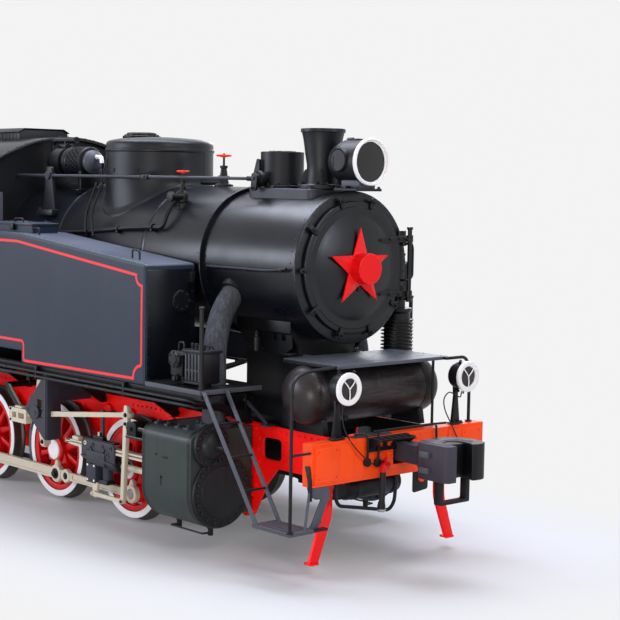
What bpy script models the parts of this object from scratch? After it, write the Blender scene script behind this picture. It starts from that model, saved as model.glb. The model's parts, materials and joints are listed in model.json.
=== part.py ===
"""Six-coupled steam tank locomotive for 1520 mm track, at real size.

Metres, +X to the front, +Z up, +Y to the engine's left. Places along the engine are measured
from the front axle, heights from the top of the rail and widths from the middle. The world's
origin lies midway between the coupler tips, at the height of the wheel flanges' lowest point.
"""

import math

import bmesh
import bpy
from mathutils import Matrix, Vector

# Overall sizes
front_axle_x = 0.88
axle_spacing = 1.41
boiler_height = 2.711
frame_top = 1.20
body_half_width = 1.40
front_beam_face = 3.087
rear_beam_face = -4.847
coupler_height = 1.06
seat_gap = 0.0003
overrun = 0.02
round_steps = 20
barrel_steps = 24

# Wheels and axles
tread_radius = 0.525
flange_depth = 0.03
flange_width = 0.03
wheel_inner_face = 0.72
wheel_outer_face = 0.86
tyre_thickness = 0.07
rim_depth = 0.055
rim_inset = 0.02
spoke_count = 10
spoke_width_share = 0.36
web_thickness = 0.05
hub_radius = 0.15
hub_cap_radius = 0.11
hub_proud = 0.03
hub_cap_proud = 0.044
axle_radius = 0.085
axle_sides = 14
crank_radius = 0.28
crank_angle = -57.0
quarter_angle = 90.0
crank_boss_radius = 0.10
pin_radius = 0.045
pin_end = 0.975
pin_sides = 10
pin_clearance = 0.0008
balance_reach_share = 0.98
wheel_steps = 20

# Coupling rods
rod_inner_face = 0.915
rod_thickness = 0.05
rod_eye_proud = 0.003
rod_side_play = 0.0008
crank_boss_proud = rod_inner_face - rod_eye_proud - rod_side_play - wheel_outer_face
rod_depth_rear = 0.115
rod_depth_front = 0.085
rod_eye_radius = 0.095
knuckle_offset = 0.19
knuckle_radius = 0.075
oil_cup_height = 0.15
oil_cup_half = 0.045

# Main frame
frame_plate_outer = 0.63
frame_plate_thickness = 0.03
frame_front_bottom = 0.80
frame_low_bottom = 0.27
frame_middle_bottom = 0.40
frame_rear_bottom = 0.72
axle_hole_radius = 0.105
axle_box_half = 0.16
axle_box_depth = 0.07
axle_box_lap = 0.004
stretcher_thickness = 0.05
lightening_hole_x = 1.983
lightening_hole_z = 0.98
lightening_hole_half_x = 0.138
lightening_hole_half_z = 0.105
lightening_hole_corner = 0.05

# Beams
beam_half_width = 1.115
beam_bottom = 0.838
beam_top = 1.225
beam_depth = 0.122
end_plate_inner = 0.62
end_plate_margin = 0.025
end_plate_thickness = 0.012
pocket_half_width = 0.20
pocket_half_height = 0.19
pocket_length = 0.10

# Couplers
coupler_reach = 0.843
stretcher_set = 0.002
coupler_shank_half = 0.09
coupler_head_half_height = 0.165
coupler_body_reach = 0.36
coupler_guard_bottom = 0.67
coupler_guard_thickness = 0.03
coupler_guard_width = 0.05

# Boiler, firebox and smokebox
cladding_radius = 0.745
cladding_front = 0.985
cladding_back = -2.90
band_height = 0.012
band_width = 0.07
cab_front = -2.60
firebox_front = -1.62
firebox_half_width = 0.52
firebox_bottom = 0.82
smokebox_radius = 0.708
smokebox_wall = 0.03
smokebox_front = 2.375
front_ring_width = 0.05
front_ring_height = 0.018
tube_plate = 1.10
saddle_front = 2.05
saddle_back = 1.25
saddle_half_width = 0.48
saddle_neck_share = 0.72
saddle_pad = 0.004
smokebox_rail_reach = 0.05
smokebox_rail_drop = 0.03
smokebox_rail_back = 1.13
smokebox_rail_front = 2.30
smokebox_rail_posts = (1.20, 1.72, 2.26)
smokebox_rail_radius = 0.012

# Smokebox door with its star
door_radius = 0.63
door_flat_radius = 0.50
door_edge = 0.035
door_bulge = 0.10
door_hinge_y = 0.70
door_hinge_x = 2.45
strap_half_height = 0.03
strap_heights = (0.27, -0.27)
strap_thickness = 0.02
hinge_pin_radius = 0.022
hinge_seat = 0.0005
door_gap = 0.005
star_radius = 0.385
star_inner_share = 0.40
star_edge = 0.012
star_ridge = 0.055
star_hub_radius = 0.147
star_hub_front = 2.635
clamp_radius = 0.665
clamp_angles = (5, 32, 58, 95, 125, 152, 208, 235, 265, 302, 328, 352)
clamp_length = 0.10
clamp_width = 0.045

# Chimney, throttle housing and saddle plate
chimney_x = 1.94
chimney_above_boiler = 1.319
chimney_top = boiler_height + chimney_above_boiler
chimney_lip_radius = 0.217
chimney_lip_height = 0.035
chimney_neck_radius = 0.15
chimney_neck_above_boiler = 0.919
chimney_neck_height = boiler_height + chimney_neck_above_boiler
chimney_bore_radius = 0.12
chimney_base_radius = 0.24
chimney_base_above_boiler = 0.779
chimney_base_height = boiler_height + chimney_base_above_boiler
chimney_rib_reach = 0.075
chimney_rib_thickness = 0.02
saddle_plate_front = 2.12
saddle_plate_back = 1.15
saddle_plate_half = 0.30
saddle_plate_above_boiler = 0.739
saddle_plate_top = boiler_height + saddle_plate_above_boiler
saddle_plate_bottom = 3.36
saddle_plate_chamfer = 0.10
drum_x = 1.345
drum_radius = 0.215
drum_above_boiler = 1.099
drum_top = boiler_height + drum_above_boiler
throttle_y = 0.35
throttle_rear_y = 0.62
throttle_joint_x = -0.10
throttle_bracket_x = -1.93
throttle_above_boiler = 0.829
throttle_height = boiler_height + throttle_above_boiler
throttle_radius = 0.017

# Dome
dome_x = -0.70
dome_radius = 0.583
dome_above_boiler = 1.269
dome_top = boiler_height + dome_above_boiler
dome_shoulder_above_boiler = 1.189
dome_shoulder = boiler_height + dome_shoulder_above_boiler
dome_band_above_boiler = 1.134
dome_band_height = boiler_height + dome_band_above_boiler
dome_band_width = 0.03
dome_foot_flare = 0.05
dome_lid_radius = 0.20
dome_lid_height = 0.055
dome_lid_offset = 0.34

# Screw-down valves on the barrel ahead of the dome
valve_right_x = 0.378
valve_right_y = 0.50
valve_right_rise = 0.891
valve_top_x = 0.418
valve_top_rise = 1.063
valve_neck_height = 0.16
valve_body_radius = 0.05
valve_stem_radius = 0.012
handwheel_radius = 0.075
handwheel_rim = 0.012

# Headlamp on the smokebox
headlamp_above_boiler = 1.001
headlamp_height = boiler_height + headlamp_above_boiler
headlamp_radius = 0.215
headlamp_front = 2.63
headlamp_rim_depth = 0.08
headlamp_body_back = 2.29
headlamp_back = 2.13
headlamp_recess = 0.10
headlamp_boss_radius = 0.115
headlamp_boss_x = 2.384
headlamp_foot = 3.42
headlamp_foot_half_y = 0.11
headlamp_foot_front = 2.57
headlamp_foot_back = 2.31

# Turbo generator
turbo_y = 0.25
turbo_above_boiler = 0.989
turbo_height = boiler_height + turbo_above_boiler
turbo_radius = 0.17
turbo_front = -1.54
turbo_back = -2.39
turbo_foot_half = 0.10
exhaust_radius = 0.03
exhaust_above_boiler = 1.234
exhaust_top = boiler_height + exhaust_above_boiler

# Side tanks
tank_front = 0.985
tank_gap = 0.045
tank_inner = cladding_radius + tank_gap
tank_bottom = 1.535
tank_rear_bottom = 1.663
tank_notch_x = -1.274
tank_front_top = 2.704
tank_top = 2.924
tank_slope_x = -1.305
tank_edge_radius = 0.03
filler_front = -1.27
filler_back = -2.02
filler_outer_inset = 0.14
filler_outer = body_half_width - filler_outer_inset
filler_inner_inset = 0.15
filler_inner = tank_inner + filler_inner_inset
filler_height = 0.075
lid_thickness = 0.025
lid_overhang = 0.015

# Running boards and what stands on them
board_front = 1.858
board_top = 1.585
board_thickness = 0.046
board_inner = 0.66
sill_outer_inset = 0.06
sill_outer = body_half_width - sill_outer_inset
sill_width = 0.05
sill_height = 0.07
outrigger_thickness = 0.03
outriggers = (1.66, 0.50, -0.80, -2.30)
pipe_radius = 0.017
pipe_heights = (1.468, 1.42)
pole_x = 1.83
pole_top = 2.36
pole_radius = 0.013
lug_inset = 0.003
outrigger_knee_y = 1.02
outrigger_knee_z = 1.34
outrigger_tip_z = 1.40
outrigger_root = 0.07

# Cab and bunker
cab_back = -4.15
cab_wall = 0.03
cab_floor = 1.35
floor_thickness = 0.05
roof_peak_above_boiler = 1.279
roof_peak = boiler_height + roof_peak_above_boiler
roof_radius_share = 1.3214
roof_radius = body_half_width * roof_radius_share
roof_steps = 14
roof_thickness = 0.03
roof_overhang = 0.11
roof_side_overhang = 0.03
cab_eave = 3.33
door_front = -3.47
door_back = -4.05
door_above_boiler = 0.409
door_top = boiler_height + door_above_boiler
cab_door_gap = 0.006
cab_hinge_radius = 0.012
cab_hinge_low = 0.27
cab_hinge_drop = 0.34
cab_hinge_heights = (cab_floor + cab_hinge_low, door_top - cab_hinge_drop)
cab_rail_low = 0.20
cab_rail_drop = 0.05
cab_rail_radius = 0.009
cab_rail_reach = 0.02
cab_rail_set = 0.06
door_handle_drop = 0.20
door_handle_set = 0.07
cab_hinge_length = 0.11
cab_strap_length = 0.16
cab_lug_depth = 0.03
cab_door_hinge_y = body_half_width + cab_hinge_radius + 0.002
side_window_front = -2.80
side_window_back = -3.32
side_window_bottom_below_boiler = 0.361
side_window_bottom = boiler_height - side_window_bottom_below_boiler
side_window_above_boiler = 0.269
side_window_top = boiler_height + side_window_above_boiler
front_window_inner = 0.86
front_window_outer_inset = 0.14
front_window_outer = body_half_width - front_window_outer_inset
front_window_bottom_above_boiler = 0.309
front_window_bottom = boiler_height + front_window_bottom_above_boiler
front_window_above_boiler = 0.609
front_window_top = boiler_height + front_window_above_boiler
back_window_inner = 0.35
back_window_outer_inset = 0.25
back_window_outer = body_half_width - back_window_outer_inset
back_window_bottom_above_boiler = 0.009
back_window_bottom = boiler_height + back_window_bottom_above_boiler
back_window_above_boiler = 0.509
back_window_top = boiler_height + back_window_above_boiler
vent_front = -3.05
vent_back = -3.60
vent_half = 0.34
vent_above_boiler = 1.389
vent_top = boiler_height + vent_above_boiler
bunker_back = -4.80
bunker_top = 2.60
bunker_wall = 0.02
cab_step_front = -3.52
cab_step_back = -4.00
cab_step_heights = (0.42, 0.86)
step_plate = 0.025
hanger_half = 0.02

# Cylinders
cylinder_front = 1.70
cylinder_back = 0.93
cylinder_inner = frame_plate_outer + seat_gap
cylinder_outer = 1.39
cylinder_y = 1.03
cylinder_z = 0.58
cylinder_radius = 0.36
casing_top = 1.17
casing_corner = 0.13
cover_radius = 0.345
cover_thickness = 0.045
valve_y = 1.16
valve_z = 1.03
valve_radius = 0.205
valve_dome_radius = 0.13
valve_tail_radius = 0.035
valve_tail_front = 1.93
back_cover_radius = 0.29
gland_radius = 0.08

# Steam pipes and lubricator
steam_pipe_radius = 0.115
steam_pipe_x = 1.50
steam_pipe_y = 0.955
steam_pipe_below_boiler = 0.15
steam_pipe_top = boiler_height - steam_pipe_below_boiler
lubricator_front = 1.78
lubricator_split_share = 0.46
lubricator_foot = 0.04
lubricator_lid = 0.02
lubricator_shaft_share = 0.72
lubricator_shaft_radius = 0.05
lubricator_boss_radius = 0.075
lubricator_boss_reach = 0.05
lubricator_back = 1.30
lubricator_depth = 0.22
lubricator_gap = 0.04
lubricator_inner = steam_pipe_y + steam_pipe_radius + lubricator_gap
lubricator_outer = lubricator_inner + lubricator_depth
lubricator_top = 1.93

# Air tank, platform, steps and guards
air_tank_x = 2.54
air_tank_rise = 0.37
air_tank_z = frame_top + air_tank_rise
air_tank_radius = 0.272
air_tank_half_length = 1.05
air_tank_dish = 0.09
air_tank_cradle_half = 0.035
platform_front = 2.97
platform_back = 2.38
platform_half = 0.72
platform_rise = 0.31
platform_top = air_tank_z + platform_rise
platform_thickness = 0.034
hoop_radius = 0.016
hoop_drop = 0.018
hoop_lean = 0.09
hoop_inset = 0.25
hoop_set = 0.03
hoop_bend = 0.14
hoop_tie_z = 1.146
hoop_tie_radius = 0.012
step_front = 3.13
step_back = 2.60
step_outer = 1.40
step_inner = 1.10
step_top = 0.475
step_thickness = 0.03
ladder_rungs = 4
stringer_width = 0.055
stringer_thickness = 0.016
rung_radius = 0.011
guard_x = 2.87
guard_top_y = 0.74
guard_top_z = 0.95
guard_knee_z = 0.50
guard_foot_y = 0.88
guard_foot_x = 2.80
guard_foot_z = 0.075
guard_width = 0.13
guard_thickness = 0.035

# Beam lamps
lamp_y = 0.775
lamp_front = 3.20
lamp_back = 3.00
lamp_height = 1.70
lamp_radius = 0.147
lamp_ring_depth = 0.025
lamp_stand_x = 3.03
lamp_stand_half = 0.04

# Compressor
compressor_x = 2.08
compressor_y = 0.92
compressor_bottom_below_boiler = 0.991
compressor_bottom = boiler_height - compressor_bottom_below_boiler
compressor_above_boiler = 0.009
compressor_top = boiler_height + compressor_above_boiler
compressor_radius = 0.13
fin_radius = 0.165
fin_pitch = 0.10
fin_thickness = 0.025

# Motion
motion_y = 1.10
slide_bar_back = -0.83
slide_bar_bottom = 0.70
slide_bar_top = 0.76
slide_bar_half_width = 0.045
crosshead_back = -0.50
crosshead_front = 0.11
crosshead_top = 0.81
crosshead_waist = 0.57
crosshead_bottom = 0.36
crosshead_plate = 0.03
piston_rod_radius = 0.035
drop_arm_x = -0.24
union_height = 0.26
lever_foot_x = 0.28
lever_top_x = 0.34
lever_top_z = 1.25
lever_half_width = 0.028
lever_thickness = 0.03
radius_rod_front_z = 1.15
radius_rod_tail_x = -1.88
radius_rod_tail_z = 0.89
radius_rod_half_depth = 0.032
link_x = -1.30
link_top = 1.33
link_foot = 0.60
link_half_width = 0.035
link_bow = 0.06
bracket_back = -1.51
bracket_front = -1.07
bracket_top = 1.44
bracket_bottom = 0.70

# Brake gear
brake_shoe_gap = 0.012
brake_shoe_depth = 0.055
hanger_y = 0.80
hanger_pin_height = 1.02
pull_rod_y = 0.675
pull_rod_height = 0.30

# Brake hose and lamp cables
hose_radius = 0.028
hose_top = (3.145, -0.295, 0.90)
hose_route = (hose_top, (3.145, -0.295, 0.80), (3.143, -0.297, 0.68), (3.138, -0.30, 0.56))
cock_height = 0.955
cock_reach = 0.075
cock_radius = 0.032
cable_radius = 0.006
right_cable_route = (
    (3.108, -0.775, 1.549), (3.112, -0.782, 1.44), (3.118, -0.755, 1.32), (3.122, -0.68, 1.21),
    (3.122, -0.58, 1.11), (3.120, -0.48, 1.03), (3.117, -0.39, 0.975), (3.108, -0.34, 0.95),
    (3.0985, -0.335, 0.947), (3.0875, -0.335, 0.947),
)
left_cable_route = (
    (3.108, 0.775, 1.549), (3.125, 0.74, 1.50), (3.135, 0.66, 1.53), (3.135, 0.57, 1.56),
    (3.130, 0.51, 1.50), (3.125, 0.53, 1.40), (3.122, 0.60, 1.29), (3.120, 0.68, 1.17),
    (3.128, 0.72, 1.085), (3.118, 0.73, 1.055), (3.1003, 0.73, 1.055),
)


def at(x, y, z):
    """World place of a point given from the front axle, the middle and the rail top."""
    return Vector((front_axle_x + x, y, flange_depth + z))


for old in list(bpy.data.objects):
    bpy.data.objects.remove(old, do_unlink=True)

parts = bpy.data.collections.new("steam_locomotive")
helpers = bpy.data.collections.new("cutters")
bpy.context.scene.collection.children.link(parts)
bpy.context.scene.collection.children.link(helpers)
helpers.hide_render = True

finishes = {}
bodies = {}


def finish(name, colour, roughness, metallic):
    material = bpy.data.materials.new(name)
    material.use_nodes = True
    shader = material.node_tree.nodes["Principled BSDF"]
    shader.inputs["Base Color"].default_value = (*colour, 1)
    shader.inputs["Roughness"].default_value = roughness
    shader.inputs["Metallic"].default_value = metallic
    material.diffuse_color = (*colour, 1)
    finishes[name] = material


finish("black_paint", (0.012, 0.014, 0.018), 0.35, 0.0)
finish("tank_paint", (0.045, 0.062, 0.085), 0.35, 0.0)
finish("frame_red", (0.90, 0.006, 0.004), 0.45, 0.0)
finish("beam_orange", (0.95, 0.09, 0.004), 0.45, 0.0)
finish("wheel_red", (0.55, 0.01, 0.01), 0.45, 0.0)
finish("rod_cream", (0.62, 0.54, 0.42), 0.5, 0.0)
finish("cladding_green", (0.045, 0.055, 0.055), 0.4, 0.0)
finish("step_grey", (0.09, 0.10, 0.12), 0.5, 0.0)
finish("rubber", (0.01, 0.01, 0.012), 0.7, 0.0)
finish("lamp_white", (0.8, 0.8, 0.8), 0.4, 0.0)


def body(name, origin, parent=None):
    """Empty on a moving body's axis, which carries its pieces."""
    empty = bpy.data.objects.new(name + "_axis", None)
    parts.objects.link(empty)
    empty["place"] = tuple(origin)
    empty.location = origin
    if parent:
        empty.parent = bodies[parent]
        empty.location = origin - Vector(bodies[parent]["place"])
    bodies[name] = empty
    return empty


def from_bmesh(bm, name="piece"):
    bmesh.ops.recalc_face_normals(bm, faces=bm.faces)
    mesh = bpy.data.meshes.new(name)
    bm.to_mesh(mesh)
    bm.free()
    obj = bpy.data.objects.new(name, mesh)
    helpers.objects.link(obj)
    return obj


def block(xs, ys, zs):
    """Block between two places on each axis."""
    a = at(min(xs), min(ys), min(zs))
    b = at(max(xs), max(ys), max(zs))
    bm = bmesh.new()
    size = Matrix.Diagonal((*(b - a), 1))
    bmesh.ops.create_cube(bm, size=1, matrix=Matrix.Translation((a + b) / 2) @ size)
    return from_bmesh(bm)


def rod(start, end, radius, end_radius=None, steps=8):
    """Round bar, or cone, between two points."""
    a, b = at(*start), at(*end)
    turn = Vector((0, 0, 1)).rotation_difference(b - a).to_matrix().to_4x4()
    bm = bmesh.new()
    bmesh.ops.create_cone(
        bm,
        cap_ends=True,
        segments=steps,
        radius1=radius,
        radius2=radius if end_radius is None else end_radius,
        depth=(b - a).length,
        matrix=Matrix.Translation((a + b) / 2) @ turn,
    )
    return from_bmesh(bm)


def evaluated_mesh(obj, merge=True):
    """The object as a welded mesh object, in place of the first one."""
    bpy.context.view_layer.update()
    graph = bpy.context.evaluated_depsgraph_get()
    mesh = bpy.data.meshes.new_from_object(obj.evaluated_get(graph))
    mesh.transform(obj.matrix_world)
    bm = bmesh.new()
    bm.from_mesh(mesh)
    if merge:
        bmesh.ops.remove_doubles(bm, verts=bm.verts, dist=0.00002)
    bpy.data.meshes.remove(mesh)
    bpy.data.objects.remove(obj, do_unlink=True)
    return from_bmesh(bm)


def turned(profile, centre, axis="X", steps=None, closed=False):
    """Profile of (along, radius) pairs, screwed round an axis through the centre."""
    mesh = bpy.data.meshes.new("profile")
    points = [(radius, 0, along) for along, radius in profile]
    edges = [(i, i + 1) for i in range(len(points) - 1)]
    if closed:
        edges.append((len(points) - 1, 0))
    mesh.from_pydata(points, edges, [])
    obj = bpy.data.objects.new("profile", mesh)
    helpers.objects.link(obj)
    screw = obj.modifiers.new("turn", "SCREW")
    screw.steps = screw.render_steps = steps or round_steps
    screw.use_merge_vertices = True
    screw.merge_threshold = 0.00001
    direction = {"X": (1, 0, 0), "Y": (0, 1, 0), "Z": (0, 0, 1)}[axis]
    turn = Vector((0, 0, 1)).rotation_difference(Vector(direction)).to_matrix().to_4x4()
    obj.matrix_world = Matrix.Translation(at(*centre)) @ turn
    return evaluated_mesh(obj)


def plate(outline, plane, span, holes=()):
    """Flat outline extruded between two places across its plane."""
    curve = bpy.data.curves.new("outline", "CURVE")
    curve.dimensions = "2D"
    curve.fill_mode = "BOTH"
    curve.extrude = abs(span[1] - span[0]) / 2
    for ring in (outline, *holes):
        spline = curve.splines.new("POLY")
        spline.points.add(len(ring) - 1)
        spline.use_cyclic_u = True
        for point, (u, v) in zip(spline.points, ring):
            point.co = (u, v, 0, 1)
    obj = bpy.data.objects.new("outline", curve)
    helpers.objects.link(obj)
    middle = (span[0] + span[1]) / 2
    columns, centre = {
        "xz": (((1, 0, 0), (0, 0, 1), (0, -1, 0)), at(0, middle, 0)),
        "yz": (((0, 1, 0), (0, 0, 1), (1, 0, 0)), at(middle, 0, 0)),
        "xy": (((1, 0, 0), (0, 1, 0), (0, 0, 1)), at(0, 0, middle)),
    }[plane]
    turn = Matrix(columns).transposed().to_4x4()
    obj.matrix_world = Matrix.Translation(centre) @ turn
    return evaluated_mesh(obj)


def pipe(points, radius, resolution=2, cyclic=False):
    """Round pipe through the points, as a welded mesh."""
    return evaluated_mesh(tube_curve("pipe", points, radius, resolution, cyclic, helpers))


def tube_curve(name, points, radius, resolution, cyclic, collection):
    curve = bpy.data.curves.new(name, "CURVE")
    curve.dimensions = "3D"
    curve.bevel_depth = radius
    curve.bevel_resolution = resolution
    curve.use_fill_caps = not cyclic
    spline = curve.splines.new("POLY")
    spline.points.add(len(points) - 1)
    spline.use_cyclic_u = cyclic
    for point, place in zip(spline.points, points):
        point.co = (*at(*place), 1)
    obj = bpy.data.objects.new(name, curve)
    collection.objects.link(obj)
    return obj


def eased(points, radius, steps=4):
    """Path through the points with each inner corner rounded."""
    path = [Vector(points[0])]
    for before, corner, after in zip(points, points[1:], points[2:]):
        corner = Vector(corner)
        back, ahead = Vector(before) - corner, Vector(after) - corner
        reach = min(radius, back.length / 2, ahead.length / 2)
        a = corner + back.normalized() * reach
        b = corner + ahead.normalized() * reach
        for i in range(steps + 1):
            t = i / steps
            path.append(a * (1 - t) ** 2 + corner * 2 * t * (1 - t) + b * t**2)
    path.append(Vector(points[-1]))
    return path


def rounded(outline, radius, steps=4):
    """Closed flat outline with its corners rounded by one radius or by one for each corner."""
    radii = radius if isinstance(radius, (list, tuple)) else [radius] * len(outline)
    ring = []
    for i, corner in enumerate(outline):
        corner = Vector(corner)
        back = Vector(outline[i - 1]) - corner
        ahead = Vector(outline[(i + 1) % len(outline)]) - corner
        reach = min(radii[i], back.length / 2, ahead.length / 2)
        if reach <= 0:
            ring.append(tuple(corner))
            continue
        a = corner + back.normalized() * reach
        b = corner + ahead.normalized() * reach
        for j in range(steps + 1):
            t = j / steps
            ring.append(tuple(a * (1 - t) ** 2 + corner * 2 * t * (1 - t) + b * t**2))
    return ring


def ring_points(centre, radius, count, start=0.0, sweep=360.0):
    """Points along an arc; a full circle leaves its last point out."""
    gaps = count if sweep == 360.0 else count - 1
    turns = [math.radians(start + sweep * i / gaps) for i in range(count)]
    return [(centre[0] + radius * math.cos(t), centre[1] + radius * math.sin(t)) for t in turns]


def rectangle(us, vs):
    return [(us[0], vs[0]), (us[1], vs[0]), (us[1], vs[1]), (us[0], vs[1])]


def boolean(target, others, operation):
    for other in others:
        step = target.modifiers.new(operation.lower(), "BOOLEAN")
        step.operation = operation
        step.solver = "EXACT"
        step.object = other


def fused(pieces, cuts=()):
    """One closed mesh from pieces that overlap, less the cutters."""
    base, rest = pieces[0], pieces[1:]
    boolean(base, rest, "UNION")
    boolean(base, cuts, "DIFFERENCE")
    result = evaluated_mesh(base)
    for used in (*rest, *cuts):
        bpy.data.objects.remove(used, do_unlink=True)
    return result


def drum_cutter(radius, back, front):
    """Solid drum on the boiler's axis, with the barrel's own facets and the seat gap."""
    reach = radius + seat_gap / math.cos(math.pi / barrel_steps)
    profile = [(0, 0), (0, reach), (front - back, reach), (front - back, 0)]
    return turned(profile, (back, 0, boiler_height), "X", barrel_steps)


def mirrored(obj):
    """Copy on the other side of the engine's middle."""
    mesh = obj.data.copy()
    mesh.transform(Matrix.Diagonal((1, -1, 1, 1)))
    mesh.flip_normals()
    copy = bpy.data.objects.new("copy", mesh)
    helpers.objects.link(copy)
    return copy


def node(name, obj, colour, origin, owner="locomotive"):
    """Named sub-part on its body, with its own origin."""
    origin = Vector(origin)
    obj.data.transform(Matrix.Translation(-origin))
    obj.name = name
    obj.data.name = name
    helpers.objects.unlink(obj)
    parts.objects.link(obj)
    obj.parent = bodies[owner]
    obj.location = origin - Vector(bodies[owner]["place"])
    obj.data.materials.clear()
    obj.data.materials.append(finishes[colour])
    obj.data.shade_smooth()
    obj.data.set_sharp_from_angle(angle=math.radians(35))
    return obj


def pair(name, make, colour, origin):
    """A piece on the right side and its mirror image on the left."""
    right = make()
    left = mirrored(right)
    x, y, z = origin
    node(name + "_right", right, colour, at(x, -y, z))
    node(name + "_left", left, colour, at(x, y, z))


axles = {"front": 0.0, "middle": -axle_spacing, "rear": -2 * axle_spacing}
body("locomotive", Vector((0, 0, 0)))
for place, axle_x in axles.items():
    body("wheelset_" + place, at(axle_x, 0, tread_radius), "locomotive")


def crank_place(side):
    """Crank pin from its axle, along and up, for a side of -1 (right) or 1 (left)."""
    turn = math.radians(crank_angle + (quarter_angle if side > 0 else 0))
    return crank_radius * math.cos(turn), crank_radius * math.sin(turn)


# Wheels: tyre with flange, spoked centre with balance weight, hub and crank pin
def wheel(side, axle_x):
    rim_outer = tread_radius - tyre_thickness
    rim_inner = rim_outer - rim_depth
    flange_radius = tread_radius + flange_depth
    inner, outer = wheel_inner_face, wheel_outer_face
    flange_out = inner + flange_width * 1.3
    profile = [
        (inner, rim_inner),
        (inner, flange_radius),
        (flange_out, tread_radius),
        (outer, tread_radius),
        (outer, rim_outer),
        (outer - rim_inset, rim_outer),
        (outer - rim_inset, rim_inner),
    ]
    centre = (axle_x, 0, tread_radius)
    tyre = turned(profile, centre, "Y", wheel_steps, closed=True)
    middle = (inner + outer) / 2
    web = (middle - web_thickness / 2, middle + web_thickness / 2)
    crank = crank_place(side)
    crank_turn = math.degrees(math.atan2(crank[1], crank[0]))
    holes = []
    pitch = 360 / spoke_count
    for i in range(spoke_count):
        turn = crank_turn + pitch * (i + 0.5)
        away = abs((turn - crank_turn + 180) % 360 - 180)
        if away > 180 - 1.6 * pitch:
            continue
        half = pitch * (1 - spoke_width_share) / 2
        spread = pitch / 2 * (1 - spoke_width_share * 1.6)
        hole_in = hub_radius + rim_depth
        ring = ring_points((axle_x, tread_radius), rim_inner + overrun / 2, 2, turn - half, 2 * half)
        ring += ring_points((axle_x, tread_radius), hole_in, 2, turn + spread, -2 * spread)
        holes.append(ring)
    disc = plate(
        ring_points((axle_x, tread_radius), rim_inner + overrun, wheel_steps), "xz", web, holes
    )
    hub = turned([(inner - overrun, 0), (inner - overrun, hub_radius), (outer + hub_proud, hub_radius),
                  (outer + hub_proud, hub_cap_radius), (outer + hub_cap_proud, hub_cap_radius * 0.9),
                  (outer + hub_cap_proud, 0)], centre, "Y", 12)
    pin_x, pin_z = axle_x + crank[0], tread_radius + crank[1]
    boss = rod((pin_x, middle, pin_z), (pin_x, outer + crank_boss_proud, pin_z),
               crank_boss_radius, steps=10)
    pin = rod((pin_x, middle, pin_z), (pin_x, pin_end, pin_z), pin_radius, steps=pin_sides)
    whole = fused([tyre, disc, hub, boss, pin])
    return mirrored(whole) if side < 0 else whole


for place, axle_x in axles.items():
    owner = "wheelset_" + place
    hub_place = at(axle_x, 0, tread_radius)
    for side, word in ((-1, "right"), (1, "left")):
        node(f"wheel_{place}_{word}", wheel(side, axle_x), "wheel_red", hub_place, owner)
    reach = wheel_inner_face - overrun - seat_gap
    bar = rod((axle_x, -reach, tread_radius), (axle_x, reach, tread_radius), axle_radius, steps=axle_sides)
    node("axle_" + place, bar, "wheel_red", hub_place, owner)


# Coupling rods: eyes on the crank pins, deeper rear half, knuckle ahead of the middle pin
def coupling_rod(side):
    crank = crank_place(side)
    z = tread_radius + crank[1]
    eyes = {place: axle_x + crank[0] for place, axle_x in axles.items()}
    span = (rod_inner_face, rod_inner_face + rod_thickness)
    rear = block((eyes["rear"], eyes["middle"]), span, (z - rod_depth_rear / 2, z + rod_depth_rear / 2))
    step = rod_eye_proud
    front = block((eyes["middle"], eyes["front"]), (span[0] + step, span[1] - step),
                  (z - rod_depth_front / 2, z + rod_depth_front / 2))
    pieces = [rear, front]
    cuts = []
    for eye_x in eyes.values():
        pieces.append(rod((eye_x, span[0] - step, z), (eye_x, span[1] + 2 * step, z),
                          rod_eye_radius, steps=pin_sides))
        cup = [(eye_x - oil_cup_half, z), (eye_x + oil_cup_half, z),
               (eye_x + oil_cup_half / 3, z + oil_cup_height),
               (eye_x - oil_cup_half / 3, z + oil_cup_height)]
        pieces.append(plate(cup, "xz", (span[0] + 3 * step, span[1] - 3 * step)))
        hole = (pin_radius + pin_clearance) / math.cos(math.pi / pin_sides)
        cuts.append(rod((eye_x, span[0] - overrun, z), (eye_x, span[1] + 2 * overrun, z),
                        hole, steps=pin_sides))
    knuckle_x = eyes["middle"] + knuckle_offset
    pieces.append(rod((knuckle_x, span[0] + 2 * step, z), (knuckle_x, span[1] + step, z),
                      knuckle_radius, steps=16))
    whole = fused(pieces, cuts)
    return mirrored(whole) if side < 0 else whole


for side, word in ((-1, "right"), (1, "left")):
    crank = crank_place(side)
    pin_place = at(axles["middle"] + crank[0], side * rod_inner_face, tread_radius + crank[1])
    body("rods_" + word, pin_place, "wheelset_middle")
    node("coupling_rod_" + word, coupling_rod(side), "rod_cream", pin_place, "rods_" + word)


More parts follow.
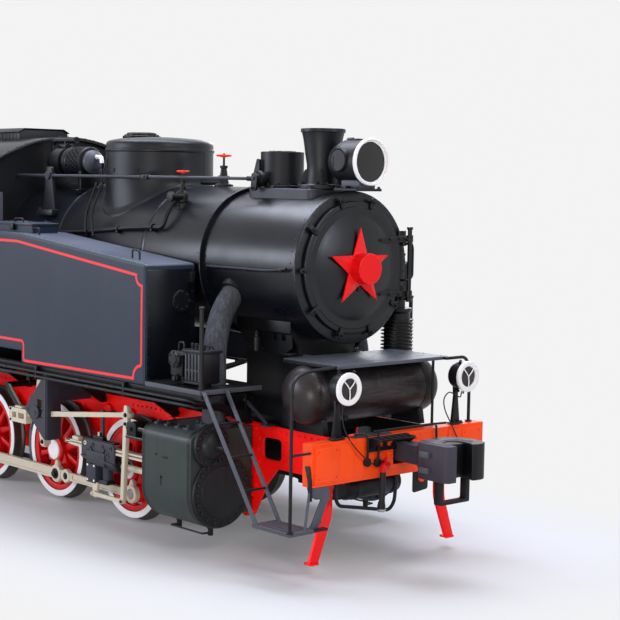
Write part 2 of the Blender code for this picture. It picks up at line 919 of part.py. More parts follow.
# Main frame: two plates with their cut-outs, axle boxes and cross stretchers
def main_frame():
    beam_back = front_beam_face - beam_depth
    front = beam_back - seat_gap
    back = rear_beam_face + beam_depth + seat_gap
    low_x = 1.60
    outline = [
        (front, frame_front_bottom), (front, frame_top), (back, frame_top),
        (back, frame_rear_bottom), (axles["rear"] - 0.55, frame_rear_bottom),
        (axles["rear"] - 0.30, frame_middle_bottom), (cylinder_back - 0.02, frame_middle_bottom),
        (low_x - 0.14, frame_low_bottom + 0.05), (low_x, frame_low_bottom),
        (low_x + 0.12, frame_low_bottom + 0.03), (low_x + 0.30, frame_low_bottom + 0.352),
        (low_x + 0.46, frame_front_bottom),
    ]
    hole = rounded(
        rectangle(
            (lightening_hole_x - lightening_hole_half_x, lightening_hole_x + lightening_hole_half_x),
            (lightening_hole_z - lightening_hole_half_z, lightening_hole_z + lightening_hole_half_z),
        ),
        lightening_hole_corner, 3,
    )
    holes = [hole]
    for axle_x in axles.values():
        holes.append(ring_points((axle_x, tread_radius), axle_hole_radius, 10, 18))
    span = (frame_plate_outer - frame_plate_thickness, frame_plate_outer)
    pieces = [
        plate(outline, "xz", span, holes),
        plate(outline, "xz", (-span[1], -span[0]), holes),
    ]
    inner = span[0] + overrun / 4
    for x in (front - stretcher_thickness - stretcher_set, back + stretcher_set, -0.72, -3.50):
        low = frame_front_bottom if x > 0 or x < -3 else 0.62
        pieces.append(block((x, x + stretcher_thickness), (-inner, inner),
                            (low + 0.02, frame_top - 0.02)))
    pieces.append(block((saddle_back, saddle_front), (-inner, inner), (frame_top - 0.10, frame_top + saddle_pad)))
    for axle_x in axles.values():
        for y in (1, -1):
            ys = sorted((y * (span[0] - axle_box_depth), y * inner))
            yoke = [(axle_x - axle_box_half, tread_radius - 0.10), (axle_x - axle_hole_radius, tread_radius - 0.10),
                    (axle_x - axle_hole_radius, tread_radius + axle_hole_radius + 0.01),
                    (axle_x + axle_hole_radius, tread_radius + axle_hole_radius + 0.01),
                    (axle_x + axle_hole_radius, tread_radius - 0.10), (axle_x + axle_box_half, tread_radius - 0.10),
                    (axle_x + axle_box_half, tread_radius + 1.5 * axle_box_half),
                    (axle_x - axle_box_half, tread_radius + 1.5 * axle_box_half)]
            pieces.append(plate(yoke, "xz", ys))
            reach = axle_hole_radius + axle_box_lap
            box = rectangle((axle_x - reach, axle_x + reach), (tread_radius - reach, tread_radius + reach + overrun / 2))
            bore = (axle_radius + pin_clearance) / math.cos(math.pi / axle_sides)
            ring = ring_points((axle_x, tread_radius), bore, axle_sides, 180 / axle_sides - 90)
            pieces.append(plate(box, "xz", (ys[0] - axle_box_lap, ys[1] + axle_box_lap / 2), [ring]))
    return fused(pieces)


node("main_frame", main_frame(), "frame_red", at(0, 0, frame_top))


# Beams with raised end plates
def beam(face, outward, opening):
    back = face - outward * beam_depth
    pieces = [block((back, face), (-beam_half_width, beam_half_width), (beam_bottom, beam_top))]
    for y in (1, -1):
        ys = sorted((y * end_plate_inner, y * (beam_half_width - end_plate_margin)))
        pieces.append(block((face - outward * end_plate_thickness, face + outward * end_plate_thickness),
                            ys, (beam_bottom + end_plate_margin, beam_top - end_plate_margin)))
    cuts = [block((back - outward * overrun, face + outward * overrun),
                  (-opening[0], opening[0]), (coupler_height - opening[1], coupler_height + opening[1]))]
    return fused(pieces, cuts)


opening = (pocket_half_width - overrun, pocket_half_height - 0.055)
node("front_beam", beam(front_beam_face, 1, opening), "beam_orange",
     at(front_beam_face, 0, coupler_height))
node("rear_beam", beam(rear_beam_face, -1, opening), "beam_orange",
     at(rear_beam_face, 0, coupler_height))


# Automatic couplers: pocket, shank, head with its two jaws, and the guard loop below
def coupler(face, outward):
    def along(distance):
        return face + outward * distance

    reach = coupler_reach
    head = [
        (0.38, -0.13), (0.44, -0.25), (reach - 0.06, -0.25), (reach - 0.03, -0.215),
        (reach - 0.03, -0.13), (0.60, -0.10), (0.57, 0.0), (0.60, 0.08), (reach - 0.13, 0.10),
        (reach - 0.02, 0.055), (reach, 0.09), (reach, 0.20), (reach - 0.07, 0.27),
        (0.56, 0.29), (0.42, 0.22), (0.38, 0.13),
    ]
    outline = [(along(x), outward * y) for x, y in head]
    height = coupler_head_half_height
    pieces = [
        plate(outline, "xy", (coupler_height - height, coupler_height + height)),
        block((along(-beam_depth - stretcher_set), along(0.46)), (-coupler_shank_half, coupler_shank_half),
              (coupler_height - coupler_shank_half, coupler_height + coupler_shank_half)),
    ]
    loop_y = 0.17
    loop_x = (along(0.60), along(0.68))
    z0 = coupler_guard_bottom
    for y in (-loop_y, loop_y):
        ys = (y - coupler_guard_width / 2, y + coupler_guard_width / 2)
        pieces.append(block(loop_x, ys, (z0, coupler_height - height + overrun)))
    pieces.append(block(loop_x, (-loop_y, loop_y), (z0, z0 + coupler_guard_thickness)))
    for z in (coupler_height + 0.07, coupler_height - 0.07):
        pieces.append(rod((along(0.56), outward * -0.24, z), (along(0.56), outward * -0.29, z), 0.035))
    return fused(pieces)


node("front_coupler", coupler(front_beam_face, 1), "black_paint",
     at(front_beam_face, 0, coupler_height))
node("rear_coupler", coupler(rear_beam_face, -1), "black_paint",
     at(rear_beam_face, 0, coupler_height))


# Boiler: clad barrel with its bands, firebox between the frames and the end in the cab
def boiler():
    z = boiler_height
    radius = cladding_radius
    length = cladding_front - cladding_back
    band = radius + band_height
    profile = [(0, 0), (0, radius - 0.03), (0.03, radius), (length - band_width, radius),
               (length - band_width, band), (length, band), (length, 0)]
    barrel = turned(profile, (cladding_back, 0, z), "X", barrel_steps)
    firebox = block((firebox_front, cab_front + 0.01), (-firebox_half_width, firebox_half_width),
                    (firebox_bottom, z - 0.2))
    ashpan = block((firebox_front - 0.08, cladding_back + 0.42),
                   (-firebox_half_width + 0.05, firebox_half_width - 0.05),
                   (firebox_bottom - 0.20, firebox_bottom + overrun))
    door = rod((cladding_back + overrun, 0, z - 0.28), (cladding_back - 0.04, 0, z - 0.28), 0.20, steps=12)
    return fused([barrel, firebox, ashpan, door])


node("boiler", boiler(), "black_paint", at(cladding_front, 0, boiler_height))


# Smokebox: open-fronted drum with its front ring, saddle and side handrails
def smokebox():
    z = boiler_height
    radius = smokebox_radius
    back = cladding_front + seat_gap
    length = smokebox_front - back
    inside = radius - smokebox_wall
    ring = radius + front_ring_height
    profile = [
        (0, 0), (0, radius), (length - front_ring_width, radius),
        (length - front_ring_width, ring), (length - 0.008, ring), (length, ring - 0.008),
        (length, door_radius - 0.05), (length - 0.04, door_radius - 0.05),
        (length - 0.04, inside), (tube_plate - back, inside), (tube_plate - back, 0),
    ]
    drum = turned(profile, (back, 0, z), "X", barrel_steps)
    top = z - radius * 0.62
    neck = saddle_half_width * saddle_neck_share
    outline = [
        (-saddle_half_width, frame_top + saddle_pad + seat_gap),
        (saddle_half_width, frame_top + saddle_pad + seat_gap),
        (saddle_half_width, frame_top + 0.06), (neck, frame_top + 0.20),
        (neck, z - radius - 0.10), (saddle_half_width, z - radius + 0.09),
        (saddle_half_width, top), (-saddle_half_width, top),
        (-saddle_half_width, z - radius + 0.09), (-neck, z - radius - 0.10),
        (-neck, frame_top + 0.20), (-saddle_half_width, frame_top + 0.06),
    ]
    saddle = plate(outline, "yz", (saddle_back, saddle_front))
    bore = drum_cutter(radius - smokebox_wall / 2, saddle_back - overrun, saddle_front + overrun)
    saddle = fused([saddle], [bore])
    pieces = [drum, saddle]
    rail_y = radius + smokebox_rail_reach
    rail_z = z - smokebox_rail_drop
    for side in (-1, 1):
        ends = (smokebox_rail_back, smokebox_rail_front)
        pieces.append(pipe([(x, side * rail_y, rail_z) for x in ends], smokebox_rail_radius, 1))
        for x in smokebox_rail_posts:
            pieces.append(rod((x, side * (radius - overrun), rail_z),
                              (x, side * (rail_y + smokebox_rail_radius / 2), rail_z),
                              smokebox_rail_radius * 1.2, steps=6))
    for height in strap_heights:
        zs = (height - strap_half_height - 0.045, height - strap_half_height - 0.005)
        reach = min(abs(zs[0]), abs(zs[1]))
        inner_y = math.sqrt((door_radius + 0.012) ** 2 - reach**2)
        pieces.append(block((smokebox_front - 0.04, door_hinge_x - hinge_pin_radius - hinge_seat),
                            (inner_y, door_hinge_y + 0.012), (z + zs[0], z + zs[1])))
    return fused(pieces)


node("smokebox", smokebox(), "black_paint", at(smokebox_front, 0, boiler_height))


# Smokebox door: dished plate with straps on the left-hand hinge and clamps round it
def smokebox_door():
    z = boiler_height
    start = smokebox_front + door_gap
    profile = [
        (0, 0), (0, door_radius), (door_edge, door_radius), (door_edge + 0.008, door_radius - 0.01),
        (door_edge + 0.008, door_flat_radius + 0.06), (door_bulge * 0.75, door_flat_radius),
        (door_bulge * 0.95, door_flat_radius * 0.5), (door_bulge, 0),
    ]
    pieces = [turned(profile, (start, 0, z), "X", barrel_steps)]
    for height in strap_heights:
        zs = (z + height - strap_half_height, z + height + strap_half_height)
        pieces.append(block((start + door_edge - 0.005, start + door_edge + strap_thickness),
                            (0.10, door_hinge_y), zs))
        pieces.append(rod((door_hinge_x, door_hinge_y, zs[0]), (door_hinge_x, door_hinge_y, zs[1]),
                          hinge_pin_radius + 0.012))
    post = rod((door_hinge_x, door_hinge_y, z + min(strap_heights) - 0.05),
               (door_hinge_x, door_hinge_y, z + max(strap_heights) + 0.09), hinge_pin_radius)
    pieces.append(post)
    return fused(pieces)


hinge_place = at(door_hinge_x, door_hinge_y, boiler_height)
body("smokebox_door", hinge_place, "locomotive")
node("smokebox_door", smokebox_door(), "black_paint", hinge_place, "smokebox_door")


# Star: five faceted arms and the round hub that stands in front of them
def door_star():
    z = boiler_height
    back = smokebox_front + door_gap + door_bulge + seat_gap
    points = []
    for i in range(10):
        radius = star_radius if i % 2 == 0 else star_radius * star_inner_share
        turn = math.radians(90 + 36 * i)
        points.append((radius * math.cos(turn), radius * math.sin(turn)))
    bm = bmesh.new()
    rear = [bm.verts.new(at(back, y, z + v)) for y, v in points]
    rim = [bm.verts.new(at(back + star_edge, y, z + v)) for y, v in points]
    peak = bm.verts.new(at(back + star_edge + star_ridge, 0, z))
    bm.faces.new(rear)
    for i in range(10):
        j = (i + 1) % 10
        bm.faces.new((rear[i], rear[j], rim[j], rim[i]))
        bm.faces.new((rim[i], rim[j], peak))
    star = from_bmesh(bm, "star")
    hub = turned([(0, 0), (0, star_hub_radius), (star_hub_front - back - 0.01, star_hub_radius),
                  (star_hub_front - back, star_hub_radius - 0.01), (star_hub_front - back, 0)],
                 (back, 0, z), "X", 24)
    return fused([star, hub])


node("door_star", door_star(), "frame_red", at(star_hub_front, 0, boiler_height), "smokebox_door")


# Chimney with ribbed foot, and the housing behind it with the throttle rod
def chimney():
    lip = chimney_lip_radius
    neck = chimney_neck_radius
    base = saddle_plate_top + seat_gap
    profile = [
        (base, chimney_bore_radius), (base, chimney_base_radius),
        (chimney_base_height, chimney_base_radius), (chimney_base_height, neck + 0.01),
        (chimney_neck_height, neck), (chimney_top - 0.25, neck + 0.022),
        (chimney_top - 0.10, lip - 0.024), (chimney_top - chimney_lip_height, lip),
        (chimney_top, lip), (chimney_top, lip - 0.03), (chimney_neck_height, chimney_bore_radius),
    ]
    stack = turned([(h, r) for h, r in profile], (chimney_x, 0, 0), "Z", 16, closed=True)
    ribs = []
    for turn in (45, 135, 225, 315):
        u = (math.cos(math.radians(turn)), math.sin(math.radians(turn)))
        outline = [(neck - 0.02, base + 0.01), (chimney_base_radius - 0.005, base + 0.01),
                   (chimney_base_radius - 0.005, chimney_base_height + 0.005),
                   (neck + 0.005, chimney_neck_height), (neck - 0.02, chimney_neck_height)]
        rib = plate(outline, "xz", (-chimney_rib_thickness / 2, chimney_rib_thickness / 2))
        rib.data.transform(Matrix.Translation(-at(0, 0, 0)))
        rib.data.transform(Matrix.Rotation(math.atan2(u[1], u[0]), 4, "Z"))
        rib.data.transform(Matrix.Translation(at(chimney_x, 0, 0)))
        ribs.append(rib)
    return fused([stack, *ribs])


node("chimney", chimney(), "black_paint", at(chimney_x, 0, saddle_plate_top))


def throttle_housing():
    z = boiler_height
    half, cut = saddle_plate_half, saddle_plate_chamfer
    outline = [
        (saddle_plate_back, -half + cut), (saddle_plate_back + cut, -half),
        (saddle_plate_front - cut, -half), (saddle_plate_front, -half + cut),
        (saddle_plate_front, half - cut), (saddle_plate_front - cut, half),
        (saddle_plate_back + cut, half), (saddle_plate_back, half - cut),
    ]
    low = z + math.sqrt(smokebox_radius**2 - half**2) - 0.05
    base = plate(outline, "xy", (low, saddle_plate_top))
    shell = drum_cutter(smokebox_radius, saddle_plate_back - overrun, saddle_plate_front + overrun)
    base = fused([base], [shell])
    drum = turned(
        [(0, 0), (0, drum_radius), (drum_top - saddle_plate_top - 0.02, drum_radius),
         (drum_top - saddle_plate_top + overrun, drum_radius - 0.02),
         (drum_top - saddle_plate_top + overrun, 0)],
        (drum_x, 0, saddle_plate_top - overrun), "Z", 16)
    end = (drum_x + 0.02, -throttle_y, throttle_height)
    box = block((drum_x - 0.09, drum_x + 0.09), (-throttle_y - 0.02, -drum_radius + 0.03),
                (throttle_height - 0.05, throttle_height + 0.05))
    crank = plate([(drum_x - 0.04, throttle_height - 0.10), (drum_x + 0.02, throttle_height - 0.10),
                   (drum_x + 0.05, throttle_height + 0.03), (drum_x - 0.02, throttle_height + 0.05)],
                  "xz", (-throttle_y - 0.018, -throttle_y + 0.018))
    bar = pipe([(cab_front - 0.15, -throttle_rear_y, throttle_height),
                (throttle_joint_x, -throttle_rear_y, throttle_height), end], throttle_radius, 1)
    joint = rod((throttle_joint_x - 0.06, -throttle_rear_y, throttle_height + 0.001),
                (throttle_joint_x + 0.05, -throttle_rear_y, throttle_height + 0.001), 0.032, steps=8)
    foot_z = z + math.sqrt(cladding_radius**2 - (throttle_rear_y - 0.04)**2)
    hanger = block((throttle_bracket_x - 0.02, throttle_bracket_x + 0.02),
                   (-throttle_rear_y - 0.025, -throttle_rear_y + 0.025),
                   (foot_z - 0.06, throttle_height + 0.03))
    hanger = fused([hanger], [drum_cutter(cladding_radius, throttle_bracket_x - 0.1, throttle_bracket_x + 0.1)])
    return fused([base, drum, box, crank, bar, joint, hanger])


node("throttle_housing", throttle_housing(), "black_paint", at(drum_x, 0, saddle_plate_top))


# Dome with its band, valves and handwheels
def dome():
    z = boiler_height
    foot = z + 0.35
    profile = [
        (foot, 0), (foot, dome_radius), (dome_band_height - dome_band_width, dome_radius),
        (dome_band_height - dome_band_width, dome_radius + 0.008),
        (dome_band_height, dome_radius + 0.008), (dome_band_height, dome_radius),
        (dome_shoulder, dome_radius - 0.006), (dome_shoulder + 0.035, dome_radius - 0.06),
        (dome_top - 0.012, dome_radius * 0.5), (dome_top, 0),
    ]
    body_of_dome = turned(profile, (dome_x, 0, 0), "Z", round_steps)
    barrel = drum_cutter(cladding_radius, dome_x - 2 * dome_radius, dome_x + 2 * dome_radius)
    shaped = fused([body_of_dome], [barrel])
    pieces = [shaped]
    rim, height = dome_lid_radius, dome_lid_height
    pieces.append(turned([(0, 0), (0, rim), (height * 0.77, rim * 0.95), (height, rim * 0.75), (height, 0)],
                         (dome_x - dome_lid_offset, 0, dome_top - overrun), "Z", 12))
    return fused(pieces)


node("dome", dome(), "black_paint", at(dome_x, 0, dome_top))


def boiler_valve(x, y, rise):
    wheel_z = boiler_height + rise
    foot_z = boiler_height + math.sqrt(cladding_radius**2 - y**2) - 2 * overrun
    neck_z = wheel_z - valve_neck_height
    body_of_valve = rod((x, y, foot_z), (x, y, neck_z), valve_body_radius, steps=12)
    stem = rod((x, y, neck_z - overrun), (x, y, wheel_z + handwheel_rim), valve_stem_radius, steps=8)
    wheel_disc = rod((x, y, wheel_z - handwheel_rim), (x, y, wheel_z + handwheel_rim / 2),
                     handwheel_radius, steps=12)
    drum = drum_cutter(cladding_radius, x - 2 * valve_body_radius, x + 2 * valve_body_radius)
    return fused([body_of_valve, stem, wheel_disc], [drum])


node("valve_right", boiler_valve(valve_right_x, -valve_right_y, valve_right_rise), "black_paint",
     at(valve_right_x, -valve_right_y, boiler_height + valve_right_rise))
node("valve_top", boiler_valve(valve_top_x, 0, valve_top_rise), "black_paint",
     at(valve_top_x, 0, boiler_height + valve_top_rise))


# Headlamp with dished back, side boss and foot
def headlamp():
    z = headlamp_height
    radius = headlamp_radius
    front = headlamp_front
    profile = [
        (headlamp_back, 0), (headlamp_back + 0.02, radius * 0.48),
        (headlamp_back + 0.09, radius * 0.82),
        (headlamp_body_back, radius - 0.012), (front - headlamp_rim_depth, radius - 0.012),
        (front - headlamp_rim_depth, radius + 0.006), (front, radius + 0.006),
        (front, radius - 0.02), (front - 0.03, radius - 0.03),
        (front - headlamp_recess, radius * 0.55), (front - headlamp_recess - 0.03, 0),
    ]
    shell = turned(profile, (0, 0, z), "X", 20)
    boss = rod((headlamp_boss_x, -radius * 0.6, z), (headlamp_boss_x, -radius - 0.012, z),
               headlamp_boss_radius, headlamp_boss_radius - 0.02, steps=16)
    low = boiler_height + smokebox_radius + front_ring_height + seat_gap
    foot = block((headlamp_foot_back, headlamp_foot_front),
                 (-headlamp_foot_half_y, headlamp_foot_half_y), (low, z - radius * 0.8))
    return fused([shell, boss, foot])


node("headlamp", headlamp(), "black_paint", at(headlamp_foot_back, 0, headlamp_height))


# Turbo generator on top of the firebox, with its ribs and exhaust pipe
def turbo_generator():
    y, z = -turbo_y, turbo_height
    r = turbo_radius
    back, front = turbo_back, turbo_front
    length = front - back
    profile = [(-0.02, 0), (0, r * 0.62), (0.05, r * 0.82), (0.13, r * 0.86), (0.14, r * 0.98),
               (0.30, r * 0.98), (0.31, r * 0.72), (0.38, r * 0.72), (0.39, r)]
    ribs = 3
    start, stop = 0.42, length - 0.16
    for i in range(ribs):
        a = start + (stop - start) * i / ribs
        b = start + (stop - start) * (i + 0.55) / ribs
        profile += [(a, r), (b, r), (b + 0.001, r * 0.88), (a + (stop - start) / ribs - 0.001, r * 0.88)]
    profile += [(stop + 0.005, r), (length - 0.09, r * 0.92), (length - 0.02, r * 0.70), (length, 0)]
    casing = turned(profile, (back, y, z), "X", 12)
    low = boiler_height + math.sqrt(cladding_radius**2 - (turbo_y + turbo_foot_half)**2) - overrun
    foot = block((back + 0.10, front - 0.10), (y - turbo_foot_half, y + turbo_foot_half), (low, z - r * 0.6))
    foot = fused([foot], [drum_cutter(cladding_radius, back, front)])
    elbow = pipe(eased([(back + 0.033, y + 0.008, z + 0.011), (back - 0.06, y + 0.008, z + 0.011),
                        (back - 0.06, y + 0.008, exhaust_top), (back + 0.42, y + 0.008, exhaust_top)], 0.06, 2), exhaust_radius, 1)
    outlet = pipe(eased([(front - 0.02, y, z + 0.06), (front + 0.12, y, z + 0.06),
                         (front + 0.12, y, z - 0.10)], 0.05, 2), 0.022, 1)
    return fused([casing, foot, elbow, outlet])


node("turbo_generator", turbo_generator(), "step_grey", at(turbo_front, -turbo_y, turbo_height))


# Side tanks: sloped top, raised rear floor, filler coaming
def tank():
    outline = [
        (tank_front, tank_bottom), (tank_front, tank_front_top), (tank_slope_x, tank_top),
        (cab_front + seat_gap, tank_top), (cab_front + seat_gap, tank_rear_bottom),
        (tank_notch_x, tank_rear_bottom), (tank_notch_x, tank_bottom),
    ]
    shell = plate(outline, "xz", (-body_half_width, -tank_inner))
    bevel = shell.modifiers.new("edge", "BEVEL")
    bevel.width = tank_edge_radius
    bevel.segments = 3
    bevel.limit_method = "ANGLE"
    bevel.angle_limit = math.radians(50)
    shell = evaluated_mesh(shell)
    coaming = block((filler_back, filler_front), (-filler_outer, -filler_inner),
                    (tank_top - overrun, tank_top + filler_height))
    well = block((filler_back + 0.02, filler_front - 0.02), (-filler_outer + 0.02, -filler_inner - 0.02),
                 (tank_top - 0.30, tank_top + filler_height + overrun))
    return fused([shell, coaming], [well])


pair("tank", tank, "tank_paint", (tank_front, body_half_width, tank_bottom))


def filler_lid():
    z = tank_top + filler_height + 0.001
    edge = lid_overhang
    lid = block((filler_back - edge, filler_front + edge), (-filler_outer - edge, -filler_inner + edge),
                (z, z + lid_thickness))
    handle = pipe(eased([(-1.55, -filler_outer + 0.06, z + 0.015), (-1.55, -filler_outer + 0.06, z + 0.06),
                         (-1.72, -filler_outer + 0.06, z + 0.06),
                         (-1.72, -filler_outer + 0.06, z + 0.015)], 0.03), 0.009, 1)
    return fused([lid, handle])


lid_z = tank_top + filler_height + 0.001 + lid_thickness / 2
lid_y = filler_inner - lid_overhang
for side, word in ((-1, "right"), (1, "left")):
    lid = filler_lid()
    hinge = at((filler_front + filler_back) / 2, side * lid_y, lid_z)
    body("filler_lid_" + word, hinge, "locomotive")
    node("filler_lid_" + word, mirrored(lid) if side > 0 else lid, "tank_paint", hinge,
         "filler_lid_" + word)


# Running boards: plate before the tank, sill and outriggers below it, pipes along the edge
def running_board():
    top = board_top
    front_plate = block((tank_front + seat_gap * 2, board_front), (-body_half_width, -board_inner),
                        (top - 0.012, top))
    lip = block((tank_front + seat_gap * 2, board_front), (-body_half_width, -body_half_width + 0.012),
                (top - board_thickness, top - 0.001))
    lip_front = block((board_front - 0.012, board_front), (-body_half_width, -board_inner),
                      (top - board_thickness, top - 0.001))
    sill_top = tank_bottom - seat_gap
    sill = block((cab_front + 0.01, board_front - 0.02), (-sill_outer, -sill_outer + sill_width),
                 (sill_top - sill_height, sill_top))
    riser = block((tank_front + 0.05, board_front - 0.05), (-sill_outer + 0.01, -sill_outer + 0.04),
                  (sill_top - overrun, top - 0.006))
    pieces = [front_plate, lip, lip_front, sill, riser]
    inner_y, outer_y = -frame_plate_outer - seat_gap, -sill_outer + 0.01
    for x in outriggers:
        top_z = tank_rear_bottom - seat_gap if x < tank_notch_x else sill_top - 0.001
        low = casing_top + 0.02 if x > cylinder_back else frame_top - 0.09
        outline = [(inner_y, low), (inner_y - outrigger_root, low),
                   (-outrigger_knee_y, outrigger_knee_z), (outer_y, outrigger_tip_z),
                   (outer_y, top_z), (inner_y, top_z)]
        pieces.append(plate(outline, "yz", (x, x + outrigger_thickness)))
    for x in (-2.35, -1.00, 0.60):
        pieces.append(block((x, x + 0.025), (-body_half_width + 0.005, -sill_outer + 0.01),
                            (min(pipe_heights) - 0.03, sill_top - 0.01)))
    for z in pipe_heights:
        pieces.append(rod((cab_front + 0.02, -body_half_width + 0.02, z),
                          (board_front - 0.25, -body_half_width + 0.02, z), pipe_radius, steps=6))
    pole_y = -body_half_width + pole_radius + lug_inset
    pieces.append(rod((pole_x, pole_y, top - board_thickness / 2), (pole_x, pole_y, pole_top), pole_radius,
                      steps=8))
    hole = rod((steam_pipe_x, -steam_pipe_y, top - 2 * board_thickness),
               (steam_pipe_x, -steam_pipe_y, top + board_thickness), steam_pipe_radius + 0.03, steps=12)
    return fused([fused(pieces)], [hole])


pair("running_board", running_board, "black_paint", (board_front, body_half_width, board_top))


# Cab: floor with rear steps, walls with their windows, arched roof, doors and bunker
def roof_line(half, lower):
    """Points of the arched roof's facets from one side to the other, set down by lower."""
    reach = body_half_width + roof_side_overhang
    grid = [reach - 2 * reach * i / roof_steps for i in range(roof_steps + 1)]
    arch = [(y, roof_peak - roof_radius + math.sqrt(roof_radius**2 - y**2)) for y in grid]
    line = []
    for (y1, z1), (y2, z2) in zip(arch, arch[1:]):
        for y in (min(y1, half), max(y2, -half)):
            if y2 <= y <= y1:
                spot = (y, z1 + (z2 - z1) * (y - y1) / (y2 - y1) - lower)
                if not line or abs(line[-1][0] - y) > seat_gap:
                    line.append(spot)
    return line


def cab_outline(half, lower, bottom):
    return [(-half, bottom), (half, bottom), *roof_line(half, lower)]


def cab_floor_plate():
    top = cab_floor - seat_gap
    low = cab_floor - floor_thickness
    pieces = [block((cab_front, bunker_back), (-body_half_width, body_half_width), (low, top))]
    for y in (-1, 1):
        ys = sorted((y * (frame_plate_outer - 0.08), y * frame_plate_outer))
        beam_front = rear_beam_face + beam_depth + seat_gap
        pieces.append(block((cab_front - 0.02, beam_front), ys, (frame_top + seat_gap, low + 0.01)))
        outer = y * (body_half_width - 0.02)
        inner = y * (body_half_width - 0.30)
        for z in cab_step_heights:
            pieces.append(block((cab_step_front, cab_step_back), sorted((outer, inner)), (z, z + step_plate)))
        for x in (cab_step_front, cab_step_back + hanger_half):
            pieces.append(block((x - hanger_half, x), sorted((outer, inner)),
                                (min(cab_step_heights), low + 0.01)))
    return fused(pieces)


node("cab_floor", cab_floor_plate(), "step_grey", at(cab_front, 0, cab_floor))


def cab_front_wall():
    xs = (cab_front - cab_wall, cab_front)
    wall = plate(cab_outline(body_half_width, roof_thickness + seat_gap, cab_floor), "yz", xs)
    cuts = [drum_cutter(cladding_radius, xs[0] - overrun, xs[1] + overrun),
            rod((xs[0] - overrun, -throttle_rear_y, throttle_height), (xs[1] + overrun, -throttle_rear_y, throttle_height),
                throttle_radius + 0.004, steps=8)]
    for y in (-1, 1):
        ys = sorted((y * front_window_inner, y * front_window_outer))
        cuts.append(block((xs[0] - overrun, xs[1] + overrun), ys, (front_window_bottom, front_window_top)))
    return fused([wall], cuts)


node("cab_front", cab_front_wall(), "black_paint", at(cab_front, 0, cab_floor))


def cab_side():
    ys = (-body_half_width, -body_half_width + cab_wall)
    eave = roof_line(body_half_width, roof_thickness + seat_gap)[0][1]
    front, back = cab_front - cab_wall - seat_gap, cab_back + cab_wall + seat_gap
    wall = plate([(front, cab_floor), (back, cab_floor), (back, eave), (front, eave)], "xz", ys)
    cuts = [
        block((side_window_back, side_window_front), (ys[0] - overrun, ys[1] + overrun),
              (side_window_bottom, side_window_top)),
        block((door_back, door_front), (ys[0] - overrun, ys[1] + overrun),
              (cab_floor - overrun, door_top)),
    ]
    rail_x = door_front + cab_rail_set
    rail_ys = (ys[0] + cab_wall / 3, ys[0] - cab_rail_reach)
    rail_zs = (cab_floor + cab_rail_low, side_window_bottom - cab_rail_drop)
    rail = pipe(eased([(rail_x, rail_ys[0], rail_zs[0]), (rail_x, rail_ys[1], rail_zs[0]),
                       (rail_x, rail_ys[1], rail_zs[1]), (rail_x, rail_ys[0], rail_zs[1])],
                      cab_rail_reach, 2), cab_rail_radius, 1)
    lugs = [block((door_back - cab_lug_depth, door_back), (-cab_door_hinge_y - cab_hinge_radius, ys[0] + cab_wall / 4),
                  (z - cab_lug_depth, z - hinge_seat)) for z in cab_hinge_heights]
    return fused([wall, rail, *lugs], cuts)


pair("cab_side", cab_side, "black_paint", (cab_front, body_half_width, cab_floor))


def cab_back_wall():
    xs = (cab_back, cab_back + cab_wall)
    wall = plate(cab_outline(body_half_width, roof_thickness + seat_gap, cab_floor), "yz", xs)
    cuts = []
    for y in (-1, 1):
        ys = sorted((y * back_window_inner, y * back_window_outer))
        cuts.append(block((xs[0] - overrun, xs[1] + overrun), ys, (back_window_bottom, back_window_top)))
    wall = fused([wall], cuts)
    box = block((bunker_back, xs[0] + 0.01), (-body_half_width, body_half_width), (cab_floor, bunker_top))
    well = block((bunker_back + bunker_wall, xs[0] - 0.001),
                 (-body_half_width + bunker_wall, body_half_width - bunker_wall),
                 (cab_floor + bunker_wall, bunker_top + overrun))
    return fused([wall, fused([box], [well])])


node("cab_back_and_bunker", cab_back_wall(), "black_paint", at(cab_back, 0, cab_floor))


def cab_roof():
    half = body_half_width + roof_side_overhang
    ring = roof_line(half, 0) + roof_line(half, roof_thickness)[::-1]
    sheet = plate(ring, "yz", (cab_back - roof_overhang, cab_front + roof_overhang))
    vent = plate([(-vent_half, roof_peak - 0.05), (vent_half, roof_peak - 0.05),
                  (vent_half, vent_top - 0.06), (vent_half - 0.07, vent_top),
                  (-vent_half + 0.07, vent_top), (-vent_half, vent_top - 0.06)], "yz", (vent_back, vent_front))
    return fused([sheet, vent])


node("cab_roof", cab_roof(), "black_paint", at(cab_front, 0, roof_peak))


def cab_door():
    ys = (-body_half_width, -body_half_width + cab_wall)
    gap = cab_door_gap
    leaf = block((door_back + gap, door_front - gap), ys, (cab_floor + gap, door_top - gap))
    cut = block((door_back + 0.10, door_front - 0.10), (ys[0] - overrun, ys[1] + overrun),
                (side_window_bottom, side_window_top))
    handle_x = door_front - door_handle_set
    handle_z = side_window_bottom - door_handle_drop
    handle = rod((handle_x, ys[0] + cab_wall / 3, handle_z), (handle_x, ys[0] - cab_rail_reach, handle_z),
                 cab_hinge_radius)
    hinges = []
    for z in cab_hinge_heights:
        hinges.append(rod((door_back, -cab_door_hinge_y, z), (door_back, -cab_door_hinge_y, z + cab_hinge_length),
                          cab_hinge_radius))
        hinges.append(block((door_back + cab_hinge_radius / 3, door_back + cab_strap_length),
                            (-cab_door_hinge_y + cab_hinge_radius / 6, ys[0] + cab_hinge_radius / 6),
                            (z + cab_hinge_radius, z + cab_hinge_length - cab_hinge_radius)))
    return fused([leaf, handle, *hinges], [cut])


for side, word in ((-1, "right"), (1, "left")):
    leaf = cab_door()
    hinge = at(door_back, side * cab_door_hinge_y, (cab_floor + door_top) / 2)
    body("cab_door_" + word, hinge, "locomotive")
    node("cab_door_" + word, mirrored(leaf) if side > 0 else leaf, "black_paint", hinge,
         "cab_door_" + word)


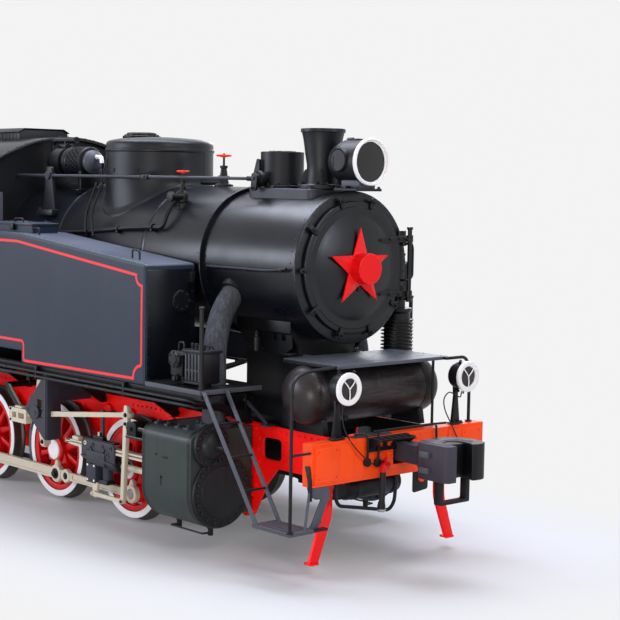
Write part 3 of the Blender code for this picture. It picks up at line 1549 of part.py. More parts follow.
# Cylinders: clad casing, valve chest cover with its tail boss, big front cover, back cover
def cylinder():
    arc = ring_points((-cylinder_y, cylinder_z), cylinder_radius, 7, 180, 135)
    outline = [(-cylinder_inner, casing_top)]
    outline += rounded([(-cylinder_inner, casing_top), (-cylinder_outer, casing_top),
                        (-cylinder_outer, cylinder_z)], [0, casing_corner, 0], 5)[1:]
    outline += arc[1:] + [(-cylinder_inner, arc[-1][1] + 0.02)]
    casing = plate(outline, "yz", (cylinder_back, cylinder_front))
    front = cylinder_front
    cover = turned([(0, 0), (0, cover_radius), (cover_thickness, cover_radius),
                    (cover_thickness + 0.012, cover_radius - 0.02), (cover_thickness + 0.012, 0)],
                   (front - 0.01, -cylinder_y, cylinder_z), "X", 18)
    chest = turned([(0, 0), (0, valve_radius), (0.055, valve_radius), (0.055, valve_dome_radius),
                    (0.10, valve_dome_radius * 0.7), (0.12, valve_tail_radius), (valve_tail_front - front + 0.01, valve_tail_radius),
                    (valve_tail_front - front + 0.01, 0)],
                   (front - 0.01, -valve_y, valve_z), "X", 14)
    back = turned([(0, 0), (0, gland_radius), (0.08, gland_radius),
                   (0.08, back_cover_radius), (0.12, back_cover_radius), (0.12, 0)],
                  (cylinder_back - 0.11, -cylinder_y, cylinder_z), "X", 14)
    path = eased([(steam_pipe_x, -smokebox_radius + 0.08, steam_pipe_top),
                  (steam_pipe_x, -steam_pipe_y + 0.02, steam_pipe_top - 0.05),
                  (steam_pipe_x, -steam_pipe_y, casing_top - 0.03)], 0.25, 3)
    lagged = pipe(path, steam_pipe_radius, 2)
    drum = drum_cutter(smokebox_radius, saddle_back, saddle_front)
    lagged = fused([lagged], [drum])
    return fused([casing, cover, chest, back, lagged])


pair("cylinder", cylinder, "cladding_green", (cylinder_front, cylinder_y, cylinder_z))


# Air tank across the engine below the platform, on two cradles
def air_tank():
    r, x, z = air_tank_radius, air_tank_x, air_tank_z
    half, dish = air_tank_half_length, air_tank_dish
    ends = [(0.0, 0.0), (0.18, 0.45), (0.45, 0.75), (0.75, 0.93), (1.0, 1.0)]
    profile = [(-half + dish * a, r * b) for a, b in ends]
    profile += [(half - dish * a, r * b) for a, b in reversed(ends)]
    shell = turned(profile, (x, 0, z), "Y", round_steps)
    pieces = [shell]
    for y in (-1, 1):
        ys = (y * frame_plate_outer - air_tank_cradle_half, y * frame_plate_outer + air_tank_cradle_half)
        pieces.append(plate([(x - 0.20, frame_top + seat_gap), (x + 0.20, frame_top + seat_gap),
                             (x + 0.16, z - r * 0.6), (x - 0.16, z - r * 0.6)], "xz", ys))
    return fused(pieces)


node("air_tank", air_tank(), "black_paint", at(air_tank_x, 0, air_tank_z))


# Front platform on its brackets, with the hoop rail down to the beam on the left
def front_platform():
    top = platform_top
    low = top - platform_thickness
    deck = block((platform_back, platform_front), (-platform_half, platform_half), (top - 0.008, top))
    lip = block((platform_front - 0.008, platform_front + 0.001), (-platform_half - 0.001, platform_half + 0.001),
                (low, top - 0.001))
    pieces = [deck, lip]
    for y in (-1, 1):
        ys = sorted((y * platform_half, y * (platform_half - 0.008)))
        pieces.append(block((platform_back, platform_front - 0.002), ys, (low + 0.001, top - 0.002)))
        post_y = y * (frame_plate_outer - frame_plate_thickness / 2)
        pieces.append(rod((platform_front - 0.09, post_y, frame_top + seat_gap),
                          (platform_front - 0.09, post_y, top - 0.004), 0.02, steps=8))
        arm_ys = sorted((y * 0.30, y * 0.35))
        pieces.append(block((saddle_front + seat_gap, platform_back + 0.02), arm_ys, (low - 0.03, top - 0.004)))
    hoop = eased([(3.0, platform_half - 0.02, top - 0.018), (3.0, 0.95, top - 0.018), (3.0, 1.0, 1.72),
                  (3.0, 1.0, beam_top + seat_gap)], 0.12, 4)
    pieces.append(pipe(hoop, hoop_radius, 1))
    pieces.append(block((platform_front - 0.02, 3.01), (platform_half - 0.06, platform_half - 0.01),
                        (top - 0.03, top - 0.006)))
    return fused(pieces)


node("front_platform", front_platform(), "step_grey", at(platform_front, 0, platform_top))


# Step, ladder and rail at the right-hand front corner
def front_step():
    top, thick = step_top, step_thickness
    edge = stringer_thickness / 5
    pieces = [block((step_back, step_front), (-step_outer, -step_inner), (top - thick, top))]
    ladder_top = (board_front + stringer_width / 2 + seat_gap, board_top - 0.01)
    ladder_foot = (step_back + 0.06, top - 0.005)
    half = stringer_width / 2
    outline = [(ladder_foot[0] - half, ladder_foot[1]), (ladder_foot[0] + half, ladder_foot[1]),
               (ladder_top[0] + half, ladder_top[1]), (ladder_top[0] - half, ladder_top[1])]
    for y in (-step_outer + edge, -step_inner - stringer_thickness - edge):
        pieces.append(plate(outline, "xz", (y, y + stringer_thickness)))
    for i in range(1, ladder_rungs):
        t = i / ladder_rungs
        x = ladder_foot[0] + (ladder_top[0] - ladder_foot[0]) * t
        z = ladder_foot[1] + (ladder_top[1] - ladder_foot[1]) * t
        pieces.append(rod((x, -step_outer + 2 * edge, z), (x, -step_inner - 2 * edge, z), rung_radius, steps=8))
    rail_x, rail_y = step_front - 0.02, -step_outer + 0.02
    hoop_z = platform_top - hoop_drop
    hoop = eased([(rail_x, rail_y, top - overrun), (rail_x, rail_y, hoop_z - 3 * hoop_radius),
                  (rail_x - hoop_lean, -body_half_width + hoop_inset, hoop_z),
                  (platform_front - hoop_set, -platform_half - hoop_bend / 2, hoop_z),
                  (platform_front - hoop_set, -platform_half - seat_gap, hoop_z)], hoop_bend, 3)
    pieces.append(pipe(hoop, hoop_radius, 1))
    tie_x = front_beam_face - 0.02
    pieces.append(pipe([(rail_x, rail_y, hoop_tie_z), (tie_x, rail_y + hoop_bend / 2, hoop_tie_z),
                        (tie_x, -beam_half_width - seat_gap, hoop_tie_z)], hoop_tie_radius, 1))
    pieces.append(block((step_front - 0.075, step_front - 0.005), (-step_inner - 0.03, -0.94),
                        (top - thick + 0.003, top - 0.003)))
    pieces.append(block((step_front - 0.072, step_front - 0.058), (-1.04, -0.945),
                        (top - thick + 0.006, beam_bottom - seat_gap)))
    return fused(pieces)


# Mechanical lubricator on the right-hand running board
def lubricator():
    low = board_top + seat_gap
    outer, inner = -lubricator_outer, -lubricator_inner
    middle = (outer + inner) / 2
    back, front = lubricator_back, lubricator_front
    split = back + (front - back) * lubricator_split_share
    foot = lubricator_foot
    lid = lubricator_lid
    top = lubricator_top
    shaft_z = low + (top - low) * lubricator_shaft_share
    flange_x = (back + split - lid) / 2
    pieces = [
        block((split, front), (outer, inner), (low + foot, top)),
        block((split - lid, front + lid), (outer - lid, inner + lid), (top - lid, top + lid / 2)),
        block((back, split - 2 * lid), (outer, inner), (low + 2 * foot, top - 2 * lid)),
        rod((back + lid, middle, shaft_z), (front - lid, middle, shaft_z), lubricator_shaft_radius),
        rod((flange_x, outer - lubricator_boss_reach, shaft_z), (flange_x, middle, shaft_z),
            lubricator_boss_radius, steps=16),
        block((flange_x - lid, flange_x + lid), (middle - foot, middle + foot), (low, low + 3 * foot)),
        block((front - 3 * foot, front - foot), (middle - foot, middle + foot), (low, low + 2 * foot)),
    ]
    return fused(pieces)


node("lubricator", lubricator(), "black_paint", at(lubricator_front, -lubricator_outer, board_top))


# Brake gear: shoe and hanger behind each wheel, and the pull rod below
def brake_gear():
    pieces = []
    reach = tread_radius + brake_shoe_gap
    for axle_x in axles.values():
        centre = (axle_x, tread_radius)
        shoe = ring_points(centre, reach, 4, 196, -32)
        shoe += ring_points(centre, reach + brake_shoe_depth, 4, 164, 32)
        pieces.append(plate(shoe, "xz", (-wheel_outer_face + 0.012, -wheel_inner_face - 0.055)))
        x = axle_x - reach - brake_shoe_depth - 0.009
        pieces.append(block((x - 0.022, x + 0.022), (-hanger_y - 0.012, -hanger_y + 0.014),
                            (pull_rod_height - 0.045, hanger_pin_height + 0.04)))
        pieces.append(rod((x, -frame_plate_outer - seat_gap, hanger_pin_height),
                          (x, -hanger_y - 0.03, hanger_pin_height), 0.018, steps=7))
        pieces.append(rod((x, -pull_rod_y + 0.022, pull_rod_height + 0.002),
                          (x, -hanger_y - 0.027, pull_rod_height + 0.002), 0.018, steps=7))
    behind = reach + brake_shoe_depth
    pieces.append(block((axles["rear"] - behind - 0.06, axles["front"] - behind + 0.04),
                        (-pull_rod_y - 0.01, -pull_rod_y + 0.01), (pull_rod_height - 0.025, pull_rod_height + 0.028)))
    return fused(pieces)


pair("brake_gear", brake_gear, "step_grey", (0.0, wheel_outer_face, tread_radius))


# Rail guards below the front beam
def rail_guard():
    half = guard_width / 2
    centre = [(guard_top_y, guard_top_z), (guard_top_y, guard_knee_z),
              (guard_foot_y, guard_foot_z + 0.02), (guard_foot_y + 0.065, guard_foot_z)]
    seat_y = -frame_plate_outer - seat_gap
    outline = [(-centre[0][0] - half, centre[0][1]), (seat_y, centre[0][1]),
               (seat_y, frame_front_bottom + 0.01), (-centre[0][0] + half, frame_front_bottom - 0.05),
               (-centre[1][0] + half, centre[1][1]), (-centre[2][0] + half, centre[2][1]),
               (-centre[3][0] + 0.0, guard_foot_z), (-centre[3][0], guard_foot_z + 0.02),
               (-centre[2][0] - half * 0.6, centre[2][1] + 0.02), (-centre[1][0] - half, centre[1][1])]
    flat = plate(outline, "yz", (guard_x - guard_thickness / 2, guard_x + guard_thickness / 2))
    web_outline = [(guard_x, centre[0][1] - 0.02), (guard_x - 0.10, centre[0][1] - 0.1), (guard_x - 0.06, 0.15),
                   (guard_x, 0.12)]
    web = plate(web_outline, "xz", (-guard_top_y - 0.012, -guard_top_y + 0.012))
    return fused([flat, web])


# Beam lamps on their stands
def beam_lamp():
    y, z, r = -lamp_y, lamp_height, lamp_radius
    profile = [
        (lamp_back, 0), (lamp_back + 0.01, r * 0.6), (lamp_back + 0.05, r * 0.88),
        (lamp_front - lamp_ring_depth, r - 0.012), (lamp_front - lamp_ring_depth, r),
        (lamp_front, r), (lamp_front, r - 0.03), (lamp_front - 0.02, r - 0.032),
        (lamp_front - 0.035, 0),
    ]
    shell = turned(profile, (0, y, z), "X", 16)
    stand = plate([(y - lamp_stand_half * 1.4, beam_top + seat_gap), (y + lamp_stand_half * 1.4, beam_top + seat_gap),
                   (y + lamp_stand_half, z - r * 0.7), (y - lamp_stand_half, z - r * 0.7)], "yz",
                  (lamp_stand_x - 0.03, lamp_stand_x + 0.03))
    return fused([shell, stand])


# Air compressor on the left of the smokebox
def compressor():
    r = compressor_radius
    x, y = compressor_x, compressor_y
    low, top = compressor_bottom, compressor_top
    profile = [(low, 0), (low, r), (low + 0.10, r)]
    z = low + 0.10
    while z < low + 0.40:
        profile += [(z, fin_radius), (z + fin_thickness, fin_radius), (z + fin_thickness, r), (z + fin_pitch, r)]
        z += fin_pitch
    profile += [(low + 0.58, r * 0.6), (low + 0.66, r * 0.6), (low + 0.66, r), (top, r), (top + 0.03, r * 0.5),
                (top + 0.03, 0)]
    barrel = turned(profile, (x, y, 0), "Z", 12)
    arm = [block((x - 0.08, x + 0.08), (smokebox_radius - 0.13, y - r * 0.5), (h, h + 0.05))
           for h in (low + 0.59, top - 0.25)]
    shell = drum_cutter(smokebox_radius, x - fin_radius, x + fin_radius)
    return fused([barrel, *arm], [shell])


node("compressor", compressor(), "black_paint", at(compressor_x, compressor_y, compressor_bottom))


# Motion: slide bar, crosshead, piston rod and valve gear, as parked without its main rod
def motion():
    y = -motion_y
    bar_ys = (y + 0.02 - slide_bar_half_width, y + 0.02 + slide_bar_half_width)
    bar = plate([(slide_bar_back, slide_bar_bottom + 0.015), (slide_bar_back + 0.18, slide_bar_bottom),
                 (cylinder_back - 0.03 - seat_gap, slide_bar_bottom), (cylinder_back - 0.03 - seat_gap, slide_bar_top),
                 (slide_bar_back, slide_bar_top)], "xz", bar_ys)
    outer = (y - crosshead_plate - slide_bar_half_width + 0.02, y - slide_bar_half_width + 0.03)
    upper = plate(rounded([(crosshead_back, crosshead_waist + 0.03), (crosshead_front, crosshead_waist),
                           (crosshead_front, crosshead_top - 0.03), (crosshead_back + 0.03, crosshead_top)],
                          0.04, 3), "xz", outer)
    lower = block((crosshead_back + 0.11, crosshead_front - 0.16), (outer[0], -cylinder_y + 0.03),
                  (crosshead_bottom, slide_bar_bottom - 0.01))
    inner_join = block((crosshead_back + 0.11, crosshead_front - 0.16), (outer[0] + 0.01, bar_ys[1] - 0.01),
                       (crosshead_waist - 0.02, slide_bar_bottom + 0.01))
    piston = rod((crosshead_front - 0.20, -cylinder_y, cylinder_z), (cylinder_back - 0.11 - seat_gap, -cylinder_y, cylinder_z),
                 piston_rod_radius)
    arm = plate([(drop_arm_x - 0.05, crosshead_bottom + 0.02), (drop_arm_x + 0.05, crosshead_bottom + 0.02),
                 (drop_arm_x + 0.035, union_height - 0.03), (drop_arm_x - 0.035, union_height - 0.03)],
                "xz", (y - 0.045, y - 0.01))
    half = lever_half_width
    thick = lever_thickness
    front_y = (y - 0.045 - thick, y - 0.045 + 0.003)
    union = block((drop_arm_x, lever_foot_x), front_y, (union_height - half, union_height + half))
    lever = plate([(lever_foot_x - half, union_height - half), (lever_foot_x + half, union_height - half),
                   (lever_top_x + half, lever_top_z), (lever_top_x - half, lever_top_z)], "xz",
                  (front_y[0] + 0.005, front_y[1] + 0.02))
    depth = radius_rod_half_depth
    slope = (radius_rod_front_z - radius_rod_tail_z) / (lever_top_x - radius_rod_tail_x)
    rod_ys = (y - 0.05, y - 0.005)
    radius_rod = plate([(radius_rod_tail_x, radius_rod_tail_z - depth), (lever_top_x + 0.05, radius_rod_front_z - depth),
                        (lever_top_x + 0.05, radius_rod_front_z + depth),
                        (radius_rod_tail_x, radius_rod_tail_z + depth)], "xz", rod_ys)
    slot = fused([block((radius_rod_tail_x - 0.02, radius_rod_tail_x + 0.34), (y - 0.07, y + 0.01),
                        (radius_rod_tail_z - 0.075, radius_rod_tail_z + 0.085))],
                 [block((radius_rod_tail_x + 0.05, radius_rod_tail_x + 0.13), (y - 0.2, y + 0.2),
                        (radius_rod_tail_z - 0.02, radius_rod_tail_z + 0.03)),
                  block((radius_rod_tail_x + 0.18, radius_rod_tail_x + 0.29), (y - 0.2, y + 0.2),
                        (radius_rod_tail_z - 0.02, radius_rod_tail_z + 0.03))])
    steps = 4
    back_edge, front_edge = [], []
    for i in range(steps + 1):
        t = i / steps
        z = link_foot + (link_top - link_foot) * t
        bow = link_bow * (1 - (2 * t - 1) ** 2)
        back_edge.append((link_x - bow - link_half_width + 0.1 * (0.5 - t), z))
        front_edge.append((link_x - bow + link_half_width + 0.1 * (0.5 - t), z))
    link = plate(back_edge + front_edge[::-1], "xz", (y - 0.03, y + 0.03))
    bracket = plate([(bracket_back, 1.0), (bracket_back + 0.40, bracket_top), (bracket_front, bracket_top),
                     (bracket_front, bracket_bottom), (bracket_front - 0.07, bracket_bottom)], "xz",
                    (y - 0.095, y - 0.065),
                    [rectangle((bracket_front - 0.20, bracket_front - 0.10), (0.93, 1.13))])
    wheel_clear = tread_radius * 2 + flange_depth * 2
    flange = plate([(y - 0.095, bracket_bottom), (y + 0.08, bracket_bottom), (y + 0.08, wheel_clear),
                    (-frame_plate_outer - seat_gap, wheel_clear), (-frame_plate_outer - seat_gap, frame_top - 0.01),
                    (y + 0.08, bracket_top), (y - 0.095, bracket_top)], "yz",
                   (bracket_front - 0.02, bracket_front))
    trunnion = rod((link_x, y + 0.03, 0.98), (link_x, y - 0.09, 0.98), 0.05)
    lift = plate([(-2.10, 1.18), (-2.02, 1.22), (radius_rod_tail_x + 0.12, radius_rod_tail_z + 0.08),
                  (radius_rod_tail_x + 0.02, radius_rod_tail_z + 0.06)], "xz", (y - 0.03, y))
    return fused([bar, upper, lower, inner_join, piston, arm, union, lever, radius_rod, slot, link, bracket,
                  flange, trunnion, lift])


pair("motion", motion, "rod_cream", (cylinder_back, motion_y, cylinder_z))
pair("rail_guard", rail_guard, "frame_red", (guard_x, guard_top_y, beam_bottom))
pair("beam_lamp", beam_lamp, "lamp_white", (lamp_stand_x, lamp_y, beam_top))
node("front_step", front_step(), "step_grey", at(step_back, -step_outer, step_top))


# Brake pipe cock on the front beam, the hose that hangs from it and the two lamp cables
def brake_cock():
    face = front_beam_face + seat_gap
    run_x = hose_top[0]
    spigot = pipe(eased([(face, hose_top[1] + cock_reach, cock_height), (run_x, hose_top[1] + cock_reach, cock_height),
                         (run_x, hose_top[1], cock_height), (run_x, hose_top[1], hose_top[2] + seat_gap)],
                        0.05, 3), cock_radius, 1)
    flange_plate = rod((face, hose_top[1] + cock_reach, cock_height),
                       (face + end_plate_thickness, hose_top[1] + cock_reach, cock_height), cock_radius * 1.6)
    handle = block((run_x - 0.008, run_x + 0.008), (hose_top[1] + cock_reach * 0.3, hose_top[1] + cock_reach * 0.6),
                   (cock_height + cock_radius * 0.5, cock_height + cock_radius + 0.05))
    return fused([spigot, flange_plate, handle])


def smooth_path(route, count):
    """Points of one smooth curve through the route's own points, evenly taken."""
    ends = [2 * Vector(route[0]) - Vector(route[1]), *map(Vector, route), 2 * Vector(route[-1]) - Vector(route[-2])]
    path = []
    for i in range(count + 1):
        along = (len(route) - 1) * i / count
        k = min(int(along), len(route) - 2)
        t = along - k
        a, b, c, d = ends[k:k + 4]
        path.append(0.5 * (2 * b + (c - a) * t + (2 * a - 5 * b + 4 * c - d) * t**2
                           + (3 * b - a - 3 * c + d) * t**3))
    return path


def cord(name, route, radius, count, resolution):
    tube = tube_curve(name, smooth_path(route, count), radius, resolution, False, parts)
    tube.parent = bodies["locomotive"]
    tube.data.materials.append(finishes["rubber"])


node("brake_cock", brake_cock(), "frame_red", at(front_beam_face, hose_top[1], cock_height))
cord("brake_hose", hose_route, hose_radius, 12, 2)
cord("lamp_cable_right", right_cable_route, cable_radius, 27, 1)
cord("lamp_cable_left", left_cable_route, cable_radius, 30, 1)
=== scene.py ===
"""Looks of the six-coupled steam tank locomotive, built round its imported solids.

Metres. Places are given from the front axle, the middle and the top of the rail, as in the part's
source, and spot() turns them into the frame's own places. On a piece made for one side, y is
counted outwards from the middle and the side, -1 for right and 1 for left, turns it round.
"""

import json
from math import atan2, copysign, cos, hypot, pi, radians, sin, sqrt, tan, tau

import bmesh
import bpy
from mathutils import Matrix, Vector
from mathutils.geometry import tessellate_polygon


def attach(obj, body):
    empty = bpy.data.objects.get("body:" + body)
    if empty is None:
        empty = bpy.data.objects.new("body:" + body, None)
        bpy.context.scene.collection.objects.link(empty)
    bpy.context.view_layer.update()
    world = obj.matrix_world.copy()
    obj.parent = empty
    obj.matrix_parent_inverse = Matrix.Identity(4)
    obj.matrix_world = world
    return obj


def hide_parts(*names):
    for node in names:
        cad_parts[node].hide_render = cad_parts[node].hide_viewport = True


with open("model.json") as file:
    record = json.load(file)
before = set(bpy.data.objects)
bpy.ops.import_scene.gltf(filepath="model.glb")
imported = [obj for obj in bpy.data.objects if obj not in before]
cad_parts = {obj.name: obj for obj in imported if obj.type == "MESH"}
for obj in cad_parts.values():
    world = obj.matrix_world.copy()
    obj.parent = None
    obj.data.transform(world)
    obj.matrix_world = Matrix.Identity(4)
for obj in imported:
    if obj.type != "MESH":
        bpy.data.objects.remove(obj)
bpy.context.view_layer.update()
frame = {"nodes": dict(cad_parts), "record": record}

# Places that the solids give
front_axle_x = 0.88
rail_z = 0.03
axle_spacing = 1.41
axles = {"front": 0.0, "middle": -axle_spacing, "rear": -2 * axle_spacing}
tread_radius = 0.525
boiler_height = 2.711
cladding_radius = 0.745
smokebox_radius = 0.708
smokebox_front = 2.375
beam_face = 3.087
rear_face = -4.847
half_width = 1.4
frame_side = 0.63
crank_throw = 0.28
sides = {"right": -1, "left": 1}
# Degrees that the cranks stand above level, ahead of the axle
crank_turns = {"right": -57.0, "left": 33.0}


def spot(x, y, z):
    """Place in the frame of a point given from the front axle, the middle and the rail top."""
    return Vector((front_axle_x + x, y, rail_z + z))


# Camera at the photograph's place
camera_data = bpy.data.cameras.new("camera")
camera = bpy.data.objects.new("camera", camera_data)
bpy.context.scene.collection.objects.link(camera)
bpy.context.scene.camera = camera
yaw, pitch, roll = radians(138.032), radians(-4.798), 0.016
ahead = Vector((cos(yaw) * cos(pitch), sin(yaw) * cos(pitch), sin(pitch)))
level = ahead.cross(Vector((0, 0, 1))).normalized()
raised = level.cross(ahead)
right_of_view = level * cos(roll) + raised * sin(roll)
top_of_view = raised * cos(roll) - level * sin(roll)
turned = Matrix((right_of_view, top_of_view, -ahead)).transposed().to_4x4()
camera.matrix_world = Matrix.Translation(spot(12.961, -10.047, 3.527)) @ turned
camera_data.sensor_width = 36
camera_data.lens = 1538.75 / 620 * camera_data.sensor_width
camera_data.clip_end = 200

bpy.context.scene.view_settings.view_transform = "Standard"


def linear(code):
    """Linear colour of an sRGB hex code."""
    values = [int(code[i:i + 2], 16) / 255 for i in (0, 2, 4)]
    return (*(v / 12.92 if v <= 0.04045 else ((v + 0.055) / 1.055) ** 2.4 for v in values), 1)


def add(tree, kind, links=None, **settings):
    """One shader node with its settings, and with each socket set or linked."""
    made = tree.nodes.new(kind)
    for name, value in settings.items():
        setattr(made, name, value)
    for socket, value in (links or {}).items():
        if isinstance(value, bpy.types.NodeSocket):
            tree.links.new(value, made.inputs[socket])
        else:
            made.inputs[socket].default_value = value
    return made


def noise(tree, place, size_mm, detail, **more):
    """Noise whose cells are about that many millimetres across."""
    sockets = {"Vector": place, "Scale": 1000 / size_mm, "Detail": detail, **more}
    return add(tree, "ShaderNodeTexNoise", sockets).outputs["Fac"]


def ramp(tree, value, low, high, to_low, to_high, **settings):
    """Value carried from one range to another."""
    sockets = {"Value": value, "From Min": low, "From Max": high, "To Min": to_low, "To Max": to_high}
    return add(tree, "ShaderNodeMapRange", sockets, **settings).outputs[0]


def worked(tree, operation, *values):
    """Result of one mathematical operation on values or sockets."""
    return add(tree, "ShaderNodeMath", dict(enumerate(values)), operation=operation).outputs[0]


def blend(tree, share, low, high):
    """Colour that goes from low to high with the share."""
    return add(tree, "ShaderNodeMix", {0: share, 6: low, 7: high}, data_type="RGBA").outputs[2]


def raised_by(tree, height, strength, distance, normal):
    """Normal bent by a height of so many metres."""
    sockets = {"Height": height, "Strength": strength, "Distance": distance, "Normal": normal}
    return add(tree, "ShaderNodeBump", sockets).outputs["Normal"]


def new_material(name):
    """Material with its node tree, its shader and the place on the object."""
    material = bpy.data.materials.new(name)
    material.use_nodes = True
    tree = material.node_tree
    return material, tree, tree.nodes["Principled BSDF"], add(tree, "ShaderNodeTexCoord").outputs["Object"]


def stretched(tree, place, scale):
    """Place scaled along each axis, which draws a pattern out."""
    return add(tree, "ShaderNodeMapping", {"Vector": place, "Scale": scale}).outputs["Vector"]


# Black of the frames' inner faces
inner_face_black = "0b0c0f"


def coated(name, colour, rough, *, worn="8a8d92", dust_and_sheen_tone="6d6c6b", patch_mm=420, streak_mm=60, grain_mm=9,
        top_dust_and_sheen=0.12, mottle=0.35, lighter=1.6, ior=1.42, metallic=0.0, edge_mm=3.0, grain_depth=0.0006,
        wave_mm=0, scratch=0.0, specular=0.32, black_within=0.0):
    """Brushed or sprayed coat on steel: patches, run-off streaks, a pale tone on top faces, soft edges. The
    pale top tone is dust; on the tank it is also a painted sheen of the light from above.
    """
    material, tree, shader, place = new_material(name)
    patches = noise(tree, place, patch_mm, 6.0, Roughness=0.62)
    streaks = noise(tree, stretched(tree, place, (1.0, 1.0, 0.06)), streak_mm, 3.0)
    blotch = worked(tree, "MULTIPLY", patches, streaks)
    base = linear(colour)
    pale = (*(min(1.0, v * lighter + 0.004) for v in base[:3]), 1)
    tone = blend(tree, ramp(tree, blotch, 0.16, 0.4, 0.0, mottle), base, pale)
    facing = add(tree, "ShaderNodeNewGeometry").outputs["Normal"]
    up = add(tree, "ShaderNodeSeparateXYZ", {"Vector": facing}).outputs["Z"]
    # Pale tone on upward faces: settled dust, and on the tank also a painted sheen of the top light
    settled_dust_and_sheen = worked(tree, "MULTIPLY", ramp(tree, up, 0.55, 1.0, 0.0, top_dust_and_sheen), patches)
    tone = blend(tree, settled_dust_and_sheen, tone, linear(dust_and_sheen_tone))
    if scratch:
        rubs = noise(tree, stretched(tree, place, (1.0, 0.04, 1.0)), 7, 4.0)
        tone = blend(tree, ramp(tree, rubs, 0.52, 0.75, 0.0, scratch), tone, linear(worn))
    if black_within:
        across = add(tree, "ShaderNodeSeparateXYZ", {"Vector": place}).outputs["Y"]
        inner = worked(tree, "LESS_THAN", worked(tree, "ABSOLUTE", across), black_within)
        tone = blend(tree, inner, tone, linear(inner_face_black))
    tree.links.new(tone, shader.inputs["Base Color"])
    gloss = ramp(tree, patches, 0.3, 0.7, rough - 0.05, rough + 0.05)
    tree.links.new(gloss, shader.inputs["Roughness"])
    normal = add(tree, "ShaderNodeBevel", {"Radius": edge_mm / 1000}, samples=4).outputs["Normal"]
    if wave_mm:
        normal = raised_by(tree, noise(tree, place, wave_mm, 1.0), 0.5, 0.004, normal)
    normal = raised_by(tree, noise(tree, place, grain_mm, 2.0), 0.35, grain_depth, normal)
    tree.links.new(normal, shader.inputs["Normal"])
    shader.inputs["Metallic"].default_value = metallic
    shader.inputs["IOR"].default_value = ior
    shader.inputs["Specular IOR Level"].default_value = 0.5 if metallic else specular
    material.diffuse_color = base
    return material


# Stoved black enamel on the barrel and smokebox: deep, smooth, with a cold sheen
black_enamel = coated("black_enamel", "090c12", 0.31, specular=0.42, mottle=0.4, lighter=1.4, top_dust_and_sheen=0.05,
    wave_mm=260, dust_and_sheen_tone="55565c")
# Brushed black paint on castings, rods and brackets: duller, mottled and finely grained
black_casting = coated("black_casting_paint", "0b0c0f", 0.42, mottle=0.4, grain_mm=6, top_dust_and_sheen=0.12,
    grain_depth=0.0012)
# Heat-dulled black on dome, chimney and housings: softer and flatter than the barrel
warm_black = coated("heat_dulled_black_paint", "0f1115", 0.4, mottle=0.5, dust_and_sheen_tone="6a6464", top_dust_and_sheen=0.15)
# Blue-black tank enamel: flat sheets that buckle a little, with run-off streaks; its blue-grey, lighter than
# the barrel's black, is partly painted sheen of the side light, and the pale blue-grey on top faces is dust
# and painted sheen of the light from above
tank_enamel = coated("blue_black_tank_enamel", "222c39", 0.38, patch_mm=900, streak_mm=240, mottle=0.3,
    lighter=1.35, wave_mm=420, top_dust_and_sheen=0.55, dust_and_sheen_tone="8b91a0")
# Painted highlight on the tank's front corner: a pale strip that stands for the light caught by the rounded
# edge
painted_highlight_edge = coated("painted_tank_edge_highlight", "8d939e", 0.38, mottle=0.5, lighter=1.3, top_dust_and_sheen=0.0, patch_mm=160)
# Coral-red lining brushed on the tanks
coral_line = coated("coral_lining_enamel", "f0383c", 0.42, mottle=0.25, lighter=1.2, top_dust_and_sheen=0.0, ior=1.45)
# Signal-red frame enamel, thick and plain; between the plates the frames' faces are turned near-black
frame_enamel = coated("signal_red_frame_enamel", "ff0905", 0.42, mottle=0.35, lighter=1.15, top_dust_and_sheen=0.1,
    dust_and_sheen_tone="7a3a34", ior=1.45, black_within=0.602)
# Orange-red beam enamel: plain, sun-warmed, a little dusty on top
beam_enamel = coated("orange_red_beam_enamel", "fb4a08", 0.44, mottle=0.35, lighter=1.15, top_dust_and_sheen=0.1,
    dust_and_sheen_tone="8a5a48", ior=1.45)
# Red of the star: a cleaner, glossier coat whose facets catch the light
star_enamel = coated("star_red_enamel", "e6070d", 0.36, mottle=0.2, lighter=1.1, top_dust_and_sheen=0.0, ior=1.46,
    edge_mm=1.5)
# Red of the wheel centres, darker than the frame's red: its darkness is painted shade of the wheels under
# the running boards; patchy and half glossy, as if wiped with oil
wheel_enamel = coated("wheel_centre_red_enamel", "c20606", 0.36, mottle=0.55, lighter=1.4, top_dust_and_sheen=0.05,
    ior=1.46)
# White line paint on tyres, hub caps and lamp rings: flat, rubbed thin in places
white_line = coated("white_line_paint", "f0ecea", 0.45, mottle=0.2, lighter=1.02, top_dust_and_sheen=0.0, grain_mm=5,
    ior=1.45, worn="9a9490", scratch=0.12)
# Bare tread of the tyre, dulled by rust
tyre_steel = coated("rolled_tyre_steel", "4a4642", 0.42, mottle=0.6, metallic=0.75, top_dust_and_sheen=0.0, ior=1.5,
    worn="8b7a6c", scratch=0.3)
# Cream enamel of the rods: thick, soft in its shine, grubby on top
cream_enamel = coated("cream_rod_enamel", "cfc5ad", 0.44, mottle=0.35, lighter=1.12, top_dust_and_sheen=0.12,
    dust_and_sheen_tone="8f836c", ior=1.45, patch_mm=160)
# Grey-green lagging sheet on the cylinders: thin sheet that buckles and holds dust
lagging = coated("grey_green_lagging_enamel", "2b3431", 0.4, mottle=0.6, lighter=1.35, wave_mm=200,
    top_dust_and_sheen=0.35, dust_and_sheen_tone="878b90")
# Dark cover castings on the cylinder ends: a sandy skin under thin paint
cover_casting = coated("dark_cover_casting", "17191c", 0.44, mottle=0.5, top_dust_and_sheen=0.1, grain_mm=5)
# Grey paint of steps, ladders and rails, worn pale by boots
step_paint = coated("grey_step_paint", "4a4d55", 0.44, mottle=0.4, lighter=1.3, top_dust_and_sheen=0.2, dust_and_sheen_tone="85878d",
    patch_mm=180)
# Air tank: black over scraped steel, brushed round the drum, warm in the light
scraped_black = coated("scraped_black_paint", "1a1516", 0.36, mottle=0.6, lighter=2.2, scratch=0.35,
    worn="6b5b58", top_dust_and_sheen=0.1, ior=1.5)
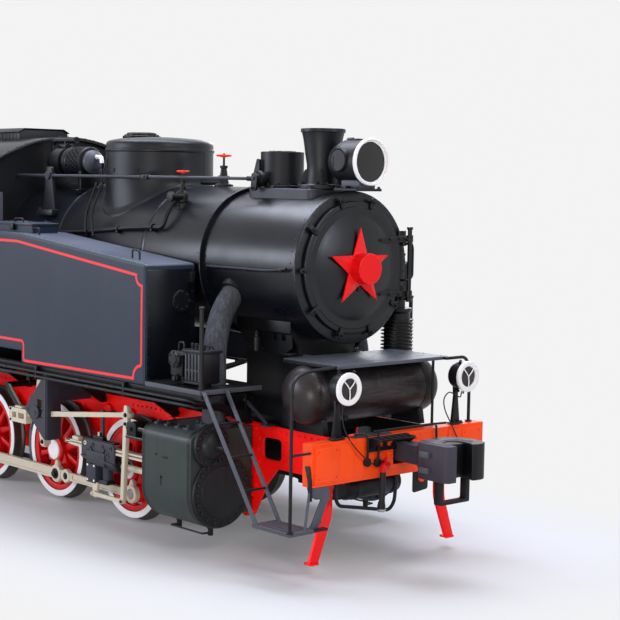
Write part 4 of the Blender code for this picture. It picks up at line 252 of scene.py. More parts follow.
# Blue-grey enamel on the crosshead, the valve gear's brackets and small plates: half matt
grey_bracket = coated("blue_grey_bracket_enamel", "33343c", 0.42, mottle=0.4, lighter=1.3, top_dust_and_sheen=0.15,
    dust_and_sheen_tone="7c7e86", patch_mm=140)
# Cast steel of the couplers, brushed with thin grey paint
cast_steel = coated("thinly_painted_cast_steel", "35323a", 0.5, mottle=0.6, lighter=1.35, top_dust_and_sheen=0.25,
    grain_mm=7, dust_and_sheen_tone="8a878c", grain_depth=0.002)
# Machined steel of pins and gauge fittings: fine, bright and faintly streaked
bright_steel = coated("machined_steel", "a6a8ad", 0.3, metallic=1.0, mottle=0.3, lighter=1.1, top_dust_and_sheen=0.0,
    ior=1.5, grain_mm=4)
# Orange-red enamel of the handwheels, the one bright spot on the boiler
handwheel_red = coated("handwheel_red_enamel", "ff3a14", 0.4, mottle=0.2, lighter=1.1, top_dust_and_sheen=0.05)
# Canvas lagging of the steam pipes: coarse plastered cloth, mottled grey
pipe_canvas = coated("plastered_pipe_lagging", "3a3c41", 0.7, mottle=1.0, lighter=2.2, patch_mm=34,
    streak_mm=30, grain_mm=11, grain_depth=0.006, top_dust_and_sheen=0.2)
# Rubber of the hose and cables: matt, with a little dust on top
hose_rubber = coated("black_rubber", "101012", 0.62, mottle=0.3, grain_mm=3, top_dust_and_sheen=0.15, ior=1.5)


def glass(name, colour, rough, transmission):
    """Glass with a thin film that smears its shine."""
    material, tree, shader, place = new_material(name)
    smear = ramp(tree, noise(tree, place, 90, 4.0), 0.4, 0.7, rough, rough + 0.12)
    tree.links.new(smear, shader.inputs["Roughness"])
    shader.inputs["Base Color"].default_value = linear(colour)
    shader.inputs["Transmission Weight"].default_value = transmission
    shader.inputs["IOR"].default_value = 1.52
    return material


# Clear gauge glass, lamp glass made almost black as painted shade of the lamp's unlit inside, and the cab's
# dull panes
gauge_glass = glass("gauge_glass", "f4f8fa", 0.02, 1.0)
dark_lens = glass("lamp_glass_painted_shade", "050608", 0.04, 0.2)
window_glass = glass("window_glass", "9fb0b4", 0.04, 0.85)
# Bowl behind the lamp glass, metal made almost black: painted shade of the lamp's unlit inside
lamp_bowl = coated("lamp_bowl_painted_shade", "07080a", 0.24, metallic=1.0, mottle=0.8, lighter=1.6, top_dust_and_sheen=0.0,
    patch_mm=90)
# Cream enamel of the gauge dials, and the dull yellow brass of cocks and bushes
dial_face = coated("dial_enamel", "e8e4d8", 0.35, mottle=0.1, top_dust_and_sheen=0.0)
brass = coated("dull_brass", "b08a3c", 0.34, metallic=1.0, mottle=0.5, top_dust_and_sheen=0.0)


# Two directions across each axis, and the axis itself
along_x, along_y, along_z = Vector((1, 0, 0)), Vector((0, 1, 0)), Vector((0, 0, 1))
turning_ways = {
    "X": (along_y, along_z, along_x),
    "Y": (along_z, along_x, along_y),
    "Z": (along_x, along_y, along_z),
}


class Piece:
    """Closed shells gathered into one piece, with a material for each shell."""

    def __init__(self, side=1):
        self.bm = bmesh.new()
        self.side = side
        self.materials = []
        self.paint = black_casting

    def keep(self, start):
        """Gives the faces made since start the paint in hand."""
        if self.paint not in self.materials:
            self.materials.append(self.paint)
        index = self.materials.index(self.paint)
        self.bm.faces.ensure_lookup_table()
        for face in self.bm.faces[start:]:
            face.material_index = index

    def turn(self, profile, centre, axis="X", steps=64, closed=False):
        """Profile of (along, radius) pairs turned about an axis through the centre."""
        bm, start = self.bm, len(self.bm.faces)
        u, v, w = turning_ways[axis]
        middle = Vector(centre)
        rings = []
        for along, radius in profile:
            if radius < 1e-6:
                rings.append([bm.verts.new(spot(*(middle + w * along)))] * steps)
                continue
            ring = []
            for i in range(steps):
                t = tau * i / steps
                ring.append(bm.verts.new(spot(*(middle + w * along + (u * cos(t) + v * sin(t)) * radius))))
            rings.append(ring)
        if not closed:
            for ring in (rings[0], rings[-1]):
                if ring[0] is not ring[1]:
                    bm.faces.new(ring)
        pairs = list(zip(rings, rings[1:] + rings[:1])) if closed else list(zip(rings, rings[1:]))
        for a, b in pairs:
            for i in range(steps):
                j = (i + 1) % steps
                corners = []
                for vert in (a[i], a[j], b[j], b[i]):
                    if vert not in corners:
                        corners.append(vert)
                if len(corners) > 2:
                    bm.faces.new(corners)
        self.keep(start)

    def ring(self, span, radii, centre, axis, steps):
        """Plain ring between two places along its axis and two radii, or a disc where the inner one is 0."""
        (a, b), (inner, outer) = span, radii
        profile = [(a, inner), (a, outer), (b, outer), (b, inner)]
        self.turn(profile, centre, axis, steps, closed=inner > 0)

    def loft(self, rings):
        """Closed rings of points joined one to the next, with flat ends."""
        start = len(self.bm.faces)
        loops = [[self.bm.verts.new(spot(*p)) for p in ring] for ring in rings]
        self.bm.faces.new(loops[0])
        self.bm.faces.new(loops[-1])
        for a, b in zip(loops, loops[1:]):
            for i in range(len(a)):
                j = (i + 1) % len(a)
                self.bm.faces.new((a[i], a[j], b[j], b[i]))
        self.keep(start)

    def slab(self, outline, plane, span, holes=(), bevel=0.0, segments=2):
        """Flat outline, with holes, given thickness across its plane."""
        bm, start = self.bm, len(self.bm.faces)
        place = {
            "xz": lambda u, v, w: spot(u, w, v),
            "yz": lambda u, v, w: spot(w, u, v),
            "xy": lambda u, v, w: spot(u, v, w),
        }[plane]
        loops = [list(outline), *map(list, holes)]
        tops = [[bm.verts.new(place(u, v, span[1])) for u, v in loop] for loop in loops]
        lows = [[bm.verts.new(place(u, v, span[0])) for u, v in loop] for loop in loops]
        made = []
        if holes:
            flat_top = [vert for loop in tops for vert in loop]
            flat_low = [vert for loop in lows for vert in loop]
            for tri in tessellate_polygon([[Vector((u, v, 0)) for u, v in loop] for loop in loops]):
                made.append(bm.faces.new([flat_top[i] for i in tri]))
                made.append(bm.faces.new([flat_low[i] for i in reversed(tri)]))
        else:
            made.append(bm.faces.new(tops[0]))
            made.append(bm.faces.new(lows[0][::-1]))
        for top, low in zip(tops, lows):
            for i in range(len(top)):
                j = (i + 1) % len(top)
                made.append(bm.faces.new((top[i], low[i], low[j], top[j])))
        if bevel:
            bmesh.ops.recalc_face_normals(bm, faces=made)
            # Each edge once, in the order of its faces
            edges = dict.fromkeys(e for f in made for e in f.edges if e.calc_face_angle(0) > 0.5)
            bmesh.ops.bevel(bm, geom=list(edges), offset=bevel, segments=segments, profile=0.5,
                affect="EDGES", clamp_overlap=True)
        self.keep(start)

    def box(self, xs, ys, zs, bevel=0.004):
        """Block between the spans, with eased edges."""
        outline = [(min(xs), min(ys)), (max(xs), min(ys)), (max(xs), max(ys)), (min(xs), max(ys))]
        size = min(max(v) - min(v) for v in (xs, ys, zs))
        self.slab(outline, "xy", (min(zs), max(zs)), (), min(bevel, size * 0.3))

    def bar(self, a, b, radius, end_radius=None, steps=16):
        """Round bar, or cone, from one point to another."""
        self.sweep([a, b], [radius, radius if end_radius is None else end_radius], steps)

    def tube(self, points, radius, steps=12, closed=False):
        """Round section of one size along the points."""
        self.sweep(points, [radius] * len(points), steps, closed)

    def sweep(self, points, radii, steps=12, closed=False):
        """Round section carried along the points without twist."""
        bm, start = self.bm, len(self.bm.faces)
        path = [spot(*p) for p in points]
        count = len(path)
        side = None
        rings = []
        for i, point in enumerate(path):
            before = path[i - 1] if i or closed else path[0]
            after = path[(i + 1) % count] if i < count - 1 or closed else path[-1]
            along = (after - before).normalized()
            if side is None:
                side = along.orthogonal().normalized()
            side = (side - along * side.dot(along)).normalized()
            other = along.cross(side)
            rings.append([bm.verts.new(point + (side * cos(tau * k / steps)
                + other * sin(tau * k / steps)) * radii[i]) for k in range(steps)])
        if not closed:
            bm.faces.new(rings[0][::-1])
            bm.faces.new(rings[-1])
        for a, b in zip(rings, rings[1:] + (rings[:1] if closed else [])):
            for k in range(steps):
                m = (k + 1) % steps
                bm.faces.new((a[k], a[m], b[m], b[k]))
        self.keep(start)

    def bolt(self, place, axis, size=0.028, height=0.018):
        """Hexagon head on its washer."""
        place, axis = Vector(place), Vector(axis).normalized()
        self.bar(place, place + axis * height * 0.2, size * 0.68, steps=12)
        self.sweep([place, place + axis * height * 0.85, place + axis * height],
            [size / 2, size / 2, size * 0.4], 6)

    def rivet(self, place, axis, size=0.022):
        """Low round head."""
        place, axis = Vector(place), Vector(axis).normalized()
        self.sweep([place, place + axis * size * 0.22, place + axis * size * 0.38],
            [size / 2, size * 0.4, size * 0.16], 8)

    def circle_of_bolts(self, centre, axis, radius, count, size=0.028, height=0.018, start=0.0):
        """Even ring of bolts about an axis, which a minus turns the other way."""
        u, v, w = turning_ways[axis[-1]]
        w = -w if axis[0] == "-" else w
        for i in range(count):
            t = radians(start) + tau * i / count
            self.bolt(Vector(centre) + (u * cos(t) + v * sin(t)) * radius, w, size, height)

    def done(self, name, body="locomotive", replaces=(), angle=32):
        """Turns the shells into an object that rides on its body."""
        bm = self.bm
        if self.side < 0:
            for vert in bm.verts:
                vert.co.y = -vert.co.y
        bmesh.ops.recalc_face_normals(bm, faces=bm.faces)
        mesh = bpy.data.meshes.new(name)
        bm.to_mesh(mesh)
        bm.free()
        for material in self.materials:
            mesh.materials.append(material)
        mesh.shade_smooth()
        mesh.set_sharp_from_angle(angle=radians(angle))
        obj = bpy.data.objects.new(name, mesh)
        bpy.context.scene.collection.objects.link(obj)
        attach(obj, body)
        if replaces:
            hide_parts(*replaces)
        return obj


def eased(points, radius, steps=6):
    """Path through the points with each inner corner rounded."""
    path = [Vector(points[0])]
    for before, corner, after in zip(points, points[1:], points[2:]):
        corner = Vector(corner)
        back, onward = Vector(before) - corner, Vector(after) - corner
        reach = min(radius, back.length / 2, onward.length / 2)
        a, b = corner + back.normalized() * reach, corner + onward.normalized() * reach
        for i in range(steps + 1):
            t = i / steps
            path.append(a * (1 - t) ** 2 + corner * 2 * t * (1 - t) + b * t ** 2)
    path.append(Vector(points[-1]))
    return path


def rounded(outline, radius, steps=6):
    """Closed flat outline with its corners rounded."""
    radii = radius if isinstance(radius, (list, tuple)) else [radius] * len(outline)
    ring = []
    for i, corner in enumerate(outline):
        corner = Vector(corner)
        back = Vector(outline[i - 1]) - corner
        onward = Vector(outline[(i + 1) % len(outline)]) - corner
        reach = min(radii[i], back.length / 2, onward.length / 2)
        if reach <= 0:
            ring.append(tuple(corner))
            continue
        a, b = corner + back.normalized() * reach, corner + onward.normalized() * reach
        for j in range(steps + 1):
            t = j / steps
            ring.append(tuple(a * (1 - t) ** 2 + corner * 2 * t * (1 - t) + b * t ** 2))
    return ring


def rectangle(us, vs):
    """Corners of a flat rectangle."""
    return [(us[0], vs[0]), (us[1], vs[0]), (us[1], vs[1]), (us[0], vs[1])]


def plate(us, vs, radius, steps=6):
    """Rectangle with rounded corners."""
    return rounded(rectangle(us, vs), radius, steps)


def arc(centre, radius, degrees):
    """Points of a circle at the angles named."""
    return [(centre[0] + radius * cos(radians(a)), centre[1] + radius * sin(radians(a))) for a in degrees]


def round_x(turn):
    """Unit vector at an angle round a line that runs along the engine."""
    return Vector((0, cos(turn), sin(turn)))


def round_z(turn):
    """Unit vector at an angle round an upright line."""
    return Vector((cos(turn), sin(turn), 0))


def on_side(side, near, far):
    """Span between two distances from the middle, its low end first."""
    return sorted((side * near, side * far))


def both_sides(*builders):
    """Builds the right side's pieces and then the left side's."""
    for word, side in sides.items():
        for build in builders:
            build(side, word)


def off_face(face, outward, near, far):
    """Span between two distances out from a beam's face, its low end first."""
    return sorted((face + outward * near, face + outward * far))


def smooth_path(route, count):
    """Points of one smooth curve through the route's own points, evenly taken."""
    ends = [2 * Vector(route[0]) - Vector(route[1]), *map(Vector, route),
        2 * Vector(route[-1]) - Vector(route[-2])]
    path = []
    for i in range(count + 1):
        along = (len(route) - 1) * i / count
        k = min(int(along), len(route) - 2)
        t = along - k
        a, b, c, d = ends[k:k + 4]
        path.append(0.5 * (2 * b + (c - a) * t + (2 * a - 5 * b + 4 * c - d) * t ** 2
            + (3 * b - a - 3 * c + d) * t ** 3))
    return path


def handwheel(piece, centre, axis, radius, rim, spokes, tilt=0.0):
    """Round rim on bent spokes about a small hub."""
    piece.paint = handwheel_red
    centre, axis = Vector(centre), Vector(axis).normalized()
    u = axis.orthogonal().normalized()
    v = axis.cross(u)
    turns = [tau * i / 36 for i in range(36)]
    piece.tube([centre + (u * cos(t) + v * sin(t)) * radius for t in turns], rim, 10, closed=True)
    for i in range(spokes):
        t = tau * i / spokes + tilt
        way = u * cos(t) + v * sin(t)
        piece.sweep([centre - axis * rim, centre + way * radius * 0.5 - axis * rim * 0.8,
            centre + way * (radius - rim * 0.4)], [rim * 0.8, rim * 0.65, rim * 0.6], 8)
    piece.bar(centre - axis * rim * 2.2, centre + axis * rim, rim * 1.7, steps=16)
    piece.paint = black_casting
    piece.bolt(centre + axis * rim, axis, rim * 2.2, rim * 1.2)


def cord(name, route, radius, count, steps):
    """Cord on the route of its solid."""
    path = smooth_path(route, count)
    piece = Piece()
    piece.paint = hose_rubber
    piece.tube(path, radius, steps)
    obj = piece.done(name, replaces=(name.replace("rubber_", ""),))


# The brake hose and the two lamp cables lie on the routes of their solids
hose_route = ((3.145, -0.295, 0.9), (3.145, -0.295, 0.8), (3.143, -0.297, 0.68), (3.138, -0.3, 0.56))
right_cable_route = ((3.108, -0.775, 1.549), (3.112, -0.782, 1.44), (3.118, -0.755, 1.32),
    (3.122, -0.68, 1.21), (3.122, -0.58, 1.11), (3.12, -0.48, 1.03), (3.117, -0.39, 0.975),
    (3.108, -0.34, 0.95), (3.0985, -0.335, 0.947), (3.0875, -0.335, 0.947))
left_cable_route = ((3.108, 0.775, 1.549), (3.125, 0.74, 1.5), (3.135, 0.66, 1.53), (3.135, 0.57, 1.56),
    (3.13, 0.51, 1.5), (3.125, 0.53, 1.4), (3.122, 0.6, 1.29), (3.12, 0.68, 1.17), (3.128, 0.72, 1.085),
    (3.118, 0.73, 1.055), (3.1003, 0.73, 1.055))

end_fitting = Piece()
end_fitting.turn([(0.0, 0.031), (0.0, 0.037), (0.05, 0.037), (0.055, 0.033), (0.075, 0.033), (0.078, 0.03)],
    (3.1388, -0.2995, 0.547), "Z", 32, closed=True)
end_fitting.paint = bright_steel
end_fitting.turn([(-0.012, 0.01), (-0.012, 0.034), (0.001, 0.04), (0.012, 0.04), (0.012, 0.012)],
    (3.1388, -0.2995, 0.547), "Z", 32, closed=True)
hose_end = end_fitting.done("brake_hose_end_fitting")
cord("rubber_brake_hose", hose_route, 0.028, 12, 28)
cord("rubber_lamp_cable_right", right_cable_route, 0.006, 27, 12)
cord("rubber_lamp_cable_left", left_cable_route, 0.006, 30, 12)


def boiler():
    """Barrel in its cladding, with the joint bands and the firebox below."""
    r, z = cladding_radius, boiler_height
    piece = Piece()
    piece.paint = black_enamel
    piece.turn([(-2.9, 0), (-2.9, r - 0.03), (-2.89, r - 0.01), (-2.87, r), (0.928, r), (0.93, r + 0.006),
        (0.98, r + 0.006), (0.985, r + 0.002), (0.985, 0)], (0, 0, z), "X", 128)
    for x in (-1.64, -0.02):
        piece.turn([(x, r - 0.004), (x, r + 0.002), (x + 0.002, r + 0.003), (x + 0.053, r + 0.003),
            (x + 0.055, r + 0.002), (x + 0.055, r - 0.004)], (0, 0, z), "X", 128, closed=True)
    piece.paint = black_casting
    for x in (-1.6125, 0.0075, 0.955):
        for i in range(24):
            out = round_x(radians(7.5 + 15 * i))
            piece.rivet(Vector((x, 0, z)) + out * (r + (0.006 if x > 0.5 else 0.003)), out, 0.014)
    piece.paint = warm_black
    piece.box((-2.59, -1.62), (-0.52, 0.52), (0.82, z - 0.2), 0.03)
    piece.box((-2.48, -1.7), (-0.47, 0.47), (0.62, 0.84), 0.02)
    for side in (-1, 1):
        for i in range(7):
            for k in range(5):
                piece.rivet((-2.52 + 0.14 * i, side * 0.52, 1.42 + 0.19 * k), (0, side, 0), 0.026)
    piece.done("clad_boiler_barrel", replaces=("boiler",))


boiler()


def backhead():
    """Back of the boiler in the cab: firehole doors, gauges, cocks and the throttle lever."""
    z = boiler_height
    piece = Piece()
    piece.paint = warm_black
    face = -2.9
    piece.turn([(0, 0), (-0.028, 0), (-0.028, 0.6), (-0.02, 0.64), (0, 0.65)], (face, 0, z), "X", 96)
    piece.circle_of_bolts((face - 0.028, 0, z), "-X", 0.6, 28, 0.034)
    piece.paint = black_casting
    piece.slab(plate((-0.24, 0.24), (z - 0.46, z - 0.12), 0.05), "yz",
        (face - 0.06, face - 0.02), bevel=0.004)
    for side in (-1, 1):
        piece.slab(plate((side * 0.005, side * 0.19), (z - 0.43, z - 0.15), 0.04), "yz",
            (face - 0.085, face - 0.058), bevel=0.004)
        piece.bar((face - 0.1, side * 0.205, z - 0.45), (face - 0.1, side * 0.205, z - 0.13), 0.012)
        piece.bar((face - 0.085, side * 0.03, z - 0.28), (face - 0.14, side * 0.03, z - 0.28), 0.008)
        piece.bar((face - 0.14, side * 0.03, z - 0.33), (face - 0.14, side * 0.03, z - 0.23), 0.01)
    piece.paint = bright_steel
    piece.bar((face, 0.02, z + 0.17), (face - 0.14, 0.02, z + 0.17), 0.024)
    piece.bar((face - 0.12, 0.02, z + 0.17), (face - 0.12, -0.4, z + 0.36), 0.014, 0.011)
    piece.paint = handwheel_red
    piece.bar((face - 0.12, -0.4, z + 0.36), (face - 0.12, -0.47, z + 0.392), 0.017)
    for side in (-1, 1):
        y = side * 0.36
        piece.paint = brass
        for dz in (-0.06, 0.24):
            piece.bar((face, y, z + dz), (face - 0.11, y, z + dz), 0.018)
            piece.ring((-0.03, 0.03), (0, 0.022), (face - 0.11, y, z + dz), "Z", 16)
        piece.paint = gauge_glass
        piece.bar((face - 0.11, y, z - 0.03), (face - 0.11, y, z + 0.21), 0.01)
    for y, up, size in ((-0.22, 0.52, 0.085), (0.0, 0.55, 0.1), (0.22, 0.52, 0.085)):
        piece.paint = brass
        piece.turn([(0, 0), (0, size), (-0.035, size), (-0.042, size - 0.006), (-0.042, size - 0.012),
            (-0.034, size - 0.012), (-0.034, 0)], (face - 0.05, y, z + up), "X", 40)
        piece.paint = dial_face
        piece.ring((-0.034, -0.0355), (0, size - 0.0125), (face - 0.05, y, z + up), "X", 40)
        piece.paint = black_casting
        for i in range(9):
            d = round_x(radians(-40 + 32.5 * i))
            mark = Vector((face - 0.087, y, z + up))
            piece.bar(mark + d * size * 0.62, mark + d * size * 0.76, 0.0022, steps=6)
        d, hub = Vector((0, -0.6, 0.8)), Vector((face - 0.088, y, z + up))
        piece.bar(hub - d * size * 0.15, hub + d * size * 0.6, 0.003, 0.001, 8)
        piece.bar((face, y, z + up), (face - 0.05, y, z + up), 0.012)
    for y, up in ((-0.5, 0.1), (0.5, 0.1), (-0.52, -0.22), (0.52, -0.22)):
        handwheel(piece, (face - 0.16, y, z + up), (-1, 0, 0), 0.055, 0.008, 5)
        piece.paint = brass
        piece.bar((face, y, z + up), (face - 0.15, y, z + up), 0.018, 0.013)
    piece.done("boiler_backhead_fittings")


backhead()


def smokebox():
    """Smokebox: drum, front ring, saddle on the frame, and what the open door shows inside."""
    z, r = boiler_height, smokebox_radius
    back, front = 0.9853, smokebox_front
    inside, mouth = r - 0.03, 0.58
    piece = Piece()
    piece.paint = black_enamel
    piece.turn([(back, 0), (back, r), (front - 0.052, r), (front - 0.05, r + 0.002),
        (front - 0.05, r + 0.016), (front - 0.047, r + 0.018), (front - 0.008, r + 0.018),
        (front - 0.002, r + 0.014), (front, r + 0.006), (front, mouth + 0.004), (front - 0.004, mouth),
        (front - 0.04, mouth), (front - 0.04, inside), (1.1, inside), (1.1, 0)], (0, 0, z), "X", 128)
    piece.paint = black_casting
    for x, count in ((1.03, 36), (2.3, 40)):
        for i in range(count):
            out = round_x(tau * (i + 0.5) / count)
            if not (x > 2 and out.z > 0.97):
                piece.rivet(Vector((x, 0, z)) + out * r, out, 0.017)
    for i in range(44):
        out = round_x(tau * (i + 0.5) / 44)
        piece.rivet(Vector((front, 0, z)) + out * 0.698, (1, 0, 0), 0.015)
    piece.paint = warm_black
    tubes = [(0.085 * (i + 0.5 * (k % 2)), 0.0736 * k) for i in range(-6, 7) for k in range(-6, 5)]
    for y, up in tubes:
        if hypot(y, up - 0.05) < 0.52:
            piece.turn([(1.1, 0.014), (1.1, 0.03), (1.106, 0.032), (1.116, 0.03), (1.116, 0.022),
                (1.102, 0.02), (1.102, 0.0)], (0, y, z + up), "X", 12)
    piece.turn([(z - 0.7, 0), (z - 0.7, 0.16), (z - 0.6, 0.12), (z - 0.12, 0.085), (z - 0.1, 0.09),
        (z - 0.1, 0.06), (z - 0.2, 0.055), (z - 0.2, 0)], (1.94, 0, 0), "Z", 32)
    piece.turn([(z + 0.12, 0.17), (z + 0.12, 0.18), (z + 0.2, 0.13), (z + 0.66, 0.12), (z + 0.66, 0.11),
        (z + 0.2, 0.12)], (1.94, 0, 0), "Z", 32, closed=True)
    piece.paint = black_casting
    neck, half = 0.3456, 0.48
    shelf = [(y, z - sqrt(r * r - y * y) + 0.008) for y in (half - 2 * half * i / 24 for i in range(25))]
    legs = rounded([(-half, 1.2045), (half, 1.2045), (half, 1.262), (neck, 1.4), (neck, z - r - 0.1),
        (half, z - r + 0.09)], [0, 0, 0.02, 0.08, 0.08, 0.02])
    legs += shelf + rounded([(-half, z - r + 0.09), (-neck, z - r - 0.1), (-neck, 1.4), (-half, 1.262),
        (-half, 1.2045)], [0.02, 0.08, 0.08, 0.02, 0])[:-1]
    piece.slab(legs, "yz", (1.25, 2.05), bevel=0.006)
    for side in (-1, 1):
        for i in range(7):
            piece.bolt((1.33 + 0.107 * i, side * 0.44, 1.262), (0, 0, 1), 0.032, 0.022)
        for i in range(6):
            out = Vector((0, side * 0.62, -0.785))
            piece.bolt(Vector((1.32 + 0.13 * i, 0, z)) + out.normalized() * r, out, 0.03, 0.016)
    piece.done("smokebox_drum_and_saddle", replaces=("smokebox",))


smokebox()


def smokebox_door():
    """Dished door with its flange, hinge straps, post and the clamps round its edge."""
    z, start = boiler_height, smokebox_front + 0.005
    piece = Piece()
    piece.paint = black_enamel
    profile = [(0, 0), (0, 0.628), (0.004, 0.632), (0.028, 0.632), (0.034, 0.628), (0.036, 0.62),
        (0.036, 0.583), (0.04, 0.578), (0.04, 0.574), (0.036, 0.52), (0.036, 0.5), (0.04, 0.49)]
    for i in range(1, 13):
        radius = 0.486 * (1 - i / 12)
        profile.append((0.041 + 0.056 * (1 - (radius / 0.486) ** 2), radius))
    piece.turn(profile, (start, 0, z), "X", 128)
    piece.paint = black_casting
    x, y = 2.45, 0.7
    for up, slope in ((0.27, 0.062), (-0.27, -0.09)):
        outline = [(y, z + up - 0.032), (y, z + up + 0.032), (0.4, z + up + 0.026 - slope * 0.2),
            (0.12, z + up + 0.018 - slope * 0.4), (0.1, z + up - slope * 0.4),
            (0.12, z + up - 0.018 - slope * 0.4), (0.4, z + up - 0.026 - slope * 0.2)]
        piece.slab(outline, "yz", (2.41, 2.444), bevel=0.003)
        piece.bar((x, y, z + up - 0.034), (x, y, z + up + 0.034), 0.033, steps=24)
        for i in range(3):
            piece.bolt((2.444, 0.57 - 0.13 * i, z + up - slope * 0.05 * i), (1, 0, 0), 0.026, 0.016)
    piece.bar((x, y, z - 0.33), (x, y, z + 0.37), 0.0215, steps=20)
    for dz in (-0.335, 0.37):
        piece.bar((x, y, z + dz - 0.012), (x, y, z + dz + 0.012), 0.03, steps=16)
    for degrees in (71, 107, 146, 181, 217, 254, 289, 325):
        out = round_x(radians(degrees))
        across = Vector((0, -out.z, out.y))
        foot = Vector((start + 0.004, 0, z))
        hub = foot + out * 0.655
        ring = []
        for u, v in rounded([(0.585, -0.022), (0.672, -0.028), (0.695, -0.018), (0.695, 0.018),
                (0.672, 0.028), (0.585, 0.022)], 0.012, 3):
            p = foot + out * u + across * v
            ring.append((p.y, p.z))
        piece.slab(ring, "yz", (start + 0.037, start + 0.055), bevel=0.003)
        piece.bar(hub, hub + along_x * 0.034, 0.014, steps=12)
        piece.bolt(hub + along_x * 0.049, (1, 0, 0), 0.034, 0.024)
        piece.bar(hub + along_x * 0.06, hub + along_x * 0.082, 0.01, steps=10)
    piece.done("dished_smokebox_door", "smokebox_door", replaces=("smokebox_door",))


smokebox_door()


def door_star():
    """Red star: ten bright facets that meet in ridges, and the plain hub in front of them."""
    z, back = boiler_height, 2.4803
    piece = Piece()
    piece.paint = star_enamel
    bm = piece.bm
    start = len(bm.faces)
    points = []
    for i in range(10):
        radius = 0.385 if i % 2 == 0 else 0.154
        turn = radians(90 + 36 * i)
        points.append((radius * cos(turn), radius * sin(turn)))
    rings = []
    for depth, share in ((0.0, 1.0), (0.01, 1.0), (0.013, 0.992)):
        rings.append([bm.verts.new(spot(back + depth, y * share, z + v * share)) for y, v in points])
    peak = bm.verts.new(spot(back + 0.067, 0, z))
    bm.faces.new(rings[0])
    for a, b in zip(rings, rings[1:]):
        for i in range(10):
            j = (i + 1) % 10
            bm.faces.new((a[i], a[j], b[j], b[i]))
    for i in range(10):
        bm.faces.new((rings[-1][i], rings[-1][(i + 1) % 10], peak))
    piece.keep(start)
    piece.turn([(0.01, 0), (0.01, 0.147), (0.147, 0.147), (0.151, 0.145), (0.1545, 0.139), (0.1547, 0)],
        (back, 0, z), "X", 96)
    piece.paint = black_casting
    piece.bar((2.47, 0, z - 0.2), (back + 0.002, 0, z - 0.2), 0.02)
    piece.done("five_pointed_star", "smokebox_door", ("door_star",), angle=20)


door_star()


def chimney():
    """Chimney: flared cap, tapered stack, foot flange with gussets."""
    foot = 3.4503
    piece = Piece()
    piece.paint = warm_black
    profile = [(foot, 0.12), (foot, 0.238), (foot + 0.006, 0.242), (foot + 0.034, 0.242),
        (foot + 0.04, 0.236), (foot + 0.04, 0.175), (foot + 0.05, 0.163), (3.6, 0.152), (3.68, 0.153),
        (3.78, 0.17), (3.86, 0.181), (3.93, 0.192), (3.975, 0.202), (3.99, 0.206), (3.992, 0.214),
        (3.996, 0.217), (4.024, 0.217), (4.029, 0.213), (4.03, 0.207), (4.03, 0.195), (4.022, 0.188),
        (3.9, 0.165), (3.63, 0.12)]
    piece.turn(profile, (1.94, 0, 0), "Z", 96, closed=True)
    base = Vector((1.94, 0, 0))
    for degrees in (45, 135, 225, 315):
        way = round_z(radians(degrees))
        across = Vector((-way.y, way.x, 0))
        outline = [(0.13, foot + 0.02), (0.232, foot + 0.02), (0.232, foot + 0.055), (0.172, 3.63),
            (0.14, 3.65)]
        rings = []
        for side in (-1, 1):
            rings.append([base + way * u + across * side * 0.01 + Vector((0, 0, v)) for u, v in outline])
            piece.bolt(base + (way * 0.205 - across * side * 0.05) + Vector((0, 0, foot + 0.04)), (0, 0, 1),
                0.034, 0.024)
        piece.loft(rings)
    piece.done("flared_chimney", replaces=("chimney",), angle=28)


